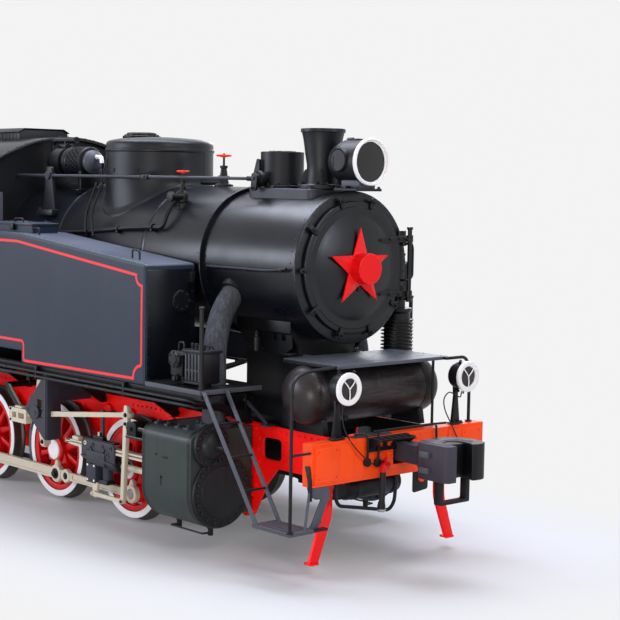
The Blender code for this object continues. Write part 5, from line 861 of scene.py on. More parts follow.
def throttle_housing():
    """Throttle housing: plain drum, saddle plate and the long rod back to the cab."""
    z, r = boiler_height, smokebox_radius
    piece = Piece()
    piece.paint = grey_bracket
    plan = plate((1.15, 2.12), (-0.3, 0.3), 0.09)
    low = [(x, y, z + sqrt(r * r - y * y) - 0.02) for x, y in plan]
    top = [(x, y, 3.444) for x, y in plan]
    inner = [(1.635 + (x - 1.635) * 0.988, y * 0.98, 3.45) for x, y in plan]
    piece.loft([low, top, inner])
    for x in (1.22, 1.5, 2.05):
        for side in (-1, 1):
            piece.bolt((x, side * 0.262, 3.45), (0, 0, 1), 0.03, 0.018)
    piece.paint = warm_black
    base, x = 3.4495, 1.345
    piece.turn([(base, 0), (base, 0.245), (base + 0.004, 0.25), (base + 0.026, 0.25), (base + 0.03, 0.246),
        (base + 0.03, 0.216), (3.803, 0.2155), (3.807, 0.213), (3.809, 0.209), (3.811, 0)], (x, 0, 0), "Z",
        72)
    piece.circle_of_bolts((x, 0, base + 0.03), "Z", 0.232, 14, 0.026, 0.018)
    piece.paint = black_casting
    piece.turn([(3.808, 0), (3.808, 0.135), (3.816, 0.135), (3.818, 0.12), (3.818, 0)], (x, 0, 0), "Z", 48)
    h = 3.54
    piece.turn([(-0.345, 0), (-0.345, 0.048), (-0.33, 0.052), (-0.325, 0.075), (-0.3, 0.082),
        (-0.285, 0.082), (-0.28, 0.066), (-0.2, 0.066), (-0.2, 0)], (x, 0, h), "Y", 32)
    piece.circle_of_bolts((x, -0.325, h), "-Y", 0.066, 6, 0.018, 0.012)
    crank = rounded([(x - 0.045, h - 0.12), (x + 0.035, h - 0.12), (x + 0.055, h + 0.02),
        (x + 0.02, h + 0.06), (x - 0.035, h + 0.05)], 0.025)
    piece.slab(crank, "xz", (-0.372, -0.345), bevel=0.004)
    piece.bolt((x, -0.372, h + 0.005), (0, -1, 0), 0.036, 0.02)
    piece.bolt((x - 0.005, -0.372, h - 0.09), (0, -1, 0), 0.026, 0.03)
    piece.slab(rounded([(x - 0.16, h - 0.1), (x - 0.05, h - 0.1), (x - 0.06, h + 0.19),
        (x - 0.1, h + 0.2), (x - 0.15, h + 0.05)], 0.03), "xz", (-0.25, -0.222), bevel=0.004)
    piece.tube([(-2.75, -0.62, h), (-0.16, -0.62, h)], 0.0165, 16)
    piece.tube([(-0.06, -0.615, h), (x - 0.06, -0.357, h)], 0.0165, 16)
    piece.bar((-0.175, -0.62, h), (-0.145, -0.62, h), 0.024, steps=20)
    knuckle = rounded([(-0.165, h - 0.026), (-0.05, h - 0.026), (-0.05, h + 0.026),
        (-0.165, h + 0.026)], 0.02)
    for ys in ((-0.648, -0.628), (-0.612, -0.592)):
        piece.slab(knuckle, "xz", ys, bevel=0.003)
    piece.bolt((-0.1, -0.648, h), (0, -1, 0), 0.03, 0.016)
    piece.bar((x - 0.1, -0.365, h), (x - 0.045, -0.352, h), 0.024, steps=16)
    bx, foot_z = -1.93, z + sqrt(cladding_radius ** 2 - 0.6 ** 2)
    piece.slab(rounded([(bx - 0.13, foot_z - 0.03), (bx + 0.13, foot_z - 0.03), (bx + 0.05, h + 0.1),
        (bx - 0.05, h + 0.1)], 0.025), "xz", (-0.64, -0.6), bevel=0.004)
    piece.bar((bx, -0.665, h), (bx, -0.58, h), 0.045, steps=20)
    piece.box((bx - 0.16, bx + 0.16), (-0.7, -0.56), (foot_z - 0.06, foot_z + 0.01), 0.006)
    for dx in (-0.12, 0.12):
        piece.bolt((bx + dx, -0.675, foot_z + 0.01), (0, 0, 1), 0.026, 0.018)
    piece.done("throttle_housing_and_rod", replaces=("throttle_housing",), angle=28)


chimney()
throttle_housing()


def dome():
    """Dome: flared foot on the barrel, casing with its seams, band and clips, and a bolted lid."""
    cx, r, z, barrel = -0.7, 0.583, boiler_height, cladding_radius
    steps = 128
    turns = [tau * i / steps for i in range(steps)]

    def on_barrel(radius, rise):
        """Ring that follows the barrel's curve."""
        return [(cx + radius * cos(t), radius * sin(t),
            z + sqrt(max((barrel + rise) ** 2 - (radius * sin(t)) ** 2, 0.0))) for t in turns]

    def flat(radius, height):
        """Level ring."""
        return [(cx + radius * cos(t), radius * sin(t), height) for t in turns]

    piece = Piece()
    piece.paint = warm_black
    piece.loft([on_barrel(r - 0.02, -0.02), on_barrel(r + 0.045, -0.006), on_barrel(r + 0.046, 0.006),
        on_barrel(r + 0.03, 0.01), on_barrel(r + 0.01, 0.018), on_barrel(r + 0.002, 0.034), flat(r, 3.5),
        flat(r, 3.806), flat(r + 0.007, 3.81), flat(r + 0.009, 3.815), flat(r + 0.009, 3.838),
        flat(r + 0.007, 3.843), flat(r, 3.846), flat(r, 3.894), flat(r - 0.004, 3.905),
        flat(r - 0.012, 3.916), flat(r - 0.03, 3.928), flat(r - 0.07, 3.938), flat(r * 0.75, 3.952),
        flat(r * 0.5, 3.964), flat(r * 0.25, 3.972), flat(0.01, 3.974)])
    piece.paint = black_casting
    piece.turn([(3.955, 0.12), (3.955, 0.205), (3.965, 0.21), (3.988, 0.21), (3.992, 0.205), (3.992, 0.165),
        (3.985, 0.16)], (cx - 0.34, 0, 0), "Z", 56, closed=True)
    piece.turn([(3.955, 0), (3.955, 0.17), (4.018, 0.165), (4.026, 0.155), (4.03, 0.12), (4.03, 0)],
        (cx - 0.34, 0, 0), "Z", 56)
    piece.circle_of_bolts((cx - 0.34, 0, 3.992), "Z", 0.186, 10, 0.024, 0.014)
    for t in (radians(-128), radians(18), radians(150)):
        out = round_z(t)
        piece.bar(Vector((cx, 0, 3.52)) + out * r, Vector((cx, 0, 3.8)) + out * r, 0.0035, steps=8)
    for degrees, height in ((-112, 3.68), (-95, 3.61), (-62, 3.61), (70, 3.68), (110, 3.68)):
        out = round_z(radians(degrees))
        across = Vector((-out.y, out.x, 0))
        base = Vector((cx, 0, height)) + out * (r - 0.004)
        half = 0.045 if height > 3.65 else 0.02
        corners = [base + across * a * 0.028 + Vector((0, 0, b * half))
            for a, b in ((-1, -1), (1, -1), (1, 1), (-1, 1))]
        piece.loft([[corner + out * d for corner in corners] for d in (0.0, 0.012)])
    for i in range(16):
        out = round_z(tau * (i + 0.5) / 16)
        piece.rivet(Vector((cx, 0, 3.8265)) + out * (r + 0.009), out, 0.014)
    piece.done("steam_dome_casing", replaces=("dome",), angle=40)


dome()


def boiler_valves():
    """Two screw-down valves ahead of the dome and the feed pipe that runs back from the nearer one."""
    z = boiler_height
    piece = Piece()
    piece.paint = black_casting
    near, far = Vector((0.378, -0.5, 0)), Vector((0.418, 0.0, 0))
    foot = z + sqrt(cladding_radius ** 2 - 0.25)
    piece.turn([(foot - 0.05, 0), (foot - 0.05, 0.058), (foot + 0.015, 0.058), (foot + 0.02, 0.034),
        (3.285, 0.032), (3.29, 0.05), (3.325, 0.056), (3.365, 0.056), (3.39, 0.044), (3.405, 0.03),
        (3.43, 0.03), (3.432, 0.038), (3.455, 0.038), (3.46, 0.024), (3.5, 0.022), (3.502, 0.03),
        (3.52, 0.03), (3.522, 0.011), (3.6, 0.01), (3.6, 0)], near, "Z", 32)
    handwheel(piece, near + Vector((0, 0, 3.602)), (0, 0, 1), 0.056, 0.009, 4)
    piece.paint = black_casting
    piece.turn([(-0.16, 0), (-0.16, 0.03), (-0.155, 0.052), (-0.125, 0.052), (-0.12, 0.034), (0.0, 0.034)],
        near + Vector((0.02, -0.03, 3.345)), "Y", 24)
    piece.turn([(-0.15, 0), (-0.15, 0.05), (-0.125, 0.05), (-0.12, 0.03), (0.0, 0.03), (0.0, 0)],
        near + Vector((-0.03, 0, 3.345)), "X", 24)
    piece.turn([(3.43, 0), (3.43, 0.1), (3.475, 0.1), (3.49, 0.055), (3.53, 0.045), (3.535, 0.062),
        (3.565, 0.062), (3.57, 0.04), (3.64, 0.03), (3.645, 0.04), (3.67, 0.04), (3.672, 0.012),
        (3.772, 0.011), (3.772, 0)], far, "Z", 32)
    handwheel(piece, far + Vector((0, 0, 3.774)), (0, 0, 1), 0.072, 0.0105, 4, 0.4)
    piece.paint = black_casting
    piece.ring((-0.36, 0.0), (0, 0.034), far + Vector((0, 0, 3.5)), "X", 20)
    feed = eased([(-2.6, -0.71, 2.86), (-1.1, -0.715, 2.935), (-0.3, -0.72, 3.005), (0.1, -0.716, 3.027),
        (0.335, -0.715, 3.03), (0.345, -0.68, 3.16), (0.35, -0.6, 3.28), (0.365, -0.54, 3.335)], 0.07, 8)
    piece.tube(feed, 0.022, 20)
    for x, up in ((-1.02, 2.939), (-0.45, 2.992), (0.16, 3.033)):
        piece.ring((-0.014, 0.014), (0.02, 0.034), (x, -0.717, up), "X", 24)
        piece.box((x - 0.014, x + 0.014), (-0.745, -0.68), (up - 0.045, up - 0.02), 0.003)
    for points in (((-1.01, -0.6, 3.468), (-1.01, -0.62, 3.456), (-0.986, -0.765, 3.144),
            (-0.948, -0.8, 2.935)), ((-0.9, -0.6, 3.468), (-0.9, -0.62, 3.457), (-0.89, -0.765, 3.146),
            (-0.795, -0.8, 2.905))):
        piece.tube(eased(points, 0.1, 8), 0.012, 14)
        for x, y, up in points[1:3]:
            piece.bar((x, y, up - 0.02), (x, y, up + 0.02), 0.017, steps=6)
    piece.done("boiler_valves_and_feed_pipe", replaces=("valve_right", "valve_top"), angle=28)


boiler_valves()


def headlamp():
    """Headlamp: deep casing, white rim round the dark glass, smooth side boss and its grey seat."""
    z = 3.712
    piece = Piece()
    piece.paint = black_casting
    piece.turn([(2.13, 0), (2.131, 0.05), (2.136, 0.085), (2.15, 0.118), (2.175, 0.15), (2.21, 0.176),
        (2.25, 0.193), (2.29, 0.201), (2.3, 0.204), (2.305, 0.208), (2.325, 0.208), (2.33, 0.204),
        (2.545, 0.204), (2.548, 0.214), (2.585, 0.216), (2.59, 0.205), (2.59, 0.186), (2.575, 0.182),
        (2.5, 0.13), (2.45, 0.06), (2.44, 0)], (0, 0, z), "X", 96)
    piece.paint = white_line
    piece.turn([(2.586, 0.188), (2.586, 0.216), (2.59, 0.22), (2.624, 0.221), (2.63, 0.217),
        (2.63, 0.205), (2.622, 0.2), (2.606, 0.198), (2.604, 0.188)], (0, 0, z), "X", 96, closed=True)
    piece.paint = lamp_bowl
    bowl = [(2.458 + 0.122 * (i / 8) ** 2, 0.18 * i / 8 + 0.004) for i in range(9)]
    piece.turn([*bowl, (2.584, 0.18), (2.462, 0.001)], (0, 0, z), "X", 72, closed=True)
    piece.paint = brass
    piece.bar((2.455, 0, z), (2.5, 0, z), 0.022)
    piece.paint = dark_lens
    piece.turn([(2.505, 0), (2.508, 0.018), (2.52, 0.026), (2.54, 0.026), (2.552, 0.016), (2.556, 0)],
        (0, 0, z), "X", 24)
    piece.turn([(2.598, 0), (2.597, 0.07), (2.594, 0.13), (2.59, 0.187), (2.596, 0.187), (2.601, 0.13),
        (2.604, 0.07), (2.606, 0)], (0, 0, z), "X", 72)
    piece.paint = black_casting
    piece.turn([(-0.218, 0), (-0.218, 0.092), (-0.222, 0.097), (-0.226, 0.104), (-0.222, 0.112),
        (-0.206, 0.115), (-0.13, 0.115), (-0.13, 0)], (2.384, 0, z + 0.017), "Y", 56)
    for side in (-1, 1):
        piece.box((2.3, 2.33), on_side(side, 0.19, 0.222), (z - 0.05, z + 0.05), 0.004)
    piece.bar((2.3, 0, z + 0.2), (2.36, 0, z + 0.2), 0.03, steps=20)
    piece.box((2.35, 2.46), (-0.035, 0.035), (z + 0.195, z + 0.218), 0.006)
    piece.paint = step_paint
    piece.slab(plate((2.315, 2.565), (-0.105, 0.105), 0.012), "xy", (3.462, 3.545), bevel=0.004)
    piece.paint = black_casting
    piece.slab(plate((2.27, 2.6), (-0.165, 0.165), 0.02), "xy", (3.4375, 3.463), bevel=0.003)
    for x in (2.295, 2.575):
        for side in (-1, 1):
            piece.bolt((x, side * 0.14, 3.463), (0, 0, 1), 0.026, 0.018)
    piece.bar((2.44, -0.17, 3.475), (2.44, 0.17, 3.475), 0.011)
    piece.done("headlamp_with_white_rim", replaces=("headlamp",), angle=30)


def turbo_generator():
    """Turbo generator: drum, cooling mesh, end cap with its outlet, and the tall exhaust."""
    y, z = -0.25, 3.7
    piece = Piece()
    piece.paint = warm_black
    piece.turn([(-2.41, 0), (-2.41, 0.1), (-2.4, 0.118), (-2.375, 0.135), (-2.33, 0.148), (-2.27, 0.15),
        (-2.265, 0.166), (-2.1, 0.166), (-2.095, 0.124), (-2.03, 0.122), (-2.025, 0.158), (-2.02, 0.17),
        (-1.985, 0.17), (-1.98, 0.16), (-1.955, 0.16), (-1.95, 0.158), (-1.7, 0.158), (-1.695, 0.166),
        (-1.675, 0.168), (-1.66, 0.16), (-1.655, 0.13), (-1.63, 0.11), (-1.63, 0)], (0, y, z), "X", 80)
    for i in range(9):
        x = -1.935 + 0.0285 * i
        piece.turn([(x - 0.006, 0.15), (x - 0.005, 0.166), (x + 0.005, 0.166), (x + 0.006, 0.15)], (0, y, z),
            "X", 72, closed=True)
    for twist in (-1, 1):
        for k in range(20):
            points = []
            for i in range(9):
                t = tau * k / 20 + twist * 0.9 * i / 8
                points.append((-1.94 + 0.235 * i / 8, y + 0.167 * cos(t), z + 0.167 * sin(t)))
            piece.tube(points, 0.0035, 6)
    piece.paint = step_paint
    piece.turn([(-1.632, 0.0), (-1.632, 0.128), (-1.625, 0.132), (-1.6, 0.128), (-1.575, 0.108),
        (-1.555, 0.075), (-1.548, 0.04), (-1.546, 0)], (0, y, z), "X", 64)
    piece.paint = black_casting
    piece.circle_of_bolts((-2.02, y, z), "X", 0.145, 12, 0.02, 0.012)
    piece.circle_of_bolts((-1.6, y, z), "X", 0.095, 8, 0.02, 0.012)
    for x in (-2.36, -1.72):
        piece.box((x, x + 0.06), (y - 0.14, y + 0.14), (3.35, 3.6), 0.008)
        piece.box((x - 0.03, x + 0.09), (y - 0.19, y + 0.19), (3.375, 3.395), 0.004)
    piece.box((-2.25, -2.1), (y - 0.06, y + 0.06), (z + 0.155, z + 0.2), 0.01)
    piece.bar((-2.175, y, z + 0.19), (-2.175, y, z + 0.235), 0.022)
    piece.paint = white_line
    piece.tube(eased([(-1.57, y, z + 0.055), (-1.455, y, z + 0.055), (-1.43, y - 0.01, z - 0.02)], 0.05),
        0.024, 18)
    piece.paint = black_casting
    piece.bar((-1.43, y - 0.01, z - 0.015), (-1.428, y - 0.012, z - 0.06), 0.03, steps=18)
    piece.tube(eased([(-1.43, y - 0.01, z - 0.03), (-1.4, y - 0.015, z - 0.2), (-1.38, y - 0.1, 3.4)],
        0.08), 0.014, 12)
    piece.paint = warm_black
    pipe_y = y + 0.008
    piece.tube(eased([(-2.38, pipe_y, z + 0.011), (-2.45, pipe_y, z + 0.011), (-2.45, pipe_y, 3.945),
        (-1.97, pipe_y, 3.945)], 0.08, 10), 0.03, 24)
    piece.ring((-2.0, -1.965), (0.026, 0.04), (0, pipe_y, 3.945), "X", 24)
    piece.done("turbo_generator_set", replaces=("turbo_generator",), angle=28)


headlamp()
turbo_generator()


def ribbon(points, width):
    """Outer and inner outline of a line of even width that follows the closed points."""
    rings = []
    for way in (0.5, -0.5):
        ring = []
        for i, point in enumerate(points):
            before, after = Vector(points[i - 1]), Vector(points[(i + 1) % len(points)])
            point = Vector(point)
            a, b = (point - before).normalized(), (after - point).normalized()
            n, m = Vector((a.y, -a.x)), Vector((b.y, -b.x))
            ring.append(tuple(point + (n + m) / (1 + n.dot(m)) * width * way))
        rings.append(ring)
    return rings


def tank_details(side, word):
    """Side tanks: coral lining, edge rivets, filler hinge blocks and the plates on the front end."""
    line = [(-2.42, 2.836), (-1.346, 2.837), (0.835, 2.598)]
    line += arc((0.93, 2.592), 0.096, range(186, 271, 12))
    line += [(0.9255, 1.74)]
    line += arc((0.928, 1.59), 0.135, range(96, 181, 12))
    line += [(-1.19, 1.568), (-1.205, 1.578), (-1.213, 1.6), (-1.213, 1.74), (-1.225, 1.765),
        (-1.25, 1.777), (-2.42, 1.777)]
    line += arc((-2.52, 1.777), 0.1, range(8, 83, 12))
    line += [(-2.52, 1.877), (-2.52, 2.736)]
    line += arc((-2.52, 2.836), 0.1, range(278, 353, 12))
    outer, inner = ribbon(line, 0.028)
    piece = Piece(side)
    piece.paint = coral_line
    piece.slab(outer, "xz", (1.398, 1.4015), [inner])
    piece.done(f"coral_tank_lining_{word}", angle=40)
    piece = Piece(side)
    piece.paint = tank_enamel
    slope = atan2(2.924 - 2.704, 2.29)
    for i in range(34):
        x = 0.93 - 0.105 * i
        top, lean = (2.704 + (0.985 - x) * tan(slope), sin(slope)) if x > -1.305 else (2.924, 0)
        for y in (1.36, 0.83):
            piece.rivet((x, y, top), (lean, 0, 1), 0.014)
    for i in range(11):
        for y in (1.355, 0.835):
            piece.rivet((0.985, y, 1.6 + 0.104 * i), (1, 0, 0), 0.014)
    # Black sheet over the tank's front face, darker than the tank's blue-black enamel: painted shade
    piece.paint = black_enamel
    piece.slab(plate((0.8, 1.376), (1.575, 2.655), 0.02), "yz", (0.9835, 0.9868), bevel=0.001)
    # Pale bead down the tank's front corner: a painted highlight of the rounded edge
    piece.paint = painted_highlight_edge
    piece.tube([(0.978, 1.393, 1.56), (0.978, 1.393, 2.685)], 0.0075, 12)
    piece.paint = black_casting
    piece.turn([(0.984, 0), (0.984, 0.105), (0.99, 0.108), (1.000, 0.108), (1.004, 0.102), (1.004, 0)],
        (0, 0.97, 2.34), "X", 40)
    piece.circle_of_bolts((1.004, 0.97, 2.34), "X", 0.085, 8, 0.02, 0.012)
    piece.box((0.984, 1.02), (0.82, 0.88), (2.52, 2.62), 0.006)
    for x, heights in ((-1.2, (2.9, 2.98, 2.98, 2.9)), (0.62, (2.71, 2.83, 2.82, 2.7))):
        handle = [(x + dx, 1.25, up) for dx, up in zip((-0.06, -0.06, 0.06, 0.06), heights)]
        piece.tube(eased(handle, 0.03), 0.01, 12)
    piece.turn([(2.85, 0), (2.85, 0.045), (2.925, 0.045), (2.93, 0.062), (2.955, 0.062), (2.962, 0.05),
        (2.965, 0)], (-2.25, 1.05, 0), "Z", 28)
    piece.bolt((-2.25, 1.05, 2.965), (0, 0, 1), 0.04, 0.03)
    for x in (-1.86, -1.43):
        piece.box((x - 0.03, x + 0.03), (0.89, 0.945), (2.92, 3.012), 0.006)
    piece.done(f"tank_rivets_and_fittings_{word}")
    lid = Piece(side)
    lid.paint = tank_enamel
    z = 3.0
    lid.slab(plate((-2.035, -1.255), (0.9255, 1.275), 0.025), "xy", (z, z + 0.025), bevel=0.006)
    lid.slab(plate((-1.98, -1.31), (0.98, 1.22), 0.03), "xy", (z + 0.024, z + 0.032), bevel=0.004)
    lid.paint = black_casting
    for x in (-1.86, -1.43):
        lid.slab(rounded([(x - 0.03, 0.925), (x + 0.03, 0.925), (x + 0.018, 1.2), (x - 0.018, 1.2)],
            0.012), "xy", (z + 0.024, z + 0.038), bevel=0.003)
        lid.bar((x - 0.035, 0.925, z + 0.0125), (x + 0.035, 0.925, z + 0.0125), 0.014, steps=16)
        for y in (0.99, 1.15):
            lid.rivet((x, y, z + 0.038), (0, 0, 1), 0.022)
    lid.tube(eased([(-1.55, 1.2, z + 0.02), (-1.55, 1.2, z + 0.07), (-1.72, 1.2, z + 0.07),
        (-1.72, 1.2, z + 0.02)], 0.03), 0.009, 12)
    lid.box((-1.665, -1.605), (1.26, 1.3), (z - 0.055, z + 0.02), 0.005)
    lid.done(f"filler_hatch_lid_{word}", f"filler_lid_{word}", (f"filler_lid_{word}",))


both_sides(tank_details)


def wheel(place, axle_x, side, word):
    """Wheels: flanged tyre with its white face, red rim, nine tapered spokes with the crank web in the tenth
    place, balance weight and hub.
    """
    piece = Piece(side)
    centre = (axle_x, 0, tread_radius)
    piece.paint = tyre_steel
    piece.turn([(0.72, 0.405), (0.72, 0.536), (0.723, 0.547), (0.729, 0.554), (0.738, 0.555), (0.747, 0.551),
        (0.753, 0.542), (0.76, 0.533), (0.772, 0.528), (0.8, 0.5262), (0.85, 0.5245), (0.856, 0.522),
        (0.8595, 0.517), (0.8595, 0.455), (0.855, 0.451), (0.842, 0.449), (0.842, 0.405)], centre, "Y", 112,
        closed=True)
    piece.paint = white_line
    piece.turn([(0.8585, 0.4535), (0.861, 0.455), (0.8615, 0.458), (0.8615, 0.514), (0.861, 0.517),
        (0.8585, 0.5185)], centre, "Y", 112, closed=True)
    piece.paint = wheel_enamel
    piece.turn([(0.742, 0.392), (0.742, 0.449), (0.846, 0.449), (0.85, 0.446), (0.85, 0.406),
        (0.846, 0.396), (0.84, 0.392)], centre, "Y", 112, closed=True)
    turn = radians(crank_turns[word])
    pin = (axle_x + crank_throw * cos(turn), tread_radius + crank_throw * sin(turn))
    middle = Vector((axle_x, 0.79, tread_radius))
    for i in range(1, 10):
        t = turn + tau * i / 10
        way = Vector((cos(t), 0, sin(t)))
        across = Vector((-way.z, 0, way.x))
        rings = []
        for reach, half, deep in ((0.1, 0.052, 0.046), (0.17, 0.043, 0.04), (0.28, 0.031, 0.03),
                (0.36, 0.031, 0.03), (0.4, 0.044, 0.038)):
            ring = []
            for k in range(16):
                a = tau * k / 16
                c, s = cos(a), sin(a)
                ring.append(middle + way * reach + across * half * copysign(abs(c) ** 0.6, c)
                    + Vector((0, deep * copysign(abs(s) ** 0.6, s), 0)))
            rings.append(ring)
        piece.loft(rings)
    weight = []
    for i in range(25):
        a = turn + pi + radians(-52 + 104 * i / 24)
        weight.append((axle_x + 0.402 * cos(a), tread_radius + 0.402 * sin(a)))
    for i in range(13):
        a = turn + pi + radians(52 - 104 * i / 12)
        reach = 0.24 + 0.03 * cos(radians(104 * (i / 12 - 0.5)) * 1.5)
        weight.append((axle_x + reach * cos(a), tread_radius + reach * sin(a)))
    piece.slab(weight, "xz", (0.752, 0.848), bevel=0.006)
    web = []
    for cx, cz, radius, a0 in ((axle_x, tread_radius, 0.135, turn + pi / 2), (*pin, 0.092, turn - pi / 2)):
        for i in range(13):
            a = a0 + pi * i / 12
            web.append((cx + radius * cos(a), cz + radius * sin(a)))
    piece.slab(web, "xz", (0.755, 0.858), bevel=0.008)
    a, b = (axle_x + 0.36 * cos(turn), tread_radius + 0.36 * sin(turn)), 0.045
    n = (-sin(turn), cos(turn))
    piece.slab([(a[0] + n[0] * b - 0.06 * cos(turn), a[1] + n[1] * b - 0.06 * sin(turn)),
        (a[0] - n[0] * b - 0.06 * cos(turn), a[1] - n[1] * b - 0.06 * sin(turn)),
        (a[0] - n[0] * b * 1.2 + 0.045 * cos(turn), a[1] - n[1] * b * 1.2 + 0.045 * sin(turn)),
        (a[0] + n[0] * b * 1.2 + 0.045 * cos(turn), a[1] + n[1] * b * 1.2 + 0.045 * sin(turn))],
        "xz", (0.76, 0.835), bevel=0.01)
    piece.turn([(0.69, 0.086), (0.69, 0.148), (0.695, 0.152), (0.872, 0.152), (0.88, 0.149), (0.888, 0.14),
        (0.89, 0.13), (0.89, 0.086)], centre, "Y", 72, closed=True)
    piece.turn([(0.78, 0.04), (0.78, 0.098), (0.9, 0.098), (0.906, 0.095), (0.91, 0.088), (0.91, 0.04)],
        (pin[0], 0, pin[1]), "Y", 48, closed=True)
    piece.paint = white_line
    piece.turn([(0.7, 0), (0.7, 0.1085), (0.894, 0.1085), (0.9, 0.106), (0.9035, 0.1), (0.904, 0.045),
        (0.902, 0.04), (0.902, 0)], centre, "Y", 64)
    piece.paint = bright_steel
    piece.turn([(0.79, 0), (0.79, 0.0445), (0.972, 0.0445), (0.975, 0.0415), (0.975, 0)],
        (pin[0], 0, pin[1]), "Y", 40)
    piece.paint = black_casting
    if place != "front":
        piece.turn([(0.9735, 0), (0.9735, 0.058), (0.98, 0.058), (0.982, 0.055), (0.982, 0)],
            (pin[0], 0, pin[1]), "Y", 32)
        piece.bolt((pin[0], 0.981, pin[1]), (0, 1, 0), 0.07, 0.028)
    piece.done(f"spoked_wheel_{place}_{word}", f"wheelset_{place}", (f"wheel_{place}_{word}",))


for place, axle_x in axles.items():
    for word, side in sides.items():
        wheel(place, axle_x, side, word)
    bar = Piece()
    bar.paint = wheel_enamel
    bar.turn([(-0.695, 0), (-0.695, 0.084), (-0.6, 0.0845), (-0.56, 0.08), (0.56, 0.08), (0.6, 0.0845),
        (0.695, 0.084), (0.695, 0)], (axle_x, 0, tread_radius), "Y", 48)
    bar.done(f"turned_axle_{place}", f"wheelset_{place}", (f"axle_{place}",))


def coupling_rod(side, word):
    """Coupling rods: fluted bars, eyes with bushes and oil cups, knuckle joint behind the front bar."""
    turn = radians(crank_turns[word])
    z = tread_radius + crank_throw * sin(turn)
    eyes = {place: x + crank_throw * cos(turn) for place, x in axles.items()}
    piece = Piece(side)
    piece.paint = cream_enamel
    knuckle = eyes["middle"] + 0.19
    bars = (
        (eyes["rear"] + 0.07, eyes["middle"] - 0.07, 0.0565, 0.9155, 0.9645),
        (knuckle + 0.05, eyes["front"] - 0.07, 0.0415, 0.919, 0.961),
        (eyes["middle"] + 0.07, knuckle - 0.03, 0.05, 0.919, 0.961),
    )
    for a, b, half, low, high in bars:
        outline = rectangle((a, b), (z - half, z + half))
        if b - a > 0.4:
            flute = plate((a + 0.07, b - 0.07), (z - half * 0.58, z + half * 0.58), half * 0.5)
            piece.slab(outline, "xz", (low, high), [flute])
            piece.box((a + 0.06, b - 0.06), (low + 0.014, high - 0.01), (z - half * 0.62, z + half * 0.62),
                0.001)
        else:
            piece.slab(outline, "xz", (low, high), bevel=0.003)
    for place, x in eyes.items():
        piece.turn([(0.9125, 0.0465), (0.9125, 0.088), (0.9145, 0.0935), (0.9185, 0.095), (0.9645, 0.095),
            (0.969, 0.0925), (0.9705, 0.088), (0.9705, 0.0465)], (x, 0, z), "Y", 64, closed=True)
        cup = rounded([(x - 0.046, z + 0.075), (x + 0.046, z + 0.075), (x + 0.022, z + 0.128),
            (x + 0.022, z + 0.145), (x - 0.022, z + 0.145), (x - 0.022, z + 0.128)], 0.008, 3)
        piece.slab(cup, "xz", (0.921, 0.959), bevel=0.003)
        piece.bar((x, 0.94, z + 0.14), (x, 0.94, z + 0.149), 0.01, steps=12)
    piece.turn([(0.9205, 0.0), (0.9205, 0.07), (0.924, 0.074), (0.964, 0.074), (0.967, 0.071), (0.967, 0)],
        (knuckle, 0, z), "Y", 48)
    piece.paint = brass
    for x in eyes.values():
        piece.ring((0.912, 0.9712), (0.0452, 0.055), (x, 0, z), "Y", 40)
    piece.paint = black_casting
    piece.bolt((knuckle, 0.967, z), (0, 1, 0), 0.058, 0.012)
    piece.done(f"fluted_coupling_rod_{word}", f"rods_{word}", (f"coupling_rod_{word}",),
        angle=28)


both_sides(coupling_rod)


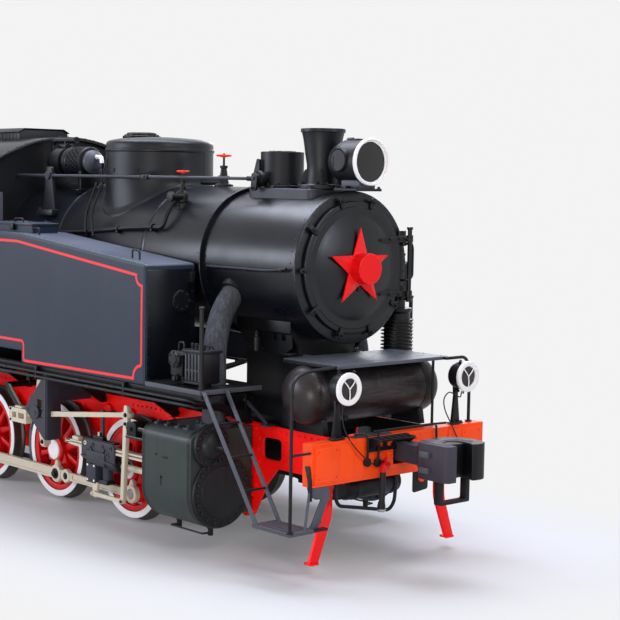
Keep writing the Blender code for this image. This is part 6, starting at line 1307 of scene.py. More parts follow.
def motion(side, word):
    """Motion: slide bars, ribbed crosshead, combination lever, radius rod, curved link and its bracket."""
    piece = Piece(side)
    piece.paint = cream_enamel
    piece.slab([(-0.83, 0.716), (-0.65, 0.701), (0.865, 0.701), (0.865, 0.722), (-0.83, 0.73)], "xz",
        (1.037, 1.123), bevel=0.002)
    piece.slab([(-0.83, 0.742), (0.865, 0.738), (0.865, 0.759), (-0.83, 0.759)], "xz", (1.037, 1.123),
        bevel=0.002)
    piece.box((-0.82, -0.74), (1.037, 1.123), (0.716, 0.759), 0.003)
    piece.box((-0.71, -0.6), (1.045, 1.115), (0.758, 0.8), 0.008)
    piece.paint = grey_bracket
    crosshead = rounded([(-0.497, 0.603), (-0.42, 0.595), (-0.3, 0.575), (-0.1, 0.573), (0.107, 0.575),
        (0.107, 0.77), (0.06, 0.808), (-0.44, 0.808), (-0.497, 0.77)], 0.025)
    piece.slab(crosshead, "xz", (1.117, 1.138), bevel=0.004)
    for x in (-0.42, -0.28, -0.1, 0.04):
        piece.turn([(1.137, 0.01), (1.137, 0.024), (1.146, 0.022), (1.146, 0.01)], (x, 0, 0.765), "Y", 20,
            closed=True)
    for x in (-0.36, -0.02):
        piece.turn([(1.137, 0.014), (1.137, 0.034), (1.145, 0.032), (1.145, 0.014)], (x, 0, 0.69), "Y", 24,
            closed=True)
    for a, b in (((-0.33, 0.74), (-0.2, 0.6)), ((-0.06, 0.74), (-0.19, 0.6)),
            ((-0.195, 0.7), (-0.195, 0.585)), ((-0.49, 0.63), (-0.25, 0.61)), ((-0.14, 0.61), (0.1, 0.6))):
        way = (Vector(b) - Vector(a)).normalized()
        n = Vector((-way.y, way.x)) * 0.009
        a, b = Vector(a), Vector(b)
        piece.slab([tuple(a + n), tuple(a - n), tuple(b - n), tuple(b + n)], "xz", (1.136, 1.153),
            bevel=0.003)
    piece.box((-0.385, -0.055), (1.005, 1.152), (0.555, 0.697), 0.006)
    piece.slab(plate((-0.385, -0.215), (0.362, 0.575), 0.012), "xz", (1.01, 1.152), bevel=0.005)
    piece.turn([(-0.385, 0), (-0.385, 0.075), (-0.2, 0.078), (0.02, 0.078), (0.035, 0.07), (0.07, 0.07),
        (0.075, 0.058), (0.075, 0)], (0, 1.03, 0.58), "X", 40)
    piece.bar((-0.13, 1.05, 0.4), (-0.13, 1.05, 0.57), 0.055, steps=32)
    piece.slab(plate((-0.205, -0.055), (0.362, 0.405), 0.01), "xz", (1.0, 1.12), bevel=0.004)
    piece.paint = black_casting
    piece.box((-0.47, 0.08), (1.05, 1.135), (0.8, 0.822), 0.004)
    piece.box((-0.3, -0.12), (1.07, 1.13), (0.82, 0.862), 0.008)
    piece.bar((-0.21, 1.1, 0.86), (-0.21, 1.1, 0.9), 0.022, steps=20)
    piece.turn([(0.075, 0.036), (0.075, 0.082), (0.1, 0.085), (0.115, 0.08), (0.115, 0.036)],
        (0, 1.03, 0.58), "X", 36, closed=True)
    piece.paint = white_line
    for x in (-0.36, -0.24):
        for z in (0.39, 0.545):
            piece.bar((x, 1.151, z), (x, 1.156, z), 0.013, steps=16)
    piece.paint = cream_enamel
    piece.bar((0.075, 1.03, 0.58), (0.815, 1.03, 0.58), 0.033, steps=28)
    piece.slab(rounded([(-0.29, 0.375), (-0.19, 0.375), (-0.205, 0.232), (-0.22, 0.215), (-0.26, 0.215),
        (-0.275, 0.232)], 0.02), "xz", (1.112, 1.142), bevel=0.003)
    union = rounded([(-0.265, 0.262), (-0.24, 0.291), (-0.18, 0.282), (0.22, 0.28), (0.28, 0.291),
        (0.308, 0.26), (0.28, 0.229), (0.22, 0.24), (-0.18, 0.238), (-0.24, 0.229)], 0.02)
    piece.slab(union, "xz", (1.143, 1.174), bevel=0.003)
    lever = rounded([(0.252, 0.26), (0.26, 0.234), (0.3, 0.234), (0.31, 0.3), (0.334, 0.72), (0.362, 1.02),
        (0.375, 1.1), (0.368, 1.249), (0.312, 1.249), (0.305, 1.1), (0.296, 1.02), (0.284, 0.72)], 0.02)
    piece.slab(lever, "xz", (1.124, 1.169), bevel=0.004)
    slope = atan2(1.15 - 0.89, 0.34 + 1.88)
    back, front = Vector((-1.56, 0.89 + 0.32 * tan(slope))), Vector((0.27, 1.15 - 0.07 * tan(slope)))
    n = Vector((-sin(slope), cos(slope)))
    piece.slab([tuple(back - n * 0.03), tuple(front - n * 0.024), tuple(front + n * 0.024),
        tuple(back + n * 0.03)], "xz", (1.107, 1.148), bevel=0.003)
    piece.slab(rounded([(0.24, 1.11), (0.385, 1.12), (0.388, 1.178), (0.24, 1.172)], 0.02), "xz",
        (1.096, 1.152), bevel=0.004)
    box = plate((-1.899, -1.541), (0.816, 0.974), 0.016)
    piece.slab(box, "xz", (1.092, 1.169), [plate((-1.835, -1.745), (0.865, 0.925), 0.008),
        plate((-1.705, -1.585), (0.865, 0.925), 0.008)])
    piece.box((-1.79, -1.65), (1.1, 1.16), (0.973, 1.0), 0.008)
    link_back, link_front = [], []
    for i in range(17):
        t = i / 16
        z = 0.602 + (1.328 - 0.602) * t
        bow = 0.06 * (1 - (2 * t - 1) ** 2) + 0.1 * (t - 0.5)
        half = 0.034 if 0.12 < t < 0.88 else 0.036 - 0.006 * abs(t - 0.5)
        link_back.append((-1.3 - bow - half, z))
        link_front.append((-1.3 - bow + half, z))
    piece.slab(rounded(link_back + link_front[::-1], 0.004, 2), "xz", (1.072, 1.128), bevel=0.003)
    piece.bar((-1.25, 1.06, 0.66), (-1.25, 1.145, 0.66), 0.044, steps=28)
    piece.slab(rounded([(-2.095, 1.184), (-2.028, 1.214), (-1.762, 0.972), (-1.856, 0.955)], 0.015), "xz",
        (1.072, 1.099), bevel=0.004)
    piece.paint = black_casting
    for x, z, base, size in ((-0.24, 0.26, 1.174, 0.034), (0.28, 0.26, 1.174, 0.034),
            (0.34, 1.15, 1.169, 0.036), (0.338, 1.06, 1.169, 0.03), (-1.25, 0.66, 1.145, 0.04),
            (-1.345, 1.22, 1.128, 0.03), (-1.86, 0.835, 1.168, 0.022), (-1.86, 0.955, 1.168, 0.022)):
        piece.bolt((x, base, z), (0, 1, 0), size, 0.016)
    piece.slab(rounded([(0.4, 0.955), (0.56, 0.955), (0.56, 1.09), (0.5, 1.11), (0.4, 1.09)], 0.012),
        "xz", (1.04, 1.2), bevel=0.006)
    piece.box((0.37, 0.92), (1.06, 1.19), (0.93, 0.955), 0.004)
    piece.bar((0.37, 1.16, 1.03), (0.93, 1.16, 1.03), 0.024, steps=20)
    piece.bolt((0.48, 1.2, 1.03), (0, 1, 0), 0.04, 0.02)
    piece.paint = grey_bracket
    outline = [(-1.508, 0.985), (-1.508, 1.02), (-1.12, 1.425), (-1.072, 1.44), (-1.072, 0.702),
        (-1.14, 0.702)]
    piece.slab(outline, "xz", (1.167, 1.194), [plate((-1.27, -1.17), (0.93, 1.13), 0.008)])
    flange = [(1.195, 0.702), (1.195, 1.44), (1.02, 1.44), (0.632, 1.19), (0.632, 1.112), (1.02, 1.112),
        (1.02, 0.702)]
    piece.slab(flange, "yz", (-1.09, -1.071), bevel=0.003)
    piece.slab([(-1.115, 0.71), (-1.09, 0.71), (-1.09, 1.43), (-1.115, 1.41)], "xz", (1.172, 1.205),
        bevel=0.004)
    piece.turn([(1.07, 0.049), (1.19, 0.049), (1.192, 0.072), (1.206, 0.07), (1.209, 0.052), (1.209, 0)],
        (-1.3, 0, 0.98), "Y", 40)
    piece.bar((-1.3, 1.208, 0.98), (-1.3, 1.214, 0.98), 0.02, steps=20)
    for x, z in ((-1.46, 1.0), (-1.125, 1.39), (-1.125, 0.74)):
        piece.rivet((x, 1.194, z), (0, 1, 0), 0.026)
    piece.done(f"valve_gear_and_crosshead_{word}", replaces=(f"motion_{word}",), angle=28)


def cylinder(side, word):
    """Cylinders in their lagging, with covers, valve chest, fittings and the plastered steam pipe."""
    y, z, r = 1.03, 0.58, 0.36
    back, front, top = 0.93, 1.7, 1.17
    outline = [(0.637, top)] + rounded([(0.637, top), (1.39, top), (1.39, z)], [0, 0.13, 0], 10)[1:]
    low = arc((y, z), r, range(0, -136, -9))
    outline += low[1:] + [(0.637, low[-1][1] + 0.02)]
    outline = [(min(u, 1.3895), v) for u, v in outline][::-1]
    piece = Piece(side)
    piece.paint = lagging
    rings = []
    for x, share in ((back, 0.985), (back + 0.006, 0.998), (back + 0.03, 1.0), (front - 0.03, 1.0),
            (front - 0.006, 0.998), (front, 0.985)):
        rings.append([(x, 1.0 + (u - 1.0) * share, 0.68 + (v - 0.68) * share) for u, v in outline])
    piece.loft(rings)
    piece.paint = cover_casting
    strip = [(1.0 + (u - 1.0) * 1.002, 0.68 + (v - 0.68) * 1.002) for u, v in outline]
    for x in (back + 0.012, front - 0.052):
        piece.loft([[(x, u, v) for u, v in strip], [(x + 0.04, u, v) for u, v in strip]])
    for x in (back + 0.032, front - 0.032):
        for i in range(7):
            piece.rivet((x, 1.3905, 0.6 + 0.075 * i), (0, 1, 0), 0.016)
    face = front - 0.01
    piece.turn([(0.0, 0), (0.0, 0.33), (0.008, 0.345), (0.036, 0.345), (0.045, 0.338), (0.047, 0.3),
        (0.047, 0.255), (0.056, 0.25), (0.057, 0.12), (0.057, 0)], (face, y, z), "X", 96)
    piece.circle_of_bolts((face + 0.046, y, z), "X", 0.305, 20, 0.036, 0.024)
    piece.circle_of_bolts((face + 0.045, y, z), "X", 0.1, 4, 0.022, 0.016)
    piece.turn([(0.0, 0), (0.0, 0.19), (0.006, 0.205), (0.046, 0.205), (0.054, 0.198), (0.056, 0.14),
        (0.062, 0.128), (0.085, 0.115), (0.105, 0.082), (0.118, 0.05), (0.122, 0.036), (0.235, 0.035),
        (0.24, 0.03), (0.24, 0)], (face, 1.16, 1.03), "X", 72)
    piece.circle_of_bolts((face + 0.054, 1.16, 1.03), "X", 0.17, 12, 0.032, 0.022)
    piece.turn([(-0.11, 0), (-0.11, 0.075), (-0.04, 0.08), (-0.035, 0.11), (-0.03, 0.285), (-0.026, 0.29),
        (0.0, 0.29), (0.0, 0)], (back, y, z), "X", 64)
    piece.circle_of_bolts((back - 0.03, y, z), "-X", 0.255, 16, 0.034, 0.022)
    piece.paint = bright_steel
    piece.turn([(0.0, 0), (0.0, 0.023), (0.018, 0.023), (0.02, 0.018), (0.02, 0)], (1.93 - 0.02, 1.16, 1.03),
        "X", 20)
    piece.paint = grey_bracket
    for x, w in ((1.03, 0.05), (1.19, 0.05), (1.36, 0.06), (1.5, 0.08)):
        piece.box((x - w / 2, x + w / 2), (1.22, 1.3), (1.15, 1.186), 0.005)
        piece.bolt((x, 1.26, 1.186), (0, 0, 1), 0.034, 0.022)
    piece.paint = black_casting
    for x, w, up, h in ((1.16, 0.022, 0.9, 0.012), (1.3, 0.05, 0.89, 0.012), (1.245, 0.012, 0.66, 0.05),
            (1.25, 0.02, 0.69, 0.012)):
        piece.box((x - w, x + w), (1.386, 1.3925), (up - h, up + h), 0.002)
    for x in (1.07, 1.56):
        piece.turn([(0.1, 0.012), (0.1, 0.026), (0.16, 0.026), (0.17, 0.034), (0.2, 0.034), (0.21, 0.022),
            (0.235, 0.022)], (x, y, 0.03), "Z", 20, closed=True)
        piece.bar((x, y + 0.01, 0.155), (x, y + 0.1, 0.16), 0.01, steps=12)
    piece.bar((1.07, y + 0.1, 0.16), (1.56, y + 0.1, 0.16), 0.009, steps=12)
    piece.paint = pipe_canvas
    path = eased([(1.37, 0.56, 2.5), (1.41, 0.8, 2.27), (1.47, 0.935, 1.93), (1.5, 0.955, 1.66),
        (1.5, 0.955, 1.145)], 0.28, 8)
    piece.tube(path, 0.1145, 40)
    piece.paint = black_casting
    piece.sweep([(1.374, 0.585, 2.476), (1.384, 0.642, 2.424)], [0.15, 0.142], 40)
    piece.paint = grey_bracket
    piece.turn([(1.165, 0.1), (1.165, 0.175), (1.172, 0.18), (1.2, 0.18), (1.206, 0.174), (1.206, 0.1)],
        (1.5, 0.955, 0), "Z", 48, closed=True)
    piece.circle_of_bolts((1.5, 0.955, 1.205), "Z", 0.15, 8, 0.034, 0.024)
    piece.ring((1.42, 1.45), (0.108, 0.1185), (1.5, 0.955, 0), "Z", 48)
    piece.done(f"lagged_cylinder_and_steam_pipe_{word}",
        replaces=(f"cylinder_{word}",), angle=30)


both_sides(motion, cylinder)


def air_tank():
    """Air tank: rolled shell with weld seams, dished ends, straps and bosses."""
    x, z, r, half = 2.54, 1.57, 0.272, 0.88
    piece = Piece()
    piece.paint = scraped_black
    profile = []
    for i in range(11):
        a = radians(90 * i / 10)
        profile.append((-half + 0.17 * (1 - cos(a)) ** 0.9, r * 0.999 * sin(a) ** 0.8 if i else 0.0))
    profile += [(-y, s) for y, s in reversed(profile)]
    piece.turn(profile, (x, 0, z), "Y", 96)
    for y in (-0.7, -0.02, 0.672):
        piece.turn([(y, r - 0.006), (y + 0.004, r + 0.0008), (y + 0.014, r + 0.0014),
            (y + 0.024, r + 0.0008), (y + 0.028, r - 0.006)], (x, 0, z), "Y", 96, closed=True)
    piece.paint = black_casting
    for side in (-1, 1):
        y = side * 0.63
        piece.ring((y - 0.03, y + 0.03), (r - 0.004, r + 0.0035), (x, 0, z), "Y", 96)
        piece.slab([(x - 0.2, 1.207), (x + 0.2, 1.207), (x + 0.16, z - r * 0.6), (x - 0.16, z - r * 0.6)],
            "xz", (y - 0.034, y + 0.034), bevel=0.004)
        for dx in (-0.17, 0.17):
            piece.bolt((x + dx, y + 0.045 * side * 0.3, 1.24), (0, 0, 1), 0.03, 0.02)
        back, face = side * (half - 0.02), side * (half - 0.001)
        piece.ring((back, face), (0, 0.035), (x, 0, z), "Y", 24)
    piece.bar((x + 0.16, -0.35, z - 0.25), (x + 0.16, -0.35, z - 0.17), 0.022, steps=16)
    piece.paint = step_paint
    for y in (-0.43, -0.15, 0.13, 0.41):
        piece.slab([(x + 0.1, z + 0.255), (x + 0.3, z + 0.262), (x + 0.3, z + 0.272),
            (x + 0.1, z + 0.272)], "xz", (y - 0.02, y + 0.02), bevel=0.002)
    piece.done("air_tank_with_straps", replaces=("air_tank",), angle=30)


air_tank()


def front_platform():
    """Platform in front of the smokebox: deck with slots, rolled edge, posts and the far hoop."""
    top = 1.88
    piece = Piece()
    piece.paint = step_paint
    deck = plate((2.225, 2.966), (-0.717, 0.717), 0.02)
    slots = []
    for y in (-0.42, 0.06, 0.44):
        slots.append(plate((2.56, 2.575), (y, y + 0.1), 0.006))
        slots.append(plate((2.78, 2.795), (y + 0.04, y + 0.14), 0.006))
    piece.slab(deck, "xy", (top - 0.0075, top), slots)
    piece.box((2.96, 2.9705), (-0.72, 0.72), (top - 0.033, top - 0.0005), 0.003)
    for side in (-1, 1):
        piece.box((2.23, 2.965), on_side(side, 0.711, 0.7205), (top - 0.032, top - 0.0005), 0.003)
        piece.paint = black_casting
        piece.bar((2.88, side * 0.615, 1.206), (2.88, side * 0.615, top - 0.006), 0.0135, steps=24)
        piece.turn([(1.206, 0), (1.206, 0.045), (1.218, 0.045), (1.22, 0.02)], (2.88, side * 0.615, 0), "Z",
            24)
        piece.paint = step_paint
        piece.box((2.08, 2.4), on_side(side, 0.3, 0.35), (top - 0.06, top - 0.006), 0.005)
        piece.slab([(2.4, top - 0.03), (2.94, top - 0.03), (2.94, top - 0.012), (2.4, top - 0.012)], "xz",
            on_side(side, 0.3, 0.36), bevel=0.002)
        for x in (2.45, 2.68, 2.91):
            piece.rivet((x, side * 0.69, top), (0, 0, 1), 0.016)
    piece.paint = black_casting
    hoop = eased([(2.99, 0.68, top - 0.018), (3.0, 0.7, top - 0.018), (3.0, 0.95, top - 0.018),
        (3.0, 1.0, 1.72), (3.0, 1.0, 1.232)], 0.12, 10)
    piece.tube(hoop, 0.0158, 20)
    piece.turn([(1.2305, 0.012), (1.2305, 0.034), (1.242, 0.034), (1.244, 0.012)], (3.0, 1.0, 0), "Z", 24,
        closed=True)
    piece.box((2.95, 3.012), (0.655, 0.712), (top - 0.031, top - 0.004), 0.004)
    piece.done("front_platform_and_hoop", replaces=("front_platform",), angle=28)


front_platform()


def front_step():
    """Corner step, ladder and the long hoop rail on the right."""
    piece = Piece(-1)
    piece.paint = step_paint
    x0, x1, y0, y1, top = 2.601, 3.129, 1.101, 1.399, 0.475
    frame_outline = plate((x0, x1), (y0, y1), 0.03)
    gaps = []
    for i in range(9):
        gaps.append(rectangle((x0 + 0.045 + 0.051 * i, x0 + 0.045 + 0.051 * i + 0.027),
            (y0 + 0.035, y1 - 0.035)))
    piece.slab(frame_outline, "xy", (top - 0.012, top), gaps)
    ring = plate((x0 + 0.014, x1 - 0.014), (y0 + 0.014, y1 - 0.014), 0.02)
    piece.slab(frame_outline, "xy", (top - 0.03, top - 0.01), [ring])
    foot, head = Vector((2.66, 0, 0.47)), Vector((1.886, 0, 1.575))
    way = (head - foot).normalized()
    for y in (1.375, 1.108):
        outline = [(foot.x - 0.027, foot.z), (foot.x + 0.027, foot.z), (head.x + 0.027, head.z),
            (head.x - 0.027, head.z)]
        piece.slab(outline, "xz", (y, y + 0.016), bevel=0.003)
        for end in (foot + way * 0.05, head - way * 0.05):
            for face_y, way_y in ((y + 0.016, 1), (y, -1)):
                piece.rivet((end.x, face_y, end.z), (0, way_y, 0), 0.02)
    piece.paint = black_casting
    for i in range(1, 4):
        place = foot + (head - foot) * (i / 4)
        piece.bar((place.x, 1.112, place.z), (place.x, 1.388, place.z), 0.0125, steps=16)
    hoop = eased([(3.11, 1.38, 0.455), (3.11, 1.38, 1.814), (3.02, 1.15, 1.862), (2.94, 0.79, 1.862),
        (2.94, 0.727, 1.862)], 0.14, 10)
    piece.tube(hoop, 0.0158, 20)
    piece.tube([(3.11, 1.38, 1.146), (3.067, 1.31, 1.146), (3.067, 1.122, 1.146)], 0.012, 14)
    piece.turn([(0.473, 0.014), (0.473, 0.032), (0.483, 0.032), (0.485, 0.014)], (3.11, 1.38, 0), "Z", 24,
        closed=True)
    piece.box((3.056, 3.124), (0.942, 1.13), (top - 0.026, top - 0.004), 0.004)
    piece.paint = step_paint
    piece.slab(rounded([(1.1, 0.834), (0.895, 0.834), (0.885, 0.74), (1.0, 0.5), (1.05, 0.455),
        (1.11, 0.445), (1.3, 0.447), (1.3, 0.473), (1.13, 0.476), (1.095, 0.51), (0.985, 0.73),
        (1.1, 0.745)], 0.03), "yz", (3.062, 3.078), bevel=0.003)
    piece.bar((3.075, 1.128, 0.8), (3.1, 1.2, 0.47), 0.013, steps=14)
    piece.paint = black_casting
    piece.slab(rounded([(3.01, 1.03), (3.065, 1.03), (3.1, 0.9), (3.1, 0.72), (3.06, 0.72), (3.05, 0.9)],
        0.012), "xz", (1.116, 1.132), bevel=0.003)
    for z in (0.8, 0.52):
        piece.bar((3.071, 0.99, z), (3.08, 0.99, z), 0.014, steps=6)
    piece.done("corner_step_ladder_and_rail", replaces=("front_step",), angle=28)


front_step()


def lubricator():
    """Mechanical lubricator: two iron boxes with ribs, drive flange and crank."""
    low, outer, inner, back, front, top = 1.5901, 1.33, 1.11, 1.3, 1.78, 1.93
    split = back + (front - back) * 0.46
    piece = Piece(-1)
    piece.paint = black_casting
    piece.box((split, front), (inner, outer), (low + 0.04, top - 0.018), 0.008)
    piece.box((split - 0.019, front + 0.019), (inner - 0.018, outer + 0.019), (top - 0.02, top + 0.009),
        0.004)
    piece.box((back, split - 0.035), (inner, outer), (low + 0.08, top - 0.045), 0.012)
    piece.box((back - 0.01, split - 0.03), (inner + 0.02, outer + 0.012), (top - 0.075, top - 0.052), 0.004)
    piece.box((split + 0.01, front - 0.01), (inner + 0.01, outer + 0.016), (low + 0.03, low + 0.052), 0.004)
    piece.paint = step_paint
    for i in range(5):
        x = split + 0.03 + 0.05 * i
        piece.box((x - 0.007, x + 0.007), (outer - 0.004, outer + 0.012), (low + 0.06, top - 0.03), 0.003)
    piece.box((split + 0.016, front - 0.016), (outer - 0.004, outer + 0.008), (1.735, 1.755), 0.003)
    piece.paint = black_casting
    piece.bar((back + 0.02, 1.22, 1.835), (front - 0.02, 1.22, 1.835), 0.05, steps=24)
    flange_x, shaft = (back + split - 0.02) / 2, low + (top - low) * 0.72
    piece.turn([(1.22, 0), (1.22, 0.075), (1.34, 0.075), (1.345, 0.085), (1.362, 0.085), (1.366, 0.078),
        (1.368, 0.05), (1.378, 0.045), (1.379, 0)], (flange_x, 0, shaft), "Y", 40)
    piece.circle_of_bolts((flange_x, 1.364, shaft), "Y", 0.066, 6, 0.022, 0.012)
    piece.turn([(1.31, 0), (1.31, 0.034), (1.35, 0.034), (1.355, 0.026), (1.372, 0.024), (1.372, 0)],
        (flange_x + 0.005, 0, 1.655), "Y", 24)
    for i in range(4):
        x = split + 0.045 + 0.058 * i
        piece.bar((x, 1.27, top), (x, 1.27, top + 0.05), 0.013, steps=14)
        piece.bolt((x, 1.27, top + 0.05), (0, 0, 1), 0.03, 0.016)
        piece.tube(eased([(x, 1.27, top + 0.03), (x, 1.18, top + 0.045), (x - 0.03, 1.13, top + 0.02),
            (x - 0.05, 1.115, 1.75)], 0.03), 0.0055, 8)
    piece.box((flange_x - 0.019, flange_x + 0.019), (1.18, 1.26), (low, low + 0.12), 0.004)
    piece.box((front - 0.12, front - 0.04), (1.18, 1.26), (low, low + 0.08), 0.004)
    piece.tube(eased([(back + 0.03, 1.25, top - 0.05), (back + 0.03, 1.25, top + 0.055),
        (back + 0.11, 1.25, top + 0.055), (back + 0.11, 1.25, top - 0.05)], 0.03), 0.01, 12)
    piece.done("ribbed_lubricator", replaces=("lubricator",), angle=28)


lubricator()


def beam_lamp(side, word):
    """Beam lamps: bowl, white ring, dark glass, forked wire guard and the stand."""
    y, z = 0.775, 1.7
    piece = Piece(side)
    piece.paint = black_casting
    piece.turn([(3.0, 0), (3.003, 0.05), (3.012, 0.088), (3.032, 0.112), (3.06, 0.126), (3.12, 0.132),
        (3.17, 0.135), (3.17, 0.118), (3.1, 0.1), (3.06, 0)], (0, y, z), "X", 64)
    piece.slab([(y - 0.054, 1.231), (y + 0.054, 1.231), (y + 0.022, 1.5), (y + 0.03, z - 0.1),
        (y - 0.03, z - 0.1), (y - 0.022, 1.5)], "yz", (3.015, 3.045), bevel=0.004)
    piece.box((2.99, 3.075), (y - 0.07, y + 0.07), (1.2305, 1.246), 0.004)
    for dy in (-0.05, 0.05):
        piece.bolt((3.062, y + dy, 1.246), (0, 0, 1), 0.024, 0.016)
    piece.bar((3.05, y, z - 0.135), (3.075, y, z - 0.155), 0.012, steps=12)
    piece.bar((3.14, y - 0.07, z + 0.125), (3.165, y - 0.085, z + 0.155), 0.014, steps=12)
    piece.bar((3.13, y, z - 0.13), (3.13, y, z - 0.17), 0.008, steps=10)
    piece.paint = white_line
    piece.turn([(3.168, 0.098), (3.168, 0.143), (3.172, 0.147), (3.192, 0.147), (3.1985, 0.142),
        (3.2, 0.134), (3.1985, 0.102), (3.19, 0.096)], (0, y, z), "X", 64, closed=True)
    for degrees in (270, 48, 132):
        t = radians(degrees)
        piece.tube([(x, y + reach * cos(t), z + reach * sin(t))
            for x, reach in ((3.194, 0.0), (3.199, 0.05), (3.196, 0.104))], 0.0055, 10)
    piece.paint = lamp_bowl
    bowl = [(3.1 + 0.07 * (i / 6) ** 2, 0.112 * i / 6 + 0.004) for i in range(7)]
    piece.turn([*bowl, (3.172, 0.112), (3.104, 0.001)], (0, y, z), "X", 48, closed=True)
    piece.paint = dark_lens
    piece.turn([(3.184, 0), (3.182, 0.06), (3.174, 0.113), (3.18, 0.113), (3.188, 0.06), (3.19, 0)],
        (0, y, z), "X", 48)
    piece.done(f"beam_lamp_with_wire_guard_{word}", replaces=(f"beam_lamp_{word}",),
        angle=28)


both_sides(beam_lamp)


def running_board(side, word):
    """Running boards: plate, sill, brackets, the two air pipes with their unions, and the pole."""
    top, sill_top, pole_x = 1.585, 1.534, 1.83
    piece = Piece(side)
    piece.paint = black_casting
    bite = arc((1.5, 0.955), 0.146, range(0, 360, 15))
    piece.slab(rectangle((0.988, 1.857), (0.661, 1.399)), "xy", (top - 0.012, top), [bite])
    piece.paint = step_paint
    piece.box((0.988, 1.858), (1.387, 1.3995), (top - 0.046, top - 0.0005), 0.003)
    piece.box((1.846, 1.8585), (0.661, 1.3995), (top - 0.046, top - 0.0005), 0.003)
    piece.paint = black_casting
    sill = (-2.589, 1.837)
    piece.box(sill, (1.295, 1.34), (sill_top - 0.07, sill_top - 0.055), 0.003)
    piece.box(sill, (1.328, 1.34), (sill_top - 0.07, sill_top), 0.003)
    piece.box(sill, (1.29, 1.34), (sill_top - 0.012, sill_top), 0.002)
    piece.box((1.035, 1.808), (1.3, 1.33), (sill_top - 0.01, top - 0.008), 0.002)
    for x in (1.66, 0.5, -0.8, -2.3):
        low, web, lip = (1.19, 1.31, 1.203) if x > 0.93 else (1.11, 1.27, 1.123)
        top_z = 1.662 if x < -1.274 else 1.533
        outline = [(0.6305, low), (0.7, low), (1.02, 1.34), (1.33, 1.4), (1.33, top_z), (0.6305, top_z)]
        cut = rounded([(0.7, web), (0.96, 1.4), (1.22, 1.43), (1.22, 1.49), (0.7, 1.49)], 0.03)
        piece.slab(outline, "yz", (x, x + 0.012), [cut])
        piece.slab([(0.6305, low), (0.7, low), (1.02, 1.34), (1.33, 1.4), (1.33, 1.412), (1.015, 1.352),
            (0.695, lip), (0.6305, lip)], "yz", (x, x + 0.03), bevel=0.002)
        for z in (low + 0.04, 1.3, 1.44):
            piece.bolt((x + 0.021, 0.631, z), (0, 1, 0), 0.026, 0.016)
    for x in (-2.35, -1.00, 0.6):
        piece.box((x, x + 0.025), (1.33, 1.394), (1.392, 1.524), 0.004)
    for z in (1.468, 1.42):
        piece.tube([(-2.58, 1.38, z), (1.6, 1.38, z)], 0.0165, 16)
        for x in ((-1.62, -0.18, 0.42) if z > 1.44 else (-1.5, -0.02, 0.56)):
            piece.bar((x - 0.035, 1.38, z), (x + 0.035, 1.38, z), 0.0195, steps=20)
            for dx in (-0.03, 0.0, 0.03):
                piece.bar((x + dx - 0.008, 1.379, z), (x + dx + 0.008, 1.379, z), 0.0205, steps=6)
        piece.tube(eased([(1.59, 1.38, z), (1.66, 1.37, z), (1.7, 1.33, z - 0.02), (1.72, 1.27, z - 0.02)],
            0.04), 0.0165, 16)
    piece.turn([(1.5, 0.0), (1.5, 0.022), (2.335, 0.0205), (2.338, 0.028), (2.355, 0.028), (2.36, 0.02),
        (2.36, 0)], (pole_x, 1.3695, 0), "Z", 24)
    piece.turn([(1.586, 0.02), (1.586, 0.0295), (1.612, 0.0295), (1.615, 0.02)], (pole_x, 1.3695, 0), "Z",
        24, closed=True)
    for i in range(12):
        for y in (1.37, 0.7):
            piece.rivet((1.03 + 0.072 * i, y, top), (0, 0, 1), 0.016)
    piece.done(f"running_board_and_pipes_{word}", replaces=(f"running_board_{word}",), angle=30)


both_sides(running_board)


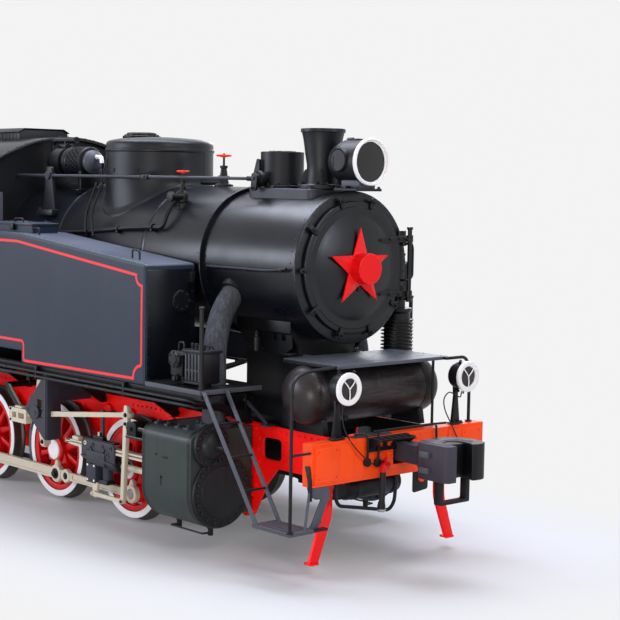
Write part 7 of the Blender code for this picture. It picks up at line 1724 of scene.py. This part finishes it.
def coupler(face, outward, word):
    """Couplers: cast shank, grey near jaw, black far jaw (painted shade on the same casting) with the lock
    between them, lugs and guard loop.
    """
    def at_face(pairs):
        """Places out from the beam's face."""
        return [(face + outward * u, outward * v) for u, v in pairs]

    height = 1.06
    near_jaw = [(0.38, -0.13), (0.44, -0.25), (0.783, -0.25), (0.813, -0.215), (0.813, -0.13), (0.6, -0.1),
        (0.57, 0.0), (0.38, 0.0)]
    far_jaw = [(0.38, 0.0), (0.57, 0.0), (0.6, 0.08), (0.713, 0.1), (0.823, 0.055), (0.843, 0.09),
        (0.843, 0.2), (0.773, 0.27), (0.56, 0.29), (0.42, 0.22), (0.38, 0.13)]
    piece = Piece()
    piece.paint = cast_steel
    piece.slab(rounded(at_face(near_jaw), [0.02, 0.04, 0.02, 0.015, 0.01, 0.03, 0, 0], 5), "xy",
        (height - 0.163, height + 0.163), bevel=0.008, segments=3)
    # Far jaw in black: painted shade, since it is of one casting with the grey near jaw
    piece.paint = black_casting
    piece.slab(rounded(at_face(far_jaw), [0, 0, 0.03, 0.03, 0.012, 0.02, 0.05, 0.05, 0.05, 0.04, 0.02], 5),
        "xy", (height - 0.163, height + 0.163), bevel=0.008, segments=3)
    piece.paint = cast_steel
    for z0, z1 in ((height + 0.16, height + 0.1648), (height - 0.1648, height - 0.16)):
        ridge = at_face([(0.46, -0.2), (0.74, -0.2), (0.75, -0.15), (0.58, -0.12), (0.53, 0.0),
            (0.57, 0.13), (0.72, 0.15), (0.72, 0.2), (0.56, 0.24), (0.46, 0.19)])
        piece.slab(rounded(ridge, 0.03), "xy", (z0, z1), bevel=0.002)
    shank = off_face(face, outward, -0.12, 0.43)
    piece.box(shank, (-0.089, 0.089), (height - 0.089, height + 0.089), 0.012)
    neck = at_face([(0.28, -0.088), (0.44, -0.15), (0.44, 0.16), (0.28, 0.088)])
    piece.slab(neck, "xy", (height - 0.105, height + 0.105), bevel=0.012)
    piece.paint = step_paint
    for z in (height - 0.075, height + 0.065):
        xs = off_face(face, outward, 0.49, 0.6)
        piece.box(xs, on_side(outward, -0.283, -0.245), (z - 0.026, z + 0.026), 0.006)
    piece.paint = black_casting
    lock = off_face(face, outward, 0.572, 0.7)
    piece.box(lock, on_side(outward, -0.1, 0.075), (height - 0.15, height + 0.155), 0.008)
    toggle = off_face(face, outward, 0.59, 0.675)
    piece.box(toggle, on_side(outward, -0.045, 0.025), (height + 0.02, height + 0.08), 0.008)
    loop_x = off_face(face, outward, 0.602, 0.678)
    piece.slab(rounded([(-0.194, 0.672), (0.194, 0.672), (0.194, 0.898), (0.146, 0.898), (0.146, 0.702),
        (-0.146, 0.702), (-0.146, 0.898), (-0.194, 0.898)], [0.02, 0.02, 0, 0, 0.02, 0.02, 0, 0]), "yz",
        loop_x, bevel=0.004)
    piece.done(f"knuckle_coupler_{word}", replaces=(f"{word}_coupler",), angle=30)


coupler(beam_face, 1, "front")
coupler(rear_face, -1, "rear")


def beam_fittings(face, outward, word):
    """Beam fittings: end panels, pocket frame, slotted casting, conduits, sockets, U-bar and plates."""
    piece = Piece()
    piece.paint = beam_enamel
    out = (outward, 0, 0)
    for y in (-1, 1):
        panel = plate(on_side(y, 0.8, 1.078), (0.875, 1.188), 0.035)
        piece.slab(panel, "yz", off_face(face, outward, 0.01, 0.019), bevel=0.004)
        for k in range(6):
            for z in (0.868, 1.197):
                piece.rivet((face, y * (0.16 + 0.08 * k), z), out, 0.018)
    piece.paint = frame_enamel
    for y in (-1, 1):
        for dy in (0.835, 1.045):
            for z in (0.91, 1.152):
                piece.rivet((face + outward * 0.018, y * dy, z), out, 0.022)
    piece.paint = beam_enamel
    pocket = plate((-0.205, 0.205), (0.905, 1.205), 0.02)
    hole = plate((-0.125, 0.125), (0.945, 1.172), 0.01)
    piece.slab(pocket, "yz", off_face(face, outward, 0.001, 0.016), [hole])
    for y in (-0.17, 0.17):
        for z in (0.94, 1.055, 1.17):
            piece.bolt((face + outward * 0.016, y, z), out, 0.03, 0.02)
    piece.paint = grey_bracket
    piece.box(off_face(face, outward, -0.115, -0.005),
        on_side(outward, -0.58, -0.12), (1.2252, 1.238), 0.003)
    for y in (0.52, 0.38, 0.24):
        piece.bolt((face - outward * 0.06, -outward * y, 1.238), (0, 0, 1), 0.028, 0.018)
    if outward > 0:
        piece.paint = black_casting
        slots = [plate((-0.395 + 0.09 * i, -0.34 + 0.09 * i), (1.125, 1.18), 0.01) for i in range(4)]
        piece.slab(rounded([(-0.45, 1.09), (0.03, 1.09), (0.07, 1.14), (0.07, 1.222), (-0.45, 1.222)], 0.02),
            "yz", (3.095, 3.112), slots)
        grille = [plate((3.125, 3.225), (-0.385 + 0.085 * i, -0.345 + 0.085 * i), 0.012) for i in range(5)]
        piece.slab(plate((3.088, 3.25), (-0.43, 0.03), 0.03), "xy", (1.198, 1.216), grille)
        for ys in ((-0.43, -0.415), (0.015, 0.03)):
            piece.slab([(3.088, 1.1), (3.13, 1.12), (3.24, 1.198), (3.088, 1.198)], "xz", ys, bevel=0.002)
        conduits = [[(3.03, -0.62, 1.252), (3.06, -0.54, 1.262), (3.115, -0.48, 1.262), (3.122, -0.47, 1.2),
            (3.116, -0.46, 1.1), (3.106, -0.456, 1.03)], [(3.122, -0.344, 1.287), (3.126, -0.335, 1.15),
            (3.112, -0.324, 1.0)], [(3.122, 0.419, 1.262), (3.126, 0.425, 1.15), (3.112, 0.427, 1.01)],
            [(3.06, -0.344, 1.262), (3.05, 0.05, 1.262), (3.06, 0.419, 1.262), (3.06, 0.62, 1.256)]]
        for route in conduits:
            piece.tube(eased(route, 0.06, 8), 0.011, 12)
        for y, z in ((-0.456, 1.0), (-0.324, 0.985), (0.427, 1.0)):
            piece.turn([(0.0, 0), (0.0, 0.036), (0.006, 0.04), (0.028, 0.04), (0.034, 0.034), (0.034, 0)],
                (3.088, y, z), "X", 28)
            piece.circle_of_bolts((3.12, y, z), "X", 0.03, 4, 0.012, 0.006, 45)
        piece.tube(eased([(2.95, -0.7, 0.86), (2.95, -0.7, 0.68), (2.95, -0.66, 0.6),
            (2.95, -0.012, 0.478), (2.95, 0.055, 0.55), (2.95, 0.085, 0.86)], 0.09, 10), 0.017, 18)
        piece.turn([(-0.42, 0), (-0.42, 0.085), (-0.405, 0.11), (-0.38, 0.12), (0.24, 0.12), (0.265, 0.11),
            (0.28, 0.085), (0.28, 0)], (2.72, 0, 0.7), "Y", 48)
        for y in (-0.3, 0.16):
            piece.ring((y, y + 0.04), (0.119, 0.126), (2.72, 0, 0.7), "Y", 48)
            piece.box((2.7, 2.74), (y, y + 0.04), (0.8, 1.19), 0.004)
        piece.slab(rounded([(0.3, 0.6), (0.5, 0.62), (0.5, 0.838), (0.3, 0.838)], 0.03), "yz",
            (2.94, 2.955), bevel=0.003)
        piece.bar((2.935, 0.4, 0.74), (2.975, 0.4, 0.74), 0.04, steps=24)
        piece.paint = grey_bracket
        piece.slab(rounded([(-0.97, 0.7), (-0.9, 0.7), (-0.9, 0.838), (-1.06, 0.838), (-1.06, 0.8)],
            0.02), "yz", (2.965, 2.98), bevel=0.003)
    piece.done(f"{word}_beam_fittings", angle=30)


beam_fittings(beam_face, 1, "front")
beam_fittings(rear_face, -1, "rear")


def frame_fittings(side, word):
    """Frame fittings: bolt rows, stays, plates below the smokebox, and the reversing shaft."""
    piece = Piece(side)
    piece.paint = frame_enamel
    for i in range(13):
        piece.bolt((1.66 + 0.088 * i, frame_side, 1.155), (0, 1, 0), 0.026, 0.016)
    for x, z in ((1.76, 0.72), (1.8, 0.84), (1.79, 0.96), (1.8, 1.06), (2.18, 0.86), (2.18, 0.98),
            (2.18, 1.08), (2.3, 0.86), (2.42, 0.86), (2.54, 0.86), (2.66, 0.86), (2.8, 0.86), (1.7, 0.5),
            (1.76, 0.6)):
        piece.bolt((x, frame_side, z), (0, 1, 0), 0.028, 0.018)
    for axle_x in axles.values():
        for i in range(8):
            piece.bolt((axle_x - 0.28 + 0.08 * i, frame_side, 1.14), (0, 1, 0), 0.024, 0.014)
        for dx in (-0.2, 0.2):
            piece.slab(plate((axle_x + dx - 0.022, axle_x + dx + 0.022), (0.45, 1.05), 0.008),
                "xz", (0.629, 0.648), bevel=0.003)
    for i in range(14):
        for z in (0.78, 1.14):
            piece.rivet((-2.6 - 0.14 * i, frame_side, z), (0, 1, 0), 0.022)
    for x in (-0.72, -0.3, 0.42):
        piece.turn([(0.628, 0), (0.628, 0.075), (0.64, 0.08), (0.665, 0.078), (0.672, 0.066), (0.672, 0)],
            (x, 0, 1.02), "Y", 36)
    piece.paint = black_casting
    slot_plate = [plate((1.64 + 0.13 * i, 1.7 + 0.13 * i), (2.00, 2.09), 0.015) for i in range(3)]
    piece.slab(rounded([(1.565, 1.93), (1.7, 1.88), (1.95, 1.88), (2.045, 1.93), (2.045, 2.17),
        (1.565, 2.13)], 0.02), "xz", (0.44, 0.458), slot_plate)
    piece.box((1.6, 2.02), (0.345, 0.455), (1.86, 1.885), 0.004)
    piece.paint = grey_bracket
    piece.slab(rounded([(1.625 - 0.02, 1.42), (1.625 + 0.02, 1.435), (1.975, 1.235), (1.955, 1.207)], 0.01),
        "xz", (0.672, 0.69), bevel=0.003)
    piece.box((1.9, 2.0), (0.6, 0.72), (1.2005, 1.218), 0.003)
    piece.slab(plate((2.05, 2.16), (1.2045, 1.4), 0.015), "xz", (0.56, 0.575), bevel=0.003)
    piece.paint = black_casting
    piece.turn([(1.885, 0), (1.885, 0.042), (1.95, 0.045), (2.02, 0.045), (2.03, 0.03), (2.05, 0.028),
        (2.055, 0.018), (2.079, 0.018), (2.079, 0)], (1.63, 0.545, 0), "Z", 28)
    piece.bar((-2.06, 0.5, 1.19), (-2.06, 1.1, 1.19), 0.034, steps=24)
    piece.turn([(0.628, 0), (0.628, 0.07), (0.69, 0.066), (0.7, 0.05), (0.7, 0)], (-2.06, 0, 1.19), "Y", 32)
    piece.slab(rounded([(-2.1, 1.16), (-2.02, 1.16), (-2.035, 1.32), (-2.085, 1.32)], 0.03), "xz",
        (0.8, 0.83), bevel=0.004)
    piece.bar((-2.06, 0.83, 1.295), (-2.72, 0.83, 1.305), 0.018, steps=16)
    piece.done(f"frame_bolts_and_brackets_{word}", angle=30)


both_sides(frame_fittings)


def rail_guard(side, word):
    """Rail guards: tapered plates with their bolts and a toe over the rail."""
    piece = Piece(side)
    piece.paint = frame_enamel
    piece.slab(rounded([(0.631, 0.952), (0.806, 0.952), (0.806, 0.5), (0.944, 0.1), (0.944, 0.078),
        (0.842, 0.078), (0.674, 0.5), (0.674, 0.74), (0.631, 0.8)], [0, 0.01, 0.08, 0.02, 0.004, 0.004,
        0.08, 0.02, 0]), "yz", (2.8535, 2.8865), bevel=0.004)
    piece.slab(plate((2.8, 2.905), (0.838, 0.945), 0.015), "xy", (0.0765, 0.098), bevel=0.004)
    for y, z in ((0.7, 0.91), (0.78, 0.91), (0.7, 0.86), (0.78, 0.86), (0.74, 0.6)):
        piece.bolt((2.8865, y, z), (1, 0, 0), 0.026, 0.016)
    piece.done(f"tapered_rail_guard_{word}", replaces=(f"rail_guard_{word}",), angle=30)


both_sides(rail_guard)


def smokebox_rails(side, word):
    """Smokebox handrails on their posts, and the door's grab rail with the two hinge blocks."""
    piece = Piece(side)
    piece.paint = black_casting
    y, z = 0.758, boiler_height - 0.03
    piece.tube(eased([(1.13, y, z), (2.07, y, z + 0.002), (2.28, y, z + 0.03)], 0.1, 8), 0.013, 16)
    for x, dz in ((1.2, 0.0), (1.72, 0.001), (2.22, 0.016)):
        piece.turn([(0.7, 0.024), (0.712, 0.022), (0.718, 0.012), (0.74, 0.011)], (x, 0, z + dz), "Y", 20)
        piece.turn([(-0.021, 0), (-0.021, 0.012), (-0.012, 0.019), (0.012, 0.019), (0.021, 0.012),
            (0.021, 0)], (x, y, z + dz), "X", 20)
    for x in (1.13, 2.285):
        piece.ring((-0.008, 0.008), (0, 0.017), (x, y, z + (0.03 if x > 2 else 0)), "X", 16)
    if side > 0:
        for dz in (0.27, -0.27):
            block_z = boiler_height + dz
            piece.box((2.392, 2.435), (0.62, 0.69), (block_z - 0.062, block_z - 0.036), 0.004)
            piece.box((2.378, 2.395), (0.6, 0.705), (block_z - 0.075, block_z + 0.075), 0.005)
        piece.tube(eased([(2.36, 0.632, 2.998), (2.45, 0.632, 2.998), (2.45, 0.745, 2.93),
            (2.45, 0.745, 2.6), (2.45, 0.66, 2.575), (2.36, 0.66, 2.575)], 0.07, 8), 0.012, 14)
    piece.done(f"smokebox_handrail_{word}", angle=30)


both_sides(smokebox_rails)


def compressor():
    """Air compressor: finned steam and air cylinders, top head with its valves and pipes."""
    x, y, low = 2.08, 0.92, 1.72
    piece = Piece()
    piece.paint = black_casting
    profile = [(low, 0), (low, 0.115), (low + 0.012, 0.129), (low + 0.09, 0.129)]
    z = low + 0.1
    while z < low + 0.46:
        profile += [(z, 0.131), (z + 0.003, 0.164), (z + 0.013, 0.164), (z + 0.016, 0.131)]
        z += 0.036
    profile += [(low + 0.5, 0.129), (low + 0.52, 0.145), (low + 0.55, 0.145), (low + 0.56, 0.078),
        (low + 0.66, 0.078), (low + 0.67, 0.145), (low + 0.7, 0.145), (low + 0.71, 0.129), (2.68, 0.129),
        (2.69, 0.145), (2.715, 0.145), (2.72, 0.128), (2.74, 0.08), (2.75, 0.06), (2.75, 0)]
    piece.turn(profile, (x, y, 0), "Z", 64)
    piece.circle_of_bolts((x, y, 2.715), "Z", 0.132, 10, 0.024, 0.018)
    for h in (low + 0.61, 2.49):
        piece.box((x - 0.078, x + 0.078), (0.64, y - 0.06), (h, h + 0.045), 0.005)
    piece.turn([(2.74, 0), (2.74, 0.028), (2.79, 0.026), (2.8, 0.036), (2.82, 0.036), (2.825, 0.012),
        (2.9, 0.011), (2.9, 0)], (x + 0.05, y, 0), "Z", 24)
    handwheel(piece, (x + 0.05, y, 2.905), (0, 0, 1), 0.045, 0.008, 4)
    piece.paint = black_casting
    piece.tube(eased([(x - 0.05, y, 2.72), (x - 0.05, y, 2.82), (x - 0.09, 0.8, 2.86),
        (x - 0.2, 0.715, 2.86)], 0.06, 8), 0.018, 14)
    piece.tube(eased([(x + 0.06, y + 0.06, low + 0.03), (x + 0.06, y + 0.08, 1.64),
        (x + 0.16, y + 0.05, 1.62), (2.37, 0.92, 1.66)], 0.06, 8), 0.016, 14)
    piece.done("finned_air_compressor", replaces=("compressor",), angle=28)


compressor()


def cab_roof():
    """Cab roof: smooth arched sheet with ribs, drip edges, rivets and the roof hatch."""
    peak, radius, half, front, back = 3.99, 1.85, 1.43, -2.49, -4.26

    def arch(offset, ys=half, count=48):
        """Points over the roof's curve, moved out by the offset."""
        return [(y, peak - radius + sqrt((radius + offset) ** 2 - y * y))
            for y in (ys - 2 * ys * i / count for i in range(count + 1))]

    piece = Piece()
    piece.paint = black_enamel
    piece.slab(arch(0.0) + arch(-0.029)[::-1], "yz", (back, front), bevel=0.004)
    piece.paint = black_casting
    for x in (front - 0.045, -3.375, back + 0.003):
        piece.slab(arch(0.006, half - 0.004) + arch(-0.002, half - 0.004)[::-1], "yz", (x, x + 0.042),
            bevel=0.002)
    for x in (front - 0.022, -3.354, back + 0.024):
        for i in range(27):
            a = radians(-48 + 96 * i / 26)
            out = Vector((0, sin(a), cos(a)))
            place = Vector((x, 0, peak - radius)) + out * (radius + 0.006)
            if not (abs(place.y) < 0.36 and -3.62 < x < -3.03):
                piece.rivet(place, out, 0.018)
    eaves = peak - radius + sqrt(radius ** 2 - half ** 2)
    for side in (-1, 1):
        piece.box((back + 0.01, front - 0.01), on_side(side, 1.412, 1.4295),
            (eaves - 0.028, eaves + 0.012), 0.003)
    piece.slab([(-0.34, 3.94), (0.34, 3.94), (0.34, 4.04), (0.27, 4.082), (-0.27, 4.082), (-0.34, 4.04)],
        "yz", (-3.6, -3.05), bevel=0.004)
    piece.slab(rounded([(-0.355, 4.045), (-0.275, 4.09), (0.275, 4.09), (0.355, 4.045), (0.355, 4.056),
        (0.277, 4.1), (-0.277, 4.1), (-0.355, 4.056)], 0.004, 2), "yz", (-3.615, -3.035), bevel=0.002)
    for side in (-1, 1):
        for i in range(6):
            piece.box((-3.56 + 0.085 * i, -3.52 + 0.085 * i), on_side(side, 0.338, 0.346),
                (3.965, 4.03), 0.002)
    piece.done("arched_cab_roof", replaces=("cab_roof",), angle=26)


cab_roof()


def window(piece, plane, us, vs, span, bead, pane):
    """Bead round an opening, with its pane and the putty line inside it."""
    outer = plate((us[0] - bead, us[1] + bead), (vs[0] - bead, vs[1] + bead), 0.02)
    inner = plate((us[0] + 0.012, us[1] - 0.012), (vs[0] + 0.012, vs[1] - 0.012), 0.02)
    piece.paint = step_paint
    piece.slab(outer, plane, span, [inner])
    piece.paint = window_glass
    piece.slab(rectangle((us[0] + 0.008, us[1] - 0.008), (vs[0] + 0.008, vs[1] - 0.008)), plane, pane)


def cab_walls():
    """Cab walls: window beads and panes, waist bands, rivets, corner angles and hatch fittings."""
    piece = Piece()
    for side in (-1, 1):
        y0 = on_side(side, 1.3995, 1.412)
        window(piece, "xz", (-3.32, -2.8), (2.35, 2.98), y0, 0.028, on_side(side, 1.381, 1.386))
        piece.paint = step_paint
        piece.box((-3.075, -3.045), y0, (2.34, 2.99), 0.003)
        piece.paint = black_casting
        piece.box((-3.4, -2.72), on_side(side, 1.398, 1.424), (2.306, 2.325), 0.004)
        for xs in ((-2.66, -2.632), (-4.118, -4.09)):
            piece.box(xs, y0, (1.36, 3.3), 0.003)
        for i in range(18):
            for x in (-2.646, -4.104):
                piece.rivet((x, side * 1.412, 1.42 + 0.108 * i), (0, side, 0), 0.016)
        for i in range(7):
            for z in (2.22, 1.4, 3.22):
                piece.rivet((-2.74 - 0.1 * i, side * 1.4, z), (0, side, 0), 0.015)
        piece.paint = bright_steel
        piece.tube(eased([(-2.7, side * 1.39, 1.56), (-2.7, side * 1.419, 1.56),
            (-2.7, side * 1.419, 2.28), (-2.7, side * 1.39, 2.28)], 0.02), 0.009, 12)
        window(piece, "yz", on_side(side, 0.86, 1.26), (3.02, 3.32), (-2.5995, -2.588), 0.024,
            (-2.62, -2.615))
        window(piece, "yz", on_side(side, 0.35, 1.15), (2.72, 3.22), (-4.162, -4.1505), 0.024,
            (-4.135, -4.13))
        piece.paint = step_paint
        for k in range(6):
            y = side * (0.43 + 0.128 * k)
            piece.bar((-4.168, y, 2.7), (-4.168, y, 3.24), 0.009, steps=10)
        piece.box((-4.175, -4.155), on_side(side, 0.33, 1.17), (2.96, 2.98), 0.003)
        piece.paint = black_casting
        for i in range(13):
            piece.rivet((-2.6, side * 1.375, 1.72 + 0.12 * i), (1, 0, 0), 0.016)
        for i in range(9):
            z = 3.35 + 0.055 * i
            y = sqrt(max(0.0, 1.79 ** 2 - (z - 2.14) ** 2)) - 0.04
            if y < 1.36:
                piece.rivet((-2.6, side * y, z), (1, 0, 0), 0.016)
    piece.done("cab_window_beads_and_trim", angle=30)


cab_walls()


def bunker():
    """Bunker: rolled top edge, stiffening angles, rivets, steps and the rear lamp iron."""
    piece = Piece()
    piece.paint = black_casting
    back, half, low, top = -4.8, half_width, 1.35, 2.6
    path = [(-4.155, half - 0.008, top - 0.004), (back + 0.008, half - 0.008, top - 0.004),
        (back + 0.008, -half + 0.008, top - 0.004), (-4.155, -half + 0.008, top - 0.004)]
    piece.tube(eased(path, 0.02), 0.014, 12)
    for z in (low + 0.02, 2.0):
        piece.box((back - 0.01, back + 0.001), (-half + 0.005, half - 0.005), (z, z + 0.045), 0.003)
        for side in (-1, 1):
            piece.box((back, -4.19), on_side(side, half, half + 0.01), (z, z + 0.045), 0.003)
        for i in range(27):
            piece.rivet((back - 0.01, -1.34 + 0.103 * i, z + 0.0225), (-1, 0, 0), 0.017)
        for side in (-1, 1):
            for i in range(6):
                piece.rivet((-4.73 + 0.1 * i, side * (half + 0.01), z + 0.0225), (0, side, 0), 0.017)
    for y in (-1.37, -0.47, 0.43, 1.33):
        piece.box((back - 0.01, back + 0.001), (y, y + 0.04), (low + 0.02, top - 0.01), 0.003)
        for i in range(10):
            piece.rivet((back - 0.01, y + 0.02, low + 0.12 + 0.115 * i), (-1, 0, 0), 0.017)
    for side in (-1, 1):
        piece.tube(eased([(back + 0.01, side * 1.22, 1.5), (back - 0.028, side * 1.22, 1.5),
            (back - 0.028, side * 1.22, 2.4), (back + 0.01, side * 1.22, 2.4)], 0.02), 0.011, 12)
        for face, up in ((back, 2.215), (back - 0.018, 2.3)):
            piece.box((back - 0.03, face), on_side(side, 0.7, 0.78), (2.2, up), 0.003)
    for y in (-0.9, 0.0, 0.9):
        piece.box((back + 0.02, -4.152), (y - 0.02, y + 0.02), (2.3, 2.34), 0.004)
    piece.paint = step_paint
    for side in (-1, 1):
        for z in (0.42, 0.86):
            for i in range(8):
                x = -3.97 + 0.058 * i
                piece.box((x, x + 0.02), on_side(side, 1.12, 1.365), (z + 0.0245, z + 0.03), 0.002)
    piece.done("bunker_edges_and_rivets", angle=30)


bunker()


def cab_inside():
    """Cab inside: floor boards, two seats, the reversing lever and its sector."""
    piece = Piece()
    piece.paint = step_paint
    for i in range(11):
        piece.box((-4.1, -2.95), (-1.35 + 0.246 * i, -1.35 + 0.246 * i + 0.238), (1.348, 1.362), 0.003)
    piece.paint = warm_black
    for side in (-1, 1):
        y = side * 1.05
        piece.turn([(1.86, 0), (1.86, 0.17), (1.87, 0.185), (1.91, 0.19), (1.925, 0.175), (1.93, 0)],
            (-3.18, y, 0), "Z", 32)
        piece.bar((-3.18, y, 1.36), (-3.18, y, 1.87), 0.028, steps=16)
        piece.turn([(1.362, 0), (1.362, 0.12), (1.375, 0.12), (1.39, 0.04)], (-3.18, y, 0), "Z", 24)
    piece.paint = black_casting
    arcs = arc((-3.02, 1.62), 0.32, range(45, 136, 9))
    inner = arc((-3.02, 1.62), 0.28, range(135, 44, -9))
    piece.slab(arcs + inner, "xz", (-0.84, -0.82), bevel=0.002)
    for x in (-2.79, -3.25):
        piece.bar((x, -0.83, 1.86), (x, -0.83, 1.36), 0.02)
    piece.paint = bright_steel
    piece.bar((-3.02, -0.8, 1.4), (-3.14, -0.8, 2.28), 0.016, 0.012)
    piece.paint = handwheel_red
    piece.bar((-3.14, -0.8, 2.28), (-3.155, -0.8, 2.39), 0.018)
    piece.done("cab_floorboards_seats_and_lever", angle=30)


cab_inside()


def cab_door(side, word):
    """Cab doors: beads, panes, kick plates and handles; they ride on their own leaves."""
    piece = Piece(side)
    window(piece, "xz", (-3.95, -3.57), (2.35, 2.98), (1.3995, 1.411), 0.026, (1.381, 1.386))
    piece.paint = black_casting
    piece.slab(plate((-4.02, -3.5), (1.4, 1.62), 0.01), "xz", (1.3995, 1.404), bevel=0.0015)
    for x in (-3.99, -3.76, -3.53):
        for z in (1.43, 1.59):
            piece.rivet((x, 1.404, z), (0, 1, 0), 0.015)
    piece.slab(plate((-3.96, -3.56), (1.74, 2.22), 0.02), "xz", (1.3995, 1.406),
        [plate((-3.93, -3.59), (1.77, 2.19), 0.015)])
    piece.paint = bright_steel
    piece.turn([(1.398, 0), (1.398, 0.028), (1.405, 0.026), (1.407, 0.013), (1.42, 0.012), (1.4205, 0)],
        (-3.54, 0, 2.15), "Y", 24)
    piece.tube([(-3.54, 1.415, 2.15), (-3.6, 1.416, 2.147), (-3.645, 1.416, 2.144)], 0.0085, 12)
    piece.done(f"cab_door_beads_and_handle_{word}", f"cab_door_{word}", angle=30)


both_sides(cab_door)


# White that the floor fades into
backdrop = "f3f3f3"


def seen_plainly(tree):
    """One where the camera sees it, directly, in a reflection or through glass."""
    rays = add(tree, "ShaderNodeLightPath").outputs
    seen = worked(tree, "MAXIMUM", rays["Is Camera Ray"], rays["Is Glossy Ray"])
    return worked(tree, "MAXIMUM", seen, rays["Is Transmission Ray"])


def studio():
    """Floor that fades into the white around it, and keeps the engine's shadow."""
    bm = bmesh.new()
    bmesh.ops.create_grid(bm, x_segments=2, y_segments=2, size=60)
    mesh = bpy.data.meshes.new("floor")
    bm.to_mesh(mesh)
    bm.free()
    floor = bpy.data.objects.new("floor", mesh)
    bpy.context.scene.collection.objects.link(floor)
    material, tree, shader, place = new_material("pale_studio_floor")
    shader.inputs["Base Color"].default_value = linear("d6d6d6")
    shader.inputs["Roughness"].default_value = 0.9
    shader.inputs["Specular IOR Level"].default_value = 0.0
    parts = add(tree, "ShaderNodeSeparateXYZ", {"Vector": place}).outputs
    squares = []
    for axis, half in (("X", 4.3), ("Y", 1.3)):
        past = worked(tree, "SUBTRACT", worked(tree, "ABSOLUTE", parts[axis]), half)
        squares.append(worked(tree, "POWER", worked(tree, "MAXIMUM", past, 0.0), 2.0))
    away = worked(tree, "SQRT", worked(tree, "ADD", *squares))
    fade = ramp(tree, away, 0.0, 2.6, 0.1, 1.0, interpolation_type="SMOOTHSTEP")
    share = worked(tree, "MULTIPLY", fade, seen_plainly(tree))
    plain = add(tree, "ShaderNodeEmission", {"Color": linear(backdrop), "Strength": 1.0}).outputs[0]
    mixed = add(tree, "ShaderNodeMixShader", {"Fac": share, 1: shader.outputs[0], 2: plain}).outputs[0]
    tree.links.new(mixed, tree.nodes["Material Output"].inputs["Surface"])
    mesh.materials.append(material)

    world = bpy.data.worlds.new("studio")
    bpy.context.scene.world = world
    world.use_nodes = True
    tree = world.node_tree
    tree.nodes.clear()
    white = add(tree, "ShaderNodeBackground", {"Color": linear(backdrop), "Strength": 1.0}).outputs[0]
    fill = add(tree, "ShaderNodeBackground", {"Color": linear("e6ecf6"), "Strength": 0.3}).outputs[0]
    both = add(tree, "ShaderNodeMixShader", {"Fac": seen_plainly(tree), 1: fill, 2: white}).outputs[0]
    tree.links.new(both, add(tree, "ShaderNodeOutputWorld").inputs["Surface"])

    def softbox(name, place, target, width, height, power, colour):
        """Rectangular lamp aimed at its target."""
        light = bpy.data.lights.new(name, "AREA")
        light.shape = "RECTANGLE"
        light.size, light.size_y, light.energy = width, height, power
        light.color = linear(colour)[:3]
        lamp = bpy.data.objects.new(name, light)
        bpy.context.scene.collection.objects.link(lamp)
        aim = (Vector(target) - Vector(place)).to_track_quat("-Z", "Y")
        lamp.matrix_world = Matrix.Translation(place) @ aim.to_matrix().to_4x4()

    softbox("overhead_strip", (0.5, 0.8, 9.5), (0.8, 0.0, 2.5), 11.0, 3.8, 1300, "e6ebff")
    softbox("side_strip", (-8.0, -12.5, 5.2), (0.0, 0.0, 2.2), 9.0, 3.4, 1150, "e8edff")
    softbox("front_fill", (11.5, -3.0, 8.0), (2.5, 0.0, 1.6), 3.5, 3.5, 340, "fffaf6")
    softbox("door_glint", (11.6, 2.6, 4.9), (2.5, 0.0, 2.6), 1.4, 1.8, 150, "eef1ff")
    softbox("low_fill", (7.5, -11.0, 1.7), (0.5, 0.0, 0.9), 5.0, 1.6, 420, "fffcfa")
    softbox("rear_fill", (-8.0, 12.0, 7.5), (0.0, 0.0, 2.0), 6.0, 4.0, 500, "f4f6ff")


studio()

# Paint of the solids that keep their own shape, by the slot of each
node_paints = {"black_paint": black_casting, "tank_paint": tank_enamel, "frame_red": frame_enamel,
    "beam_orange": beam_enamel, "wheel_red": wheel_enamel, "rod_cream": cream_enamel,
    "cladding_green": lagging, "step_grey": step_paint, "lamp_white": white_line, "rubber": hose_rubber,}
slot_of = {part["node"]: part["material_slot"] for part in frame["record"]["subparts"]}
for name, obj in frame["nodes"].items():
    paint = wheel_enamel if name == "brake_cock" else node_paints[slot_of[name]]
    if obj.material_slots:
        for holder in obj.material_slots:
            holder.material = paint
    else:
        obj.data.materials.append(paint)
